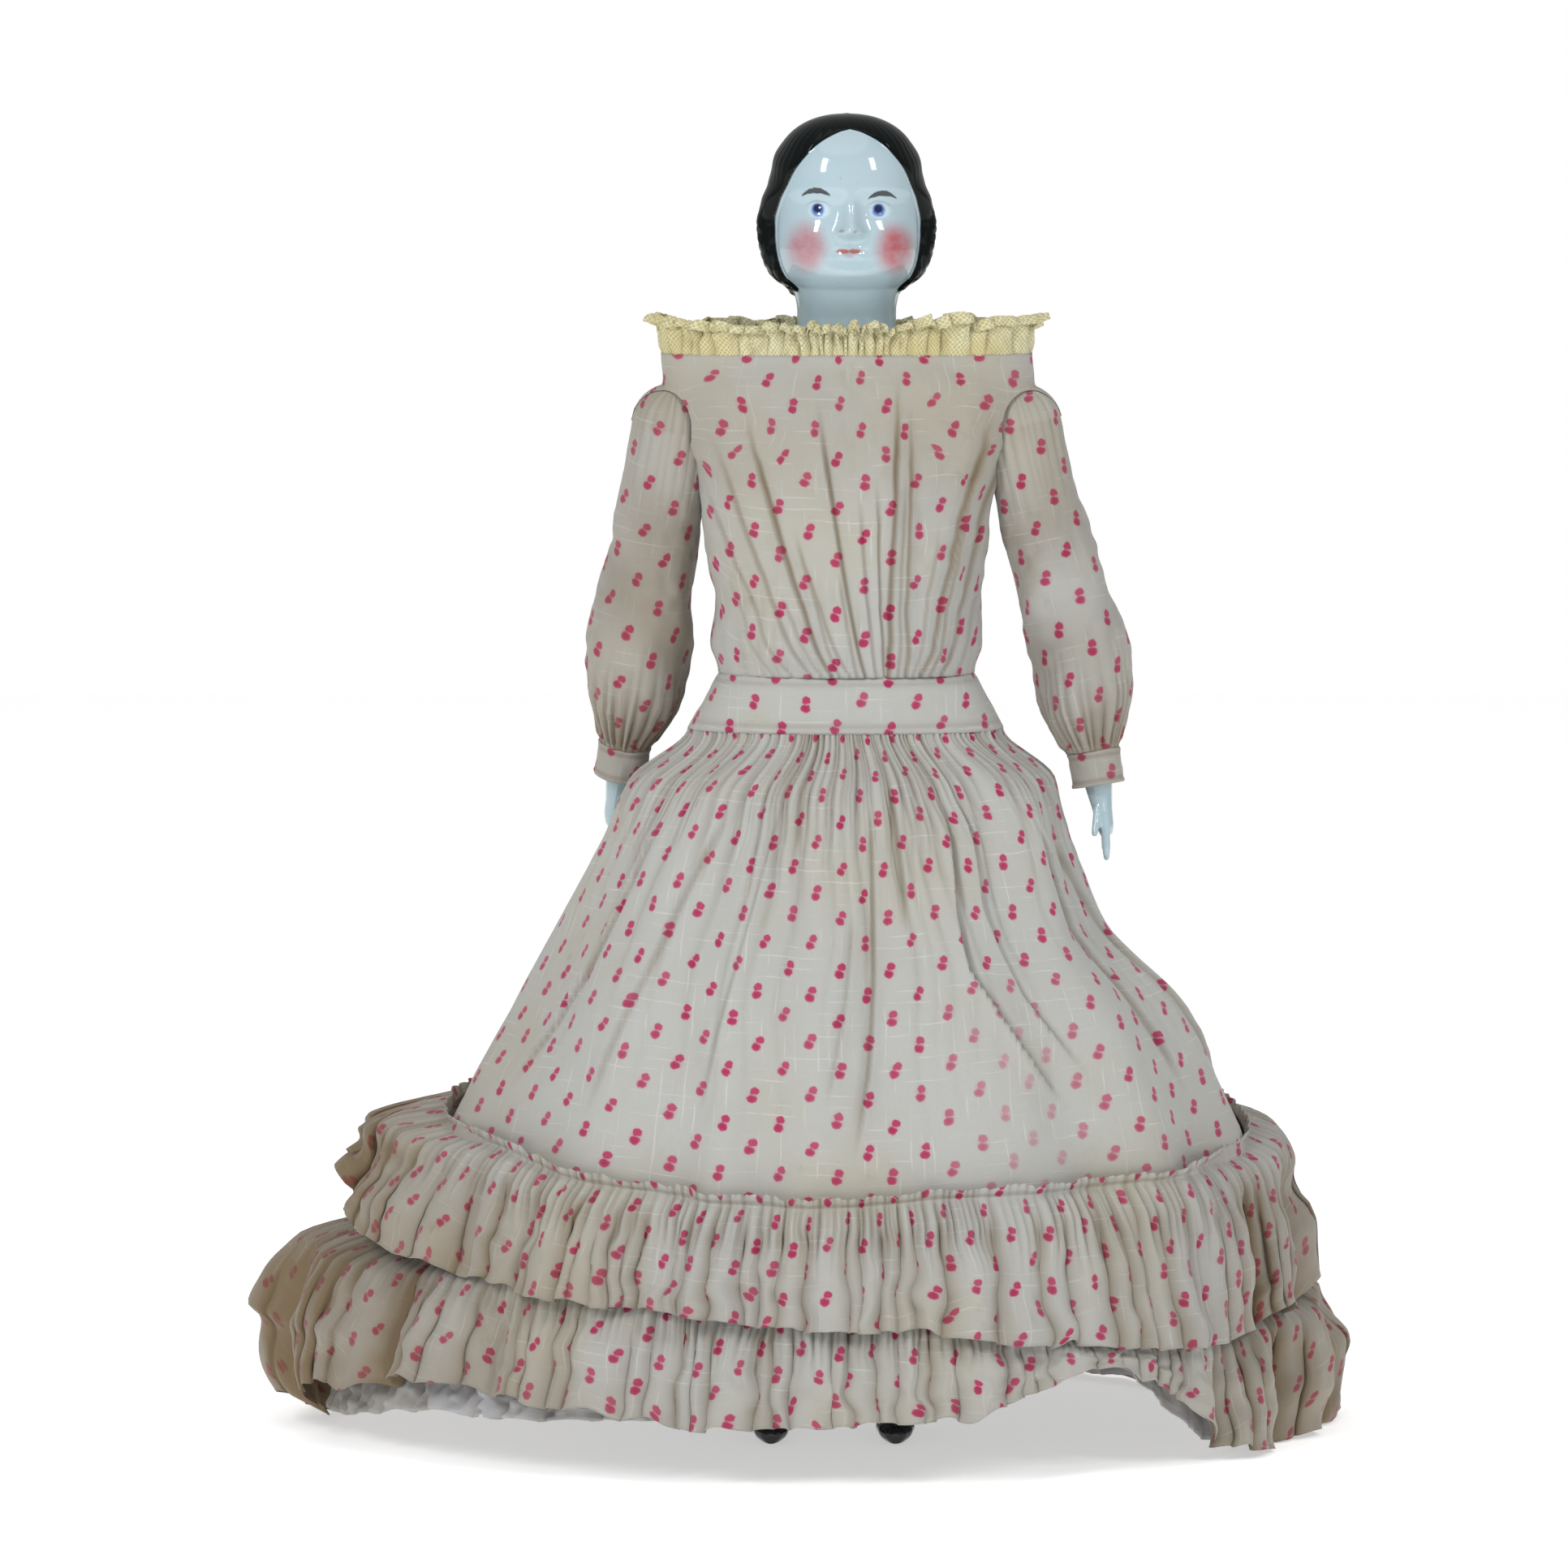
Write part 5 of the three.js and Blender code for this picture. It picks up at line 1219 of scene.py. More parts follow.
def crease(angle, height, path, width, depth):
    """A fold's rise and the painted shade on its dark side, along a path of (angle in degrees, height) from the
    top down.
    """
    places, heights = zip(*path)
    line = np.radians(np.interp(height, heights[::-1], places[::-1]))
    off = np.arctan2(np.sin(angle - line), np.cos(angle - line)) * 105 * (1 if width > 0 else -1)
    along = (height - heights[-1]) / (heights[0] - heights[-1])
    here = rise(0, 0.2, along) * rise(1, 0.85, along)
    ridge = np.where(off > 0, np.exp(-off / abs(width)), np.exp(off / 0.8))
    return depth * (ridge - 0.45 * hump(off, -2.2, 1.8)) * here, hump(off, -1.4, 1.1) * here * depth / 3


CREASES = [
    (((9, 226), (7, 170), (5, 136), (1.5, 104)), 3.4, 2.2),
    (((2, 190), (0, 160), (-4, 124)), 2.6, 1.3),
    (((34, 226), (29, 196), (28, 172), (36, 146), (45, 122)), -4.2, 3.6),
    (((40, 226), (37, 190), (41, 160), (50, 130)), -3.2, 1.8),
    (((17, 232), (17, 200), (16, 180)), 2.4, 1.5),
    (((-22, 226), (-26, 170), (-30, 120)), 3.4, 1.2),
    (((-40, 222), (-46, 180), (-52, 116)), -3.4, 1.6),
    (((-58, 222), (-66, 160), (-74, 122)), -3.4, 2.0),
    (((60, 222), (68, 170), (76, 120)), 3.4, 2.2),
    (((74, 214), (84, 160), (90, 120)), 3.4, 2.0),
    (((110, 214), (122, 118)), 3.4, 2.2),
    (((140, 214), (146, 118)), 3.4, 1.8),
    (((-110, 214), (-122, 118)), -3.4, 2.2),
    (((172, 220), (166, 118)), -3.0, 1.8),
    (((-150, 212), (-160, 118)), -3.0, 1.8),
]


def skirt_surface(angle, height):
    turn, share = angle / TURN, height / YOKE_SEAM
    radius = skirt_hang(angle, height)
    wander = turn + 0.0012 * np.sin(70 * share) + 0.0016 * np.sin(31 * share + 5 * angle)
    fine, line = skirt_fine(wander) - 0.6, skirt_line(wander)
    medium = skirt_medium(turn + 0.003 * np.sin(23 * share + 3 * angle)) - 0.7
    side = 0.7 + 0.3 * (1 - np.cos(angle)) / 2
    reach = 0.1 * skirt_lumps(turn * 2, 0.3)
    fine_here, medium_here = rise(0.8 + reach, 0.97, share), rise(0.5 + 2 * reach, 0.9, share)
    radius = radius + 2.6 * fine * fine_here * side
    radius = radius + 2.6 * medium * medium_here * rise(1.0, 0.93, share) * side
    radius = radius + 0.45 * skirt_dents(turn, 1 - share) * rise(1.0, 0.9, share)
    # painted shade: darker lines down the valleys of the fine and medium folds, and beside each crease
    painted_shade = line * fine_here - 0.5 * medium * medium_here
    for path, width, depth in CREASES:
        fold, dark = crease(angle, height, path, width, depth)
        radius, painted_shade = radius + fold, painted_shade + dark
    return radius, np.clip(0.9 * painted_shade, 0, 1)


def wings(angle):
    """1 at the two sides where the skirt spreads out, 0 in front and behind."""
    return np.maximum(near(angle, WING_ANGLE, math.radians(34)), near(angle, -WING_ANGLE, math.radians(34)))


def wing_stain(angle, height):
    # tan and painted shade on the spread sides, growing towards the hem
    low = rise(150, 60, height)
    return np.clip(wings(angle) * low, 0, 1)


def hang_cloth(
    name, points, flat, closed, thickness, material="printed_cotton", inward=True
):
    """A cloth grid with its wall and its finish."""
    piece = cloth_grid(name, points, flat, closed)
    thicken(piece, thickness, inward)
    piece.data.materials.append(finish_of(material))
    return piece


def evened(values, reach, closed):
    """Moving average along the rows."""
    padded = np.pad(values, ((0, 0), (reach + 1, reach)), "wrap" if closed else "edge")
    sums = np.cumsum(padded, axis=1)
    return (sums[:, 2 * reach + 1 :] - sums[:, : -2 * reach - 1]) / (2 * reach + 1)


def fanned(points, closed=True, own=0.5, even=20):
    """Cloth coordinates whose width lies between each row's own length and the lowest row's."""
    rows = lengths_along(points, closed)
    widths = rows[:, -1:]
    shares = (rows / widths).mean(axis=0)
    across = (shares - 0.5) * widths**own * widths.mean() ** (1 - own)
    down = evened(-lengths_along(np.swapaxes(points, 0, 1)).T, even, closed)
    if closed:
        down = np.concatenate([down, down[:, :1]], axis=1)
    return np.stack(np.broadcast_arrays(across, down), axis=-1)


def make_skirt():
    columns, rows = 640, 74
    angle = ring_angles(columns, 0.3)[None, :]
    share = (np.linspace(0, 1, rows) ** 1.15)[:, None]
    height = YOKE_SEAM + (lower_seam_at(angle) - YOKE_SEAM) * share
    radius, painted_shade = skirt_surface(angle, height)
    under_flounce = rise(0, 6, flounce_top_at(angle) - height)
    points = polar(radius - 0.4 * under_flounce, angle, height)
    piece = hang_cloth("skirt_cloth", points, fanned(points, own=0.4), True, 0.45)
    # tan and painted shade on the spread sides of the skirt, more on its right, and darker just above and under
    # the upper flounce's top
    stain_and_shade = 0.35 * wing_stain(angle, height) + 0.18 * near(
        angle, math.radians(-95), 0.5
    ) * rise(200, 120, height)
    stain_and_shade = stain_and_shade + 0.16 * rise(20, 0, height - flounce_top_at(angle))
    store(piece, "painted_shade", painted_shade)
    store(piece, "stain_and_shade", np.broadcast_to(stain_and_shade, height.shape))
    worn = near(angle, math.radians(37), math.radians(13)) * rise(175, 150, height)
    store(piece, "worn", np.broadcast_to(worn, height.shape))
    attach(piece, "root")
    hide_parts("skirt")


# Gathers round each flounce: flat folds between narrow valleys, under a small ruffled header


def flounce_top_at(angle):
    lifted = 15 * near(
        angle, math.radians(-97), math.radians(13)
    ) + 14 * near(angle, math.radians(98), math.radians(11))
    return upper_seam_at(angle) + lifted


def flounce_low_at(angle):
    return lower_seam_at(angle) + 15 * near(angle, math.radians(-98), math.radians(14))


def flounce_sheet(name, node, seed, top_at, bottom_at, base_at, stand, folds, reach, wave):
    columns, rows, header_rows = 1120, 38, 5
    even = ring_angles(columns, 0.26)[None, :]
    share = np.concatenate([np.zeros(header_rows), np.linspace(0, 1, rows) ** 1.1])[:, None]
    header = np.concatenate([np.linspace(1, 0.15, header_rows), np.zeros(rows)])[:, None]
    fine, fine_line = creases(3 * folds, seed, 0.6, 0.0009)
    broad, line = creases(folds, seed + 1, 0.85)
    big, big_line = creases(folds // 3, seed + 2, 0.75, 0.006)
    bend, lumps, ragged = crumple(90, 5, seed + 3), crumple(240, 9, seed + 4), crumple(150, 2, seed + 5)
    turn = even / TURN
    wing = wings(even)
    sway = 0.004 * bend(turn, share) * share
    fine_here, broad_here, big_here, line_here = fine(turn) - 0.7, broad(turn), big(turn), line(turn)
    low = rise(0.0, 0.5, share)
    fold = 0.75 * broad_here + 0.25 * big_here
    out = reach * (
        0.3 + 0.7 * rise(0.05, 0.8, share)
    ) * rise(0.0, 0.06, share) * (fold - 0.35) * (1 - 0.25 * wing)
    out = out + 2.6 * fine_here * rise(0.0, 0.05, share) * rise(0.7, 0.12, share)
    out = out + (1.2 + 3.0 * (fine_here + 0.3)) * header * (1 - 0.35 * header)
    out = out + 0.7 * lumps(turn, share) * rise(0.05, 0.3, share)
    swing = (1 + np.cos(15 * even + wave * np.sin(2 * even))) / 2
    out = out + (4.0 * swing - 1.5) * low * rise(1.2, 0.6, wing)
    out = out + 23 * wing * rise(0.05, 0.6, share) * (big_here - 0.8)
    out = out + 2.4 * wing * bend(turn + 0.6, share) * rise(0.05, 0.4, share)
    top, bottom = top_at(even), bottom_at(even)
    full = top + (bottom - top) * share
    edge = 1.5 * (broad_here - 0.6) + 2.0 * bend(turn + 0.3, share) + 1.2 * ragged(turn, 0.5)
    height = full + edge * rise(0.35, 1.0, share) * (1 + 0.8 * wing) * rise(0.5, 4, bottom)
    height = height + 12 * wing * (big_here - 0.75) * rise(0.1, 1.0, share)
    height = height + (3.3 + 1.1 * ragged(turn, 0.1) + 1.2 * fine_here) * header
    radius = base_at(even, full, share) + stand * rise(0.0, 0.2, share) + out
    # the flanks of each fold lean over its valleys
    lean = np.gradient(fold, axis=1)
    lean = -lean / (np.abs(lean).max() + 1e-9)
    sideways = lean * (2.4 + 1.6 * wing) * rise(0.08, 0.6, share) / radius - sway * TURN
    # the folds of the wings fan out from where the seam is pinched
    for middle in (-WING_ANGLE, WING_ANGLE):
        away = np.arctan2(np.sin(even - middle), np.cos(even - middle))
        sideways = sideways - 0.45 * away * near(even, middle, math.radians(24)) * (1 - share) ** 1.5
    points = polar(radius, even + sideways, np.maximum(height, 0.4 + 0.8 * (1 - broad_here)))
    piece = hang_cloth(name, points, fanned(points, own=0.0), True, 0.35)
    # painted shade: dark lines down the fold valleys, more shade low on the flounce between folds, and a darker
    # line along the header's seam
    narrow = 0.9 * line_here * rise(0.04, 0.3, share) + 0.7 * fine_line(turn) * rise(0.55, 0.08, share)
    narrow = narrow + wing * big_line(turn) * rise(0.1, 0.5, share)
    seam_line = 0.3 * (header > 0.1) * (header < 0.4)
    store(piece, "painted_shade", narrow + 0.3 * (1 - fold) * low + seam_line)
    # tan and painted shade on the spread sides, deeper in the big folds' valleys and less on the doll's left, a
    # real stain low at the front, and a little darker towards the lower edge
    front_left = 0.22 * near(even, math.radians(-55), math.radians(24)) * share
    wing_fold_shade = 0.72 + 0.28 * (1 - big_here) + 0.2 * lumps(turn + 0.1, share)
    store(
        piece,
        "stain_and_shade",
        wing**1.5 * wing_fold_shade * (
            0.45 + 0.55 * rise(0.0, 0.3, share)
        ) * np.where(np.sin(even) > 0, 0.6, 1.0) + front_left + 0.02 + 0.14 * share**2 + 0 * height,
    )
    store(piece, "worn", 0.15 * wing + 0 * height)
    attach(piece, "root")
    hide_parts(node)
    return piece, points


def make_flounces():
    def under_upper(angle, height, share):
        out = wing_out(angle, np.maximum(height, 76)) * rise(0.0, 0.1, share)
        return skirt_hang(angle, height) + 1.6 + out

    def upper_bottom(angle):
        return flounce_low_at(angle) - 5.5 + 11 * near(angle, math.radians(-98), 0.24)

    piece, points = flounce_sheet(
        "upper_flounce_cloth", "upper_flounce", 31, flounce_top_at, upper_bottom, under_upper, 2.6, 86, 6.5,
        0.7
    )

    def under_lower(angle, height, share):
        low = bell_radius(angle, hem_at(angle))
        top = skirt_hang(angle, flounce_low_at(angle))
        return top + (low - top) * share + wing_out(angle, height) * rise(0.0, 0.25, share)

    piece, points = flounce_sheet(
        "lower_flounce_cloth", "lower_flounce", 51, flounce_low_at, hem_at, under_lower, 0.8, 90, 6.5, 1.3
    )


# Petticoat


def petticoat_radius(angle, height):
    return bell_radius(angle, height, 0.5 * rise(75, 40, height)) - PETTICOAT_INSET


def make_petticoat():
    columns, rows = 240, 72
    angle = ring_angles(columns)[None, :]
    fine, broad, lumps = gathers(60, 71), gathers(18, 72), crumple(40, 14, 73)
    share = np.linspace(0, 1, rows)[:, None]
    height = YOKE_SEAM + 8 - (YOKE_SEAM + 8 - PETTICOAT_SEAM) * share
    waist = oval(44.5, 26.0, angle, 2.4)
    turn = angle / TURN
    folds = 1.3 * (fine(turn) - 0.5) * rise(236, 226, height) * rise(150, 220, height)
    folds = (
        folds + 3.0 * (broad(turn) - 0.6) * rise(220, 150, height) + 0.7 * lumps(turn, share) * rise(238, 225,
        height)
    )
    wide = petticoat_radius(angle, np.minimum(height, YOKE_SEAM - 12)) + folds
    radius = waist + (wide - waist) * rise(YOKE_SEAM - 1, YOKE_SEAM - 16, height)
    points = polar(radius, angle, height + 0 * angle)
    piece = hang_cloth("petticoat_cloth", points, fanned(points), True, 0.45, "white_cotton")
    # painted shade in the valleys of the folds
    store(piece, "painted_shade", 0.3 - 0.3 * folds + 0 * height)
    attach(piece, "root")
    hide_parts("petticoat")

    columns, rows = 720, 26
    angle = ring_angles(columns)[None, :]
    share = np.linspace(0, 1, rows)[:, None]
    fine, broad, crinkle = gathers(150, 81), gathers(58, 82, 0.6), crumple(420, 16, 83)
    turn = angle / TURN
    shows = near(angle, math.radians(-66), math.radians(30))
    hem = hem_at(angle) + 3 - 14 * shows + 1.6 * (broad(turn) - 0.5) * shows
    top = PETTICOAT_SEAM - 0.4
    height = top + (hem - top) * share
    fold = 0.75 * broad(turn + 0.002 * np.sin(12 * share)) + 0.25 * fine(turn)
    out = (
        5 * shows * share + 4.4 * (fold - 0.5) * rise(0.05, 0.8, share) + 1.2 * (fine(turn) - 0.5) * rise(0.6,
        0.1, share)
    )
    out = out + 1.5 * crinkle(turn, share) * (0.4 + shows)
    height = np.maximum(height + 0.9 * (fold - 0.5) * share, 0.4)
    radius = petticoat_radius(angle, height) + out
    points = polar(radius, angle, height)
    piece = hang_cloth(
        "petticoat_frill_cloth", points, fanned(points, own=0.0), True, 0.4, "white_cotton"
    )
    # painted shade in the valleys of the frill's folds, a little more towards its hem
    store(piece, "painted_shade", 0.8 - fold + 0.1 * share - 0.7 * shows * crinkle(turn, share))
    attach(piece, "root")
    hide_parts("petticoat_frill")


# Bodice, yoke and neck frill, open down the back

OPENING = math.radians(1.0)  # half of the gap, as a turn


def open_angles(columns):
    return np.linspace(-math.pi + OPENING, math.pi - OPENING, columns)


# Pleats of the bodice's front: across at the waist and at the top, how high they run, and their depth
PLEATS = [
    (-6, -36, 358, 1.5),
    (-13, -47, 350, 1.0),
    (0, -20, 318, 0.9),
    (5.3, -11, 362, 1.4),
    (9, 3, 330, 0.8),
    (12.2, 9, 335, 1.0),
    (15, 18.2, 372, 1.5),
    (18, 21, 340, 0.9),
    (20.8, 22.6, 362, 1.3),
    (25.7, 50, 362, 1.5),
    (28.9, 46, 345, 1.1),
    (33, 58, 372, 1.2),
    (-20, -50, 335, 0.8),
    (2.5, -4, 305, 0.8),
    (-3.5, -14, 300, 0.8),
    (23, 34, 320, 0.8),
    (-26, -42, 300, 0.6),
    (38, 47, 300, 0.6),
    (-9.5, -24, 296, 0.7),
]
PLEAT_FOOT = 266
bodice_sides, bodice_side_line = creases(34, 91, 0.7, 0.004)
bodice_lumps, bodice_dents = crumple(16, 7, 92), crumple(54, 22, 93)


def bodice_surface(angle, height):
    share = (height - BODICE_BOTTOM) / (BODICE_TOP - BODICE_BOTTOM)
    turn = angle / TURN
    radius = bodice_radius(angle, height)
    across = radius * np.sin(angle)
    in_front = rise(-0.1, 0.25, np.cos(angle))
    painted_shade = 0
    for foot, top, up_to, depth in PLEATS:
        along = np.clip((height - PLEAT_FOOT) / (up_to - PLEAT_FOOT), 0, 1)
        line = foot + (top - foot) * along**0.8
        off = (across - line) * (1 if top > foot else -1)
        here = rise(1.0, 0.7, along) * in_front
        ridge = np.where(off > 0, np.exp(-np.abs(off) / 2.8), np.exp(-np.abs(off) / 0.6))
        radius = radius + depth * (ridge - 0.25 * hump(off, -1.8, 1.6)) * here
        # painted shade in the valley beside each pleat
        painted_shade = np.maximum(painted_shade, depth * 0.6 * hump(off, -0.9, 0.8) * here)
    near_waist = rise(0.4, 0.03, share) * (1 - 0.75 * in_front)
    radius = radius + 1.6 * (bodice_sides(turn) - 0.6) * near_waist
    painted_shade = np.maximum(painted_shade, 0.8 * bodice_side_line(turn) * near_waist)
    lumps = 1.2 * bodice_lumps(turn, share) + 0.45 * bodice_dents(turn, share)
    radius = radius + lumps * rise(0, 0.08, share) * rise(1.0, 0.95, share)
    # the waist blouses a little over the yoke, and the edge is drawn in to it
    radius = radius + 0.9 * hump(share, 0.1, 0.07) - 0.5 * hump(share, 0.0, 0.03)
    return radius, np.clip(painted_shade, 0, 1)


def hug_ball(points, centre, radius, near_by, far_off):
    """Draws the cloth that is near a ball onto it."""
    off = points - np.array(centre)
    distance = np.linalg.norm(off, axis=-1, keepdims=True)
    drawn = rise(far_off * MM, near_by * MM, distance) * rise(
        (BODICE_TOP - 1) * MM, (BODICE_TOP - 11) * MM, points[..., 2:]
    )
    return points + (np.array(centre) + off / distance * radius * MM - points) * drawn


def cylinder_between(start, end, radius):
    deselect()
    along = end - start
    bpy.ops.mesh.primitive_cylinder_add(
        vertices=48, radius=radius, depth=along.length, location=(start + end) / 2
    )
    rod = bpy.context.object
    rod.rotation_mode = "QUATERNION"
    rod.rotation_quaternion = Vector((0, 0, 1)).rotation_difference(along.normalized())
    bpy.ops.object.transform_apply(location=True, rotation=True, scale=True)
    return rod


def cut_away(piece, cutters):
    for cutter in cutters:
        cut = piece.modifiers.new("cut", "BOOLEAN")
        cut.operation = "DIFFERENCE"
        cut.solver = "EXACT"
        cut.object = cutter
    apply_modifiers(piece)
    for cutter in cutters:
        bpy.data.objects.remove(cutter)


def make_bodice():
    columns, rows = 480, 90
    angle = open_angles(columns)[None, :]
    angle = angle - 0.4 * np.sin(angle)
    share = np.linspace(0, 1, rows)[:, None]
    height = BODICE_BOTTOM - 0.6 + (BODICE_TOP - BODICE_BOTTOM + 0.6) * (1 - share) + 0 * angle
    radius, painted_shade = bodice_surface(angle, height)
    points = polar(radius, angle, height)
    for side in ("left", "right"):
        points = hug_ball(points, joint_place(f"shoulder_{side}"), 14.45, 17.5, 31)
    piece = hang_cloth("bodice_cloth", points, fanned(points, closed=False, own=1.0), False, 0.34)
    store(piece, "painted_shade", painted_shade)
    # a tan band at the height of the armholes, and darker towards the back
    store(piece, "stain_and_shade", 0.25 * hump(height, 350, 25) + 0.2 * (1 - np.cos(angle)) / 2)
    store(piece, "worn", 0 * height)
    cutters = []
    for side, sign in SIDES:
        shoulder, elbow, upper, fore = limb_ends(side)
        deselect()
        cutters.append(cylinder_between(shoulder, elbow, 14.4 * MM))
        slant = math.radians(25)
        outward = Vector((sign * math.sin(slant), -math.cos(slant), 0))
        cutters.append(cylinder_between(shoulder, shoulder + outward * 0.06, 12.4 * MM))
    cut_away(piece, cutters)
    bpy.ops.object.shade_smooth()
    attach(piece, "root")
    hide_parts("bodice")

    columns, rows = 240, 16
    angle = open_angles(columns)[None, :]
    share = np.linspace(0, 1, rows)[:, None]
    low, high = bell_radius(angle, YOKE_SEAM), bodice_radius(angle, BODICE_BOTTOM)
    height = YOKE_TOP + (YOKE_SEAM - YOKE_TOP) * share + 0 * angle
    wrinkle = crumple(46, 6, 95)(angle / TURN, share)
    low = low + 0.8 * np.abs(np.sin(angle)) ** 2
    radius = (
        high + (low - high) * share**1.1 + 0.4 * wrinkle * share * (1 - share) * 4 - 0.5 * hump(share, 0.0,
        0.08)
    )
    points = polar(radius, angle, height)
    piece = hang_cloth("yoke_band", points, fanned(points, closed=False, own=1.0), False, 0.9)
    # painted shade: two darker lines near the band's top and bottom edges
    store(piece, "painted_shade", 0.3 * (hump(share, 0.14, 0.05) + hump(share, 0.86, 0.05)) + 0 * height)
    store(piece, "stain_and_shade", 0 * height)
    store(piece, "worn", 0 * height)
    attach(piece, "root")
    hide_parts("yoke")


def make_neck_frill():
    """Puffed ruffles that rise from the neckline, roll outwards and come part way down again."""
    columns, rows = 1000, 24
    angle = open_angles(columns)[None, :]
    angle = angle - 0.3 * np.sin(angle)
    share = np.linspace(0, 1, rows)[:, None]
    turn = angle / TURN
    ruffle, big, dents = gathers(58, 101, 0.7), gathers(19, 102, 0.6), crumple(120, 5, 103)
    crinkle = crumple(330, 9, 104)
    ends = np.maximum(near(angle, math.radians(80), 0.32), near(angle, math.radians(-84), 0.26))
    puff = near(angle, math.radians(52), 0.2)
    tall = 11.2 + 2.6 * ends + 3.2 * puff + 2.8 * (big(turn) - 0.5) + 2.0 * (ruffle(turn) - 0.5)
    wide = 1.7 + 2.2 * ruffle(turn) - 1.3 * ends + 1.0 * (big(turn) - 0.5)
    sway = 0.0016 * dents(turn, share) * share
    phase = ruffle(turn + sway)
    rolled = 1 - np.cos(share * math.pi * 0.72)
    radius = bodice_radius(angle, BODICE_TOP) - 0.5 + wide * rolled
    radius = radius + 2.9 * (phase - 0.5) * rise(0.0, 0.1, share) + (
        1.3 * dents(turn, share) + 0.6 * crinkle(turn, share)
    ) * rise(0.0, 0.3, share)
    height = BODICE_TOP - 0.6 + tall * np.sin(share * math.pi * 0.72) + 1.2 * dents(turn + 0.2, share) * share
    lean = np.gradient(phase, axis=1)
    lean = -lean / np.abs(lean).max()
    points = polar(radius, angle + lean * 1.8 * rise(0.1, 0.8, share) / radius, height)
    piece = hang_cloth(
        "neck_frill_net", points, fanned(points, closed=False, own=0.0), False, 0.3, "cream_net"
    )
    # painted shade in the dips between ruffles and crinkles
    store(piece, "painted_shade", 0.7 - phase - 0.5 * crinkle(turn, share) - 0.3 * dents(turn, share))
    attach(piece, "root")
    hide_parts("neck_frill")


# Sleeves and cuffs

SLEEVE_SHARES = [
    (0.0, 0.767),
    (0.16, 0.775),
    (0.36, 0.82),
    (0.54, 0.92),
    (0.68, 1.0),
    (0.8, 0.97),
    (0.9, 0.78),
    (0.97, 0.58),
    (1.0, 0.5),
]
sleeve_full = through(SLEEVE_SHARES)


def tube_points(centres, alongs, radii, angle):
    """Rings round a path. All in metres; the angle starts at the doll's front."""
    rows = []
    for centre, along, radius in zip(centres, alongs, radii):
        side, front = square_to(along)
        front = -front if front.y > 0 else front
        ring = np.array(centre) + radius[:, None] * (
            np.sin(angle)[:, None] * np.array(side) + np.cos(angle)[:, None] * np.array(front)
        )
        rows.append(ring)
    return np.array(rows)


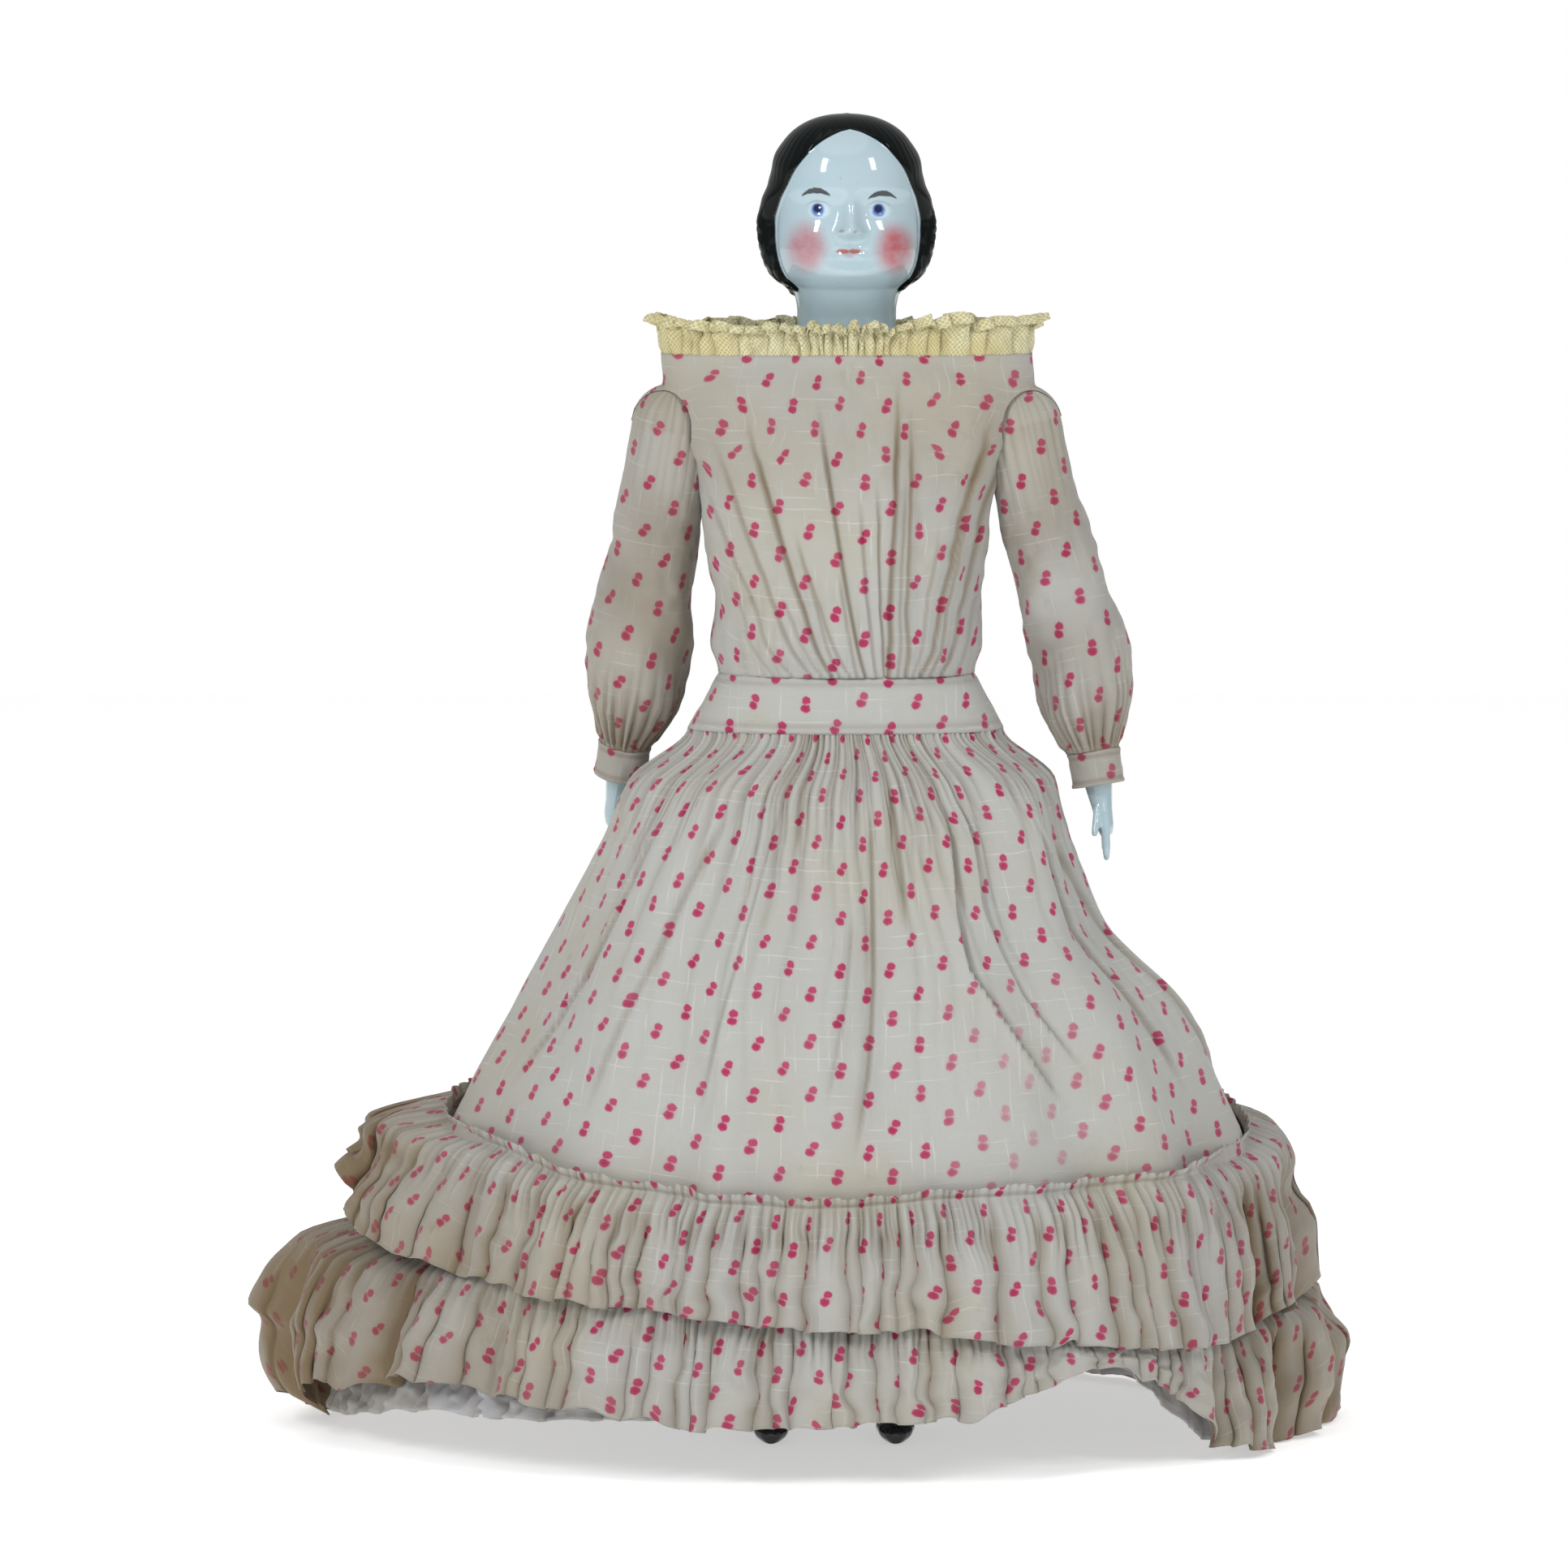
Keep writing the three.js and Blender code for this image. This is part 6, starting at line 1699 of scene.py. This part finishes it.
def make_sleeve(side, sign, seed):
    shoulder, elbow, upper, fore = limb_ends(side)
    columns, rows = 200, 130
    angle = ring_angles(columns)
    turn = angle / TURN
    top_gathers, low_gathers, twists = (
        gathers(26, seed, 0.5), gathers(24, seed + 1, 0.5), crumple(6, 5, seed + 2)
    )
    dents = crumple(24, 26, seed + 3)
    length = UPPER_ARM_LENGTH + SLEEVE_BELOW_ELBOW
    cap = 14.03
    # heights holds each row's painted shade, darker in the valleys of the gathers and twists
    centres, alongs, radii, heights = [], [], [], []
    for share in np.linspace(-0.09, 1, rows):
        if share < 0:
            turned = math.radians(90 + 76 * share / -0.09)
            centres.append(shoulder + upper * (cap * math.cos(turned) * MM))
            alongs.append(upper)
            radii.append(
                np.full(columns, cap * math.sin(turned)) + 0.3 * (top_gathers(turn) - 0.6) * math.sin(turned)
            )
            heights.append(0.12 - 0.3 * (top_gathers(turn) - 0.5))
            continue
        past = share * length - UPPER_ARM_LENGTH
        bend = rise(-SLEEVE_RADIUS, SLEEVE_RADIUS, past)
        centre = elbow + (fore if past > 0 else upper) * (past * MM)
        sag = Vector((0, 0, -1.2 * MM)) * hump(share, 0.86, 0.1)
        centres.append(centre + sag)
        alongs.append(upper.lerp(fore, float(bend)).normalized())
        ring = np.full(columns, SLEEVE_RADIUS * sleeve_full(np.float64(share)))
        swirl = twists(turn + 0.45 * share * sign, share)
        top_fold = top_gathers(turn + 0.03 * share) - 0.5
        low_fold = low_gathers(turn + 0.02 * share) - 0.55
        top_here, low_here = (
            0.6 * rise(0.34, 0.0, share), 2.6 * rise(0.62, 0.95, share) * rise(1.0, 0.97, share)
        )
        body = 2.0 * rise(0.1, 0.35, share) * rise(0.98, 0.85, share) + 0.6 * rise(0.0, 0.1, share)
        ring = ring + top_here * top_fold + low_here * low_fold + body * swirl + 0.22 * dents(
            turn + 0.3 * share * sign, share
        ) * body
        radii.append(ring + 0.4)
        heights.append(
            0.12 + 0.14 * rise(0.0, 0.5, share) - 0.3 * top_fold * rise(0.34, 0, share)
            - 0.8 * low_fold * rise(0.7, 0.95, share) - 0.25 * swirl
        )
    points = tube_points(centres, alongs, np.array(radii) * MM, angle)
    name = f"sleeve_cloth_{side}"
    piece = hang_cloth(name, points, fanned(points, own=1.0), True, 0.45)
    store(piece, "painted_shade", np.array(heights))
    along = np.linspace(-0.09, 1, rows)[:, None]
    brown = 0.3 if sign < 0 else 0.12
    # stain, browner on the right sleeve, and darker towards the cuff
    store(piece, "stain_and_shade", brown + 0.35 * rise(0.75, 1, along) + 0 * np.array(heights))
    store(piece, "worn", 0 * np.array(heights))
    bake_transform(piece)
    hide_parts(f"sleeve_{side}")

    columns, rows = 140, 18
    angle = ring_angles(columns)
    share = np.linspace(0, 1, rows)
    wrinkle = crumple(22, 4, seed + 5)
    centres = [elbow + fore * ((SLEEVE_BELOW_ELBOW + 0.1 + CUFF_LENGTH * s) * MM) for s in share]
    radii = (
        [CUFF_RADIUS + 0.25 * wrinkle(angle / TURN,
        s) + 0.35 * (hump(s, 0.06, 0.06) + hump(s, 0.95, 0.05)) for s in share]
    )
    points = tube_points(centres, [fore] * rows, np.array(radii) * MM, angle)
    piece = hang_cloth(f"cuff_band_{side}", points, fanned(points, own=1.0), True, 0.9)
    store(
        # painted shade: two darker lines near the cuff's edges
        piece,
        "painted_shade",
        0.4 * (hump(share, 0.15, 0.05) + hump(share, 0.85, 0.05))[:, None] + np.zeros((rows, columns)),
    )
    store(piece, "stain_and_shade", np.full((rows, columns), 0.35))
    store(piece, "worn", np.zeros((rows, columns)))
    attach(piece, f"forearm_{side}")
    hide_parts(f"cuff_{side}")


def make_head():
    rows, fields = head_rows(256)
    crown = np.array([AXIS.x, AXIS.y, (CHIN_HEIGHT + HEAD_HEIGHT + HAIR_LIFT - 0.9) * MM])
    inside_top = np.array([AXIS.x, AXIS.y, (CHIN_HEIGHT + HEAD_HEIGHT - PORCELAIN_WALL - 0.6) * MM])
    piece, ring, column = shape_sphere("shoulder_head_glazed", rows, (crown, inside_top))
    count = len(rows)
    field = fields[np.clip(ring, 0, count - 1), column]
    field[ring < 0] = 1.0
    store(piece, "hair", 0.5 + field * 8)
    holes = []
    for x in (-26, 26):
        for face in (-1, 1):
            start = Vector((AXIS.x + x * MM, AXIS.y + face * 12 * MM, (RIM_HEIGHT + 6) * MM))
            end = Vector((AXIS.x + x * MM, AXIS.y + face * 30 * MM, (RIM_HEIGHT + 6) * MM))
            holes.append(cylinder_between(start, end, 1.5 * MM))
    cut_away(piece, holes)
    bpy.ops.object.shade_smooth()
    dress_piece(piece, "china_glaze", "root", "glazed_china", "shoulder_head")
    piece.data.materials.append(finish_of("hair_glaze"))
    black = np.empty(len(piece.data.vertices), np.float32)
    piece.data.attributes["hair"].data.foreach_get("value", black)
    for face in piece.data.polygons:
        face.material_index = int(black[face.vertices[0]] > 0.5)


def make_limbs():
    for side, sign in SIDES:
        arm = copy_of_solid(f"china_forearm_{side}", f"china_forearm_glazed_{side}", 0.42, 5)
        dress_piece(arm, "limb_glaze", f"forearm_{side}", "glazed_china", f"china_forearm_{side}")
        leg = copy_of_solid(f"china_leg_{side}", f"china_leg_glazed_{side}", 0.6, 6)
        points = place_of(leg)
        store(leg, "boot", 0.5 + (29 * MM - points[:, 2] + 1.5 * MM * np.sin(points[:, 1] * 300)) / (6 * MM))
        dress_piece(leg, "limb_glaze", f"leg_{side}", "glazed_china", f"china_leg_{side}")


STUFFED = [
    ("torso", "torso_stuffed", "root", 1.8),
    ("upper_arm_{}", "upper_arm_stuffed_{}", "arm_{}", 1.0),
    ("forearm_cloth_{}", "forearm_stuffed_{}", "forearm_{}", 1.0),
    ("thigh_{}", "thigh_stuffed_{}", "thigh_{}", 1.3),
    ("calf_cloth_{}", "calf_stuffed_{}", "leg_{}", 1.1),
]


def make_stuffed_body():
    for node, name, body, voxel in STUFFED:
        for side in ("left", "right") if "{}" in node else ("",):
            piece = copy_of_solid(node.format(side), name.format(side), voxel, 6)
            points, out = place_of(piece), directions_of(piece)
            lumpy = np.sin(points @ np.array([310.0, 170, 90])) * np.sin(
                points @ np.array([-120.0, 260, 210])
            )
            fine = np.sin(points @ np.array([900.0, -500, 700])) * np.sin(
                points @ np.array([400.0, 800, -600])
            )
            move_to(piece, points + out * ((0.22 * lumpy + 0.07 * fine - 0.2) * MM)[:, None])
            dress_piece(piece, "muslin", body.format(side), "muslin", node.format(side))


def joined(pieces, name):
    deselect()
    for piece in pieces:
        piece.select_set(True)
    bpy.context.view_layer.objects.active = pieces[0]
    bpy.ops.object.join()
    return settle(pieces[0], name)


def tape_strip(start, along, out, length, width, droop):
    """A short flat end of tape, pulled out of a small plane."""
    deselect()
    bpy.ops.mesh.primitive_grid_add(x_subdivisions=3, y_subdivisions=10, size=1)
    strip = bpy.context.object
    points = place_of(strip)
    across = along.cross(out).normalized()
    share = points[:, 1] + 0.5
    offset = np.outer(points[:, 0] * width * MM, across) + np.outer(share * length * MM, along)
    offset += np.outer(np.sin(share * math.pi) * droop * MM, out)
    move_to(strip, np.array(start) + offset)
    wall = strip.modifiers.new("wall", "SOLIDIFY")
    wall.thickness, wall.offset = 0.3 * MM, 0
    apply_modifiers(strip)
    return strip


def make_tapes():
    for side, sign in SIDES:
        for face, toward in (("front", -1), ("back", 1)):
            node = f"plate_tape_{face}_{side}"
            low, high = (Vector(corner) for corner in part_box(node))
            centre = (
                Vector(((low.x + high.x) / 2, (low.y if toward < 0 else high.y) - toward * 2 * MM,
                (low.z + high.z) / 2))
            )
            out = Vector((0, toward, 0))
            deselect()
            bpy.ops.mesh.primitive_torus_add(
                major_segments=36, minor_segments=14, major_radius=1.15 * MM, minor_radius=0.75 * MM,
                location=centre,
                rotation=(math.radians(90), math.radians(24), 0),
            )
            parts = [bpy.context.object]
            deselect()
            bpy.ops.mesh.primitive_uv_sphere_add(
                segments=20, ring_count=12, radius=1.15 * MM, location=centre
            )
            bpy.context.object.scale = (1.15, 0.8, 0.9)
            parts.append(bpy.context.object)
            parts.append(cylinder_between(centre, centre - out * 4.6 * MM, 1.1 * MM))
            for lean in (-0.5, 0.55):
                along = Vector((lean, 0, -1)).normalized()
                parts.append(tape_strip(centre + out * 0.4 * MM, along, out, 4.4, 1.6, 0.5))
            piece = joined(parts, f"sewing_tape_{face}_{side}")
            dress_piece(piece, "cotton_tape", "root", "cotton_tape", node)
        for limb, body in (("arm", "forearm"), ("leg", "leg")):
            node = f"{limb}_tape_{side}"
            make_wound_tape(node, f"wound_tape_{limb}_{side}", f"{body}_{side}", limb, side)


def make_wound_tape(node, name, body, limb, side):
    """Three turns of narrow tape, where a cloth limb is tied over its porcelain."""
    low, high = (Vector(corner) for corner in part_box(node))
    centre = (low + high) / 2
    if limb == "arm":
        along = limb_ends(side)[3]
        radius = 8.49
    else:
        along = (joint_place(f"hip_{side}") - joint_place(f"knee_{side}")).normalized()
        radius = 9.27
    turnway = Vector((0, 0, 1)).rotation_difference(along)
    parts = []
    for k, tilt in ((-1, 0.05), (0, -0.04), (1, 0.03)):
        deselect()
        bpy.ops.mesh.primitive_torus_add(
            major_segments=72, minor_segments=12, major_radius=(radius + 0.55) * MM, minor_radius=0.6 * MM
        )
        band = bpy.context.object
        band.scale = (1, 1, 1.15)
        bpy.ops.object.transform_apply(location=False, rotation=False, scale=True)
        band.rotation_mode = "QUATERNION"
        band.rotation_quaternion = turnway @ Matrix.Rotation(tilt, 3, "X").to_quaternion()
        band.location = centre + along * k * 1.22 * MM
        bpy.ops.object.transform_apply(location=True, rotation=True, scale=True)
        parts.append(band)
    piece = joined(parts, name)
    dress_piece(piece, "cotton_tape", body, "cotton_tape", node)


def make_buttons():
    for k in range(4):
        node = f"button_{k + 1}"
        low, high = (Vector(corner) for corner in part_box(node))
        centre = (low + high) / 2
        deselect()
        bpy.ops.mesh.primitive_cylinder_add(vertices=48, radius=2.95 * MM, depth=1.4 * MM, location=centre,
                                            rotation=(math.radians(-90), 0, 0))
        piece = bpy.context.object
        bpy.ops.object.transform_apply(location=True, rotation=True, scale=True)
        bpy.ops.object.mode_set(mode="EDIT")
        bpy.ops.mesh.select_mode(type="FACE")
        bpy.ops.mesh.select_all(action="DESELECT")
        bpy.ops.object.mode_set(mode="OBJECT")
        for face in piece.data.polygons:
            face.select = face.normal.y > 0.9
        bpy.ops.object.mode_set(mode="EDIT")
        bpy.ops.mesh.inset(thickness=0.75 * MM, depth=0)
        bpy.ops.mesh.inset(thickness=0.2 * MM, depth=-0.45 * MM)
        bpy.ops.object.mode_set(mode="OBJECT")
        holes = []
        for x, z in ((0.62, 0.62), (-0.62, 0.62), (0.62, -0.62), (-0.62, -0.62)):
            at = centre + Vector((x, 0, z)) * MM
            holes.append(cylinder_between(at - Vector((0, 0.002, 0)), at + Vector((0, 0.002, 0)), 0.32 * MM))
        cut_away(piece, holes)
        bevel = piece.modifiers.new("soft edge", "BEVEL")
        bevel.width, bevel.segments, bevel.limit_method = 0.18 * MM, 3, "ANGLE"
        apply_modifiers(piece)
        settle(piece, f"china_button_{k + 1}")
        bpy.ops.object.shade_smooth_by_angle(angle=math.radians(40))
        dress_piece(piece, "button_china", "root", "button_china", node)


# Stage


def make_stage():
    stage = bpy.context.scene.doll_stage
    deselect()
    bpy.ops.mesh.primitive_plane_add(size=6, location=(0, 0, -0.0004))
    floor = bpy.context.object
    floor.name = "pale_floor"
    material = bpy.data.materials.new("pale_floor")
    material.use_nodes = True
    shader = material.node_tree.nodes["Principled BSDF"]
    shader.inputs["Base Color"].default_value = (1.0, 1.0, 1.0, 1)
    shader.inputs["Roughness"].default_value = 0.85
    shader.inputs["Specular IOR Level"].default_value = 0.2
    shader.inputs["Emission Color"].default_value = (1, 1, 1, 1)
    shader.inputs["Emission Strength"].default_value = FLOOR_GLOW
    floor.data.materials.append(material)

    scene = bpy.context.scene
    world = bpy.data.worlds.new("pale_room")
    scene.world = world
    world.use_nodes = True
    tree = world.node_tree
    backdrop = tree.nodes["Background"]
    camera_ray = tree.nodes.new("ShaderNodeLightPath").outputs["Is Camera Ray"]
    strength = calc(tree, "ADD", product(tree, camera_ray, 1.0 - WORLD_LIGHT), WORLD_LIGHT)
    backdrop.inputs["Color"].default_value = (1, 1, 1, 1)
    tree.links.new(strength, backdrop.inputs["Strength"])
    scene.view_settings.view_transform = "Standard"
    scene.view_settings.look = "None"

    data = bpy.data.lights.new("overhead_light", "SUN")
    data.energy, data.angle = OVERHEAD * stage.lamp, math.radians(60)
    lamp = bpy.data.objects.new("overhead_light", data)
    scene.collection.objects.link(lamp)
    lamp.rotation_euler = (math.radians(14), math.radians(-6), 0)

    for name, place, size, power in SOFTBOXES:
        data = bpy.data.lights.new(name, "AREA")
        data.shape, data.size, data.size_y = "RECTANGLE", size[0], size[1]
        data.energy = power * stage.lamp
        lamp = bpy.data.objects.new(name, data)
        scene.collection.objects.link(lamp)
        lamp.location = place
        aim = Vector((0, 0, 0.25)) - Vector(place)
        lamp.rotation_euler = aim.to_track_quat("-Z", "Y").to_euler()

    data = bpy.data.cameras.new("camera")
    data.lens, data.sensor_width = 199.3, 36.0
    data.clip_start = 0.01
    camera = bpy.data.objects.new("camera", data)
    scene.collection.objects.link(camera)
    target = Vector((AIM[0], AIM[1], AIM[2]))
    away = Vector((0, -math.cos(stage.elevation), math.sin(stage.elevation)))
    camera.location = target + away * stage.distance
    camera.rotation_euler = (-away).to_track_quat("-Z", "Y").to_euler()
    scene.camera = camera


WORLD_LIGHT = 0.34
OVERHEAD = 0.55
FLOOR_GLOW = 0.47
AIM = (-0.0042, -0.0126, 0.2259)
SOFTBOXES = [
    ("softbox_left", (-0.95, -1.25, 1.15), (0.26, 0.7), 12.0),
    ("softbox_right", (1.05, -1.15, 1.2), (0.24, 0.62), 8.5),
]



# Operators, one for each piece or group of like pieces


class DOLL_OT_shoulder_head(bpy.types.Operator):
    """Porcelain head, neck and shoulder plate in one hollow piece"""

    bl_idname = "doll.shoulder_head"
    bl_label = "Shoulder head"
    bl_options = {"REGISTER", "UNDO"}

    def execute(self, context):
        make_head()
        return {"FINISHED"}


class DOLL_OT_china_limbs(bpy.types.Operator):
    """Porcelain forearms with hands and lower legs with boots"""

    bl_idname = "doll.china_limbs"
    bl_label = "China limbs"
    bl_options = {"REGISTER", "UNDO"}

    def execute(self, context):
        make_limbs()
        return {"FINISHED"}


class DOLL_OT_stuffed_body(bpy.types.Operator):
    """Muslin torso, arms and legs, stuffed firm"""

    bl_idname = "doll.stuffed_body"
    bl_label = "Stuffed body"
    bl_options = {"REGISTER", "UNDO"}

    def execute(self, context):
        make_stuffed_body()
        return {"FINISHED"}


class DOLL_OT_tapes(bpy.types.Operator):
    """Knotted tapes through the shoulder plate and tapes wound round the limbs"""

    bl_idname = "doll.tapes"
    bl_label = "Tapes"
    bl_options = {"REGISTER", "UNDO"}

    def execute(self, context):
        make_tapes()
        return {"FINISHED"}


class DOLL_OT_petticoat(bpy.types.Operator):
    """White cotton petticoat with its frill"""

    bl_idname = "doll.petticoat"
    bl_label = "Petticoat"
    bl_options = {"REGISTER", "UNDO"}

    def execute(self, context):
        make_petticoat()
        return {"FINISHED"}


class DOLL_OT_skirt(bpy.types.Operator):
    """Gathered skirt of printed cotton"""

    bl_idname = "doll.skirt"
    bl_label = "Skirt"
    bl_options = {"REGISTER", "UNDO"}

    def execute(self, context):
        make_skirt()
        return {"FINISHED"}


class DOLL_OT_flounces(bpy.types.Operator):
    """Two gathered flounces round the skirt"""

    bl_idname = "doll.flounces"
    bl_label = "Flounces"
    bl_options = {"REGISTER", "UNDO"}

    def execute(self, context):
        make_flounces()
        return {"FINISHED"}


class DOLL_OT_bodice(bpy.types.Operator):
    """Pleated bodice and plain yoke, open down the back"""

    bl_idname = "doll.bodice"
    bl_label = "Bodice and yoke"
    bl_options = {"REGISTER", "UNDO"}

    def execute(self, context):
        make_bodice()
        return {"FINISHED"}


class DOLL_OT_buttons(bpy.types.Operator):
    """Four small china buttons down the back"""

    bl_idname = "doll.buttons"
    bl_label = "Buttons"
    bl_options = {"REGISTER", "UNDO"}

    def execute(self, context):
        make_buttons()
        return {"FINISHED"}


class DOLL_OT_sleeves(bpy.types.Operator):
    """Full sleeves shaped round the bend of the elbow, each with its cuff"""

    bl_idname = "doll.sleeves"
    bl_label = "Sleeves and cuffs"
    bl_options = {"REGISTER", "UNDO"}

    def execute(self, context):
        make_sleeves()
        return {"FINISHED"}


class DOLL_OT_neck_frill(bpy.types.Operator):
    """Ruffled cream net round the neck"""

    bl_idname = "doll.neck_frill"
    bl_label = "Neck frill"
    bl_options = {"REGISTER", "UNDO"}

    def execute(self, context):
        make_neck_frill()
        return {"FINISHED"}


class DOLL_OT_stage(bpy.types.Operator):
    """Pale floor, pale room, soft lamps and the camera"""

    bl_idname = "doll.stage"
    bl_label = "Stage"
    bl_options = {"REGISTER", "UNDO"}

    def execute(self, context):
        make_stage()
        return {"FINISHED"}


def make_sleeves():
    for side, sign in SIDES:
        make_sleeve(side, sign, 111 if sign > 0 else 131)


OPERATORS = (
    DOLL_OT_shoulder_head,
    DOLL_OT_china_limbs,
    DOLL_OT_stuffed_body,
    DOLL_OT_tapes,
    DOLL_OT_petticoat,
    DOLL_OT_skirt,
    DOLL_OT_flounces,
    DOLL_OT_bodice,
    DOLL_OT_buttons,
    DOLL_OT_sleeves,
    DOLL_OT_neck_frill,
    DOLL_OT_stage,
)
SETTINGS = {"doll_china": DollChina, "doll_dress": DollDress, "doll_stage": DollStage}


class DOLL_PT_panel(bpy.types.Panel):
    """Lists the doll's settings and pieces"""

    bl_idname = "DOLL_PT_panel"
    bl_label = "China head doll"
    bl_space_type = "VIEW_3D"
    bl_region_type = "UI"
    bl_category = "Doll"

    def draw(self, context):
        for name, group_class in SETTINGS.items():
            box = self.layout.box()
            for key in group_class.__annotations__:
                box.prop(getattr(context.scene, name), key)
        for operator in OPERATORS:
            self.layout.operator(operator.bl_idname)


def register():
    for group_class in (*SETTINGS.values(), *OPERATORS, DOLL_PT_panel):
        bpy.utils.register_class(group_class)
    for name, group_class in SETTINGS.items():
        setattr(bpy.types.Scene, name, bpy.props.PointerProperty(type=group_class))


def unregister():
    for name in SETTINGS:
        delattr(bpy.types.Scene, name)
    for group_class in reversed((*SETTINGS.values(), *OPERATORS, DOLL_PT_panel)):
        bpy.utils.unregister_class(group_class)


def main():
    register()
    make_effects()
    for operator in OPERATORS:
        getattr(bpy.ops.doll, operator.bl_idname.split(".")[1])()


if __name__ == "__main__":
    main()
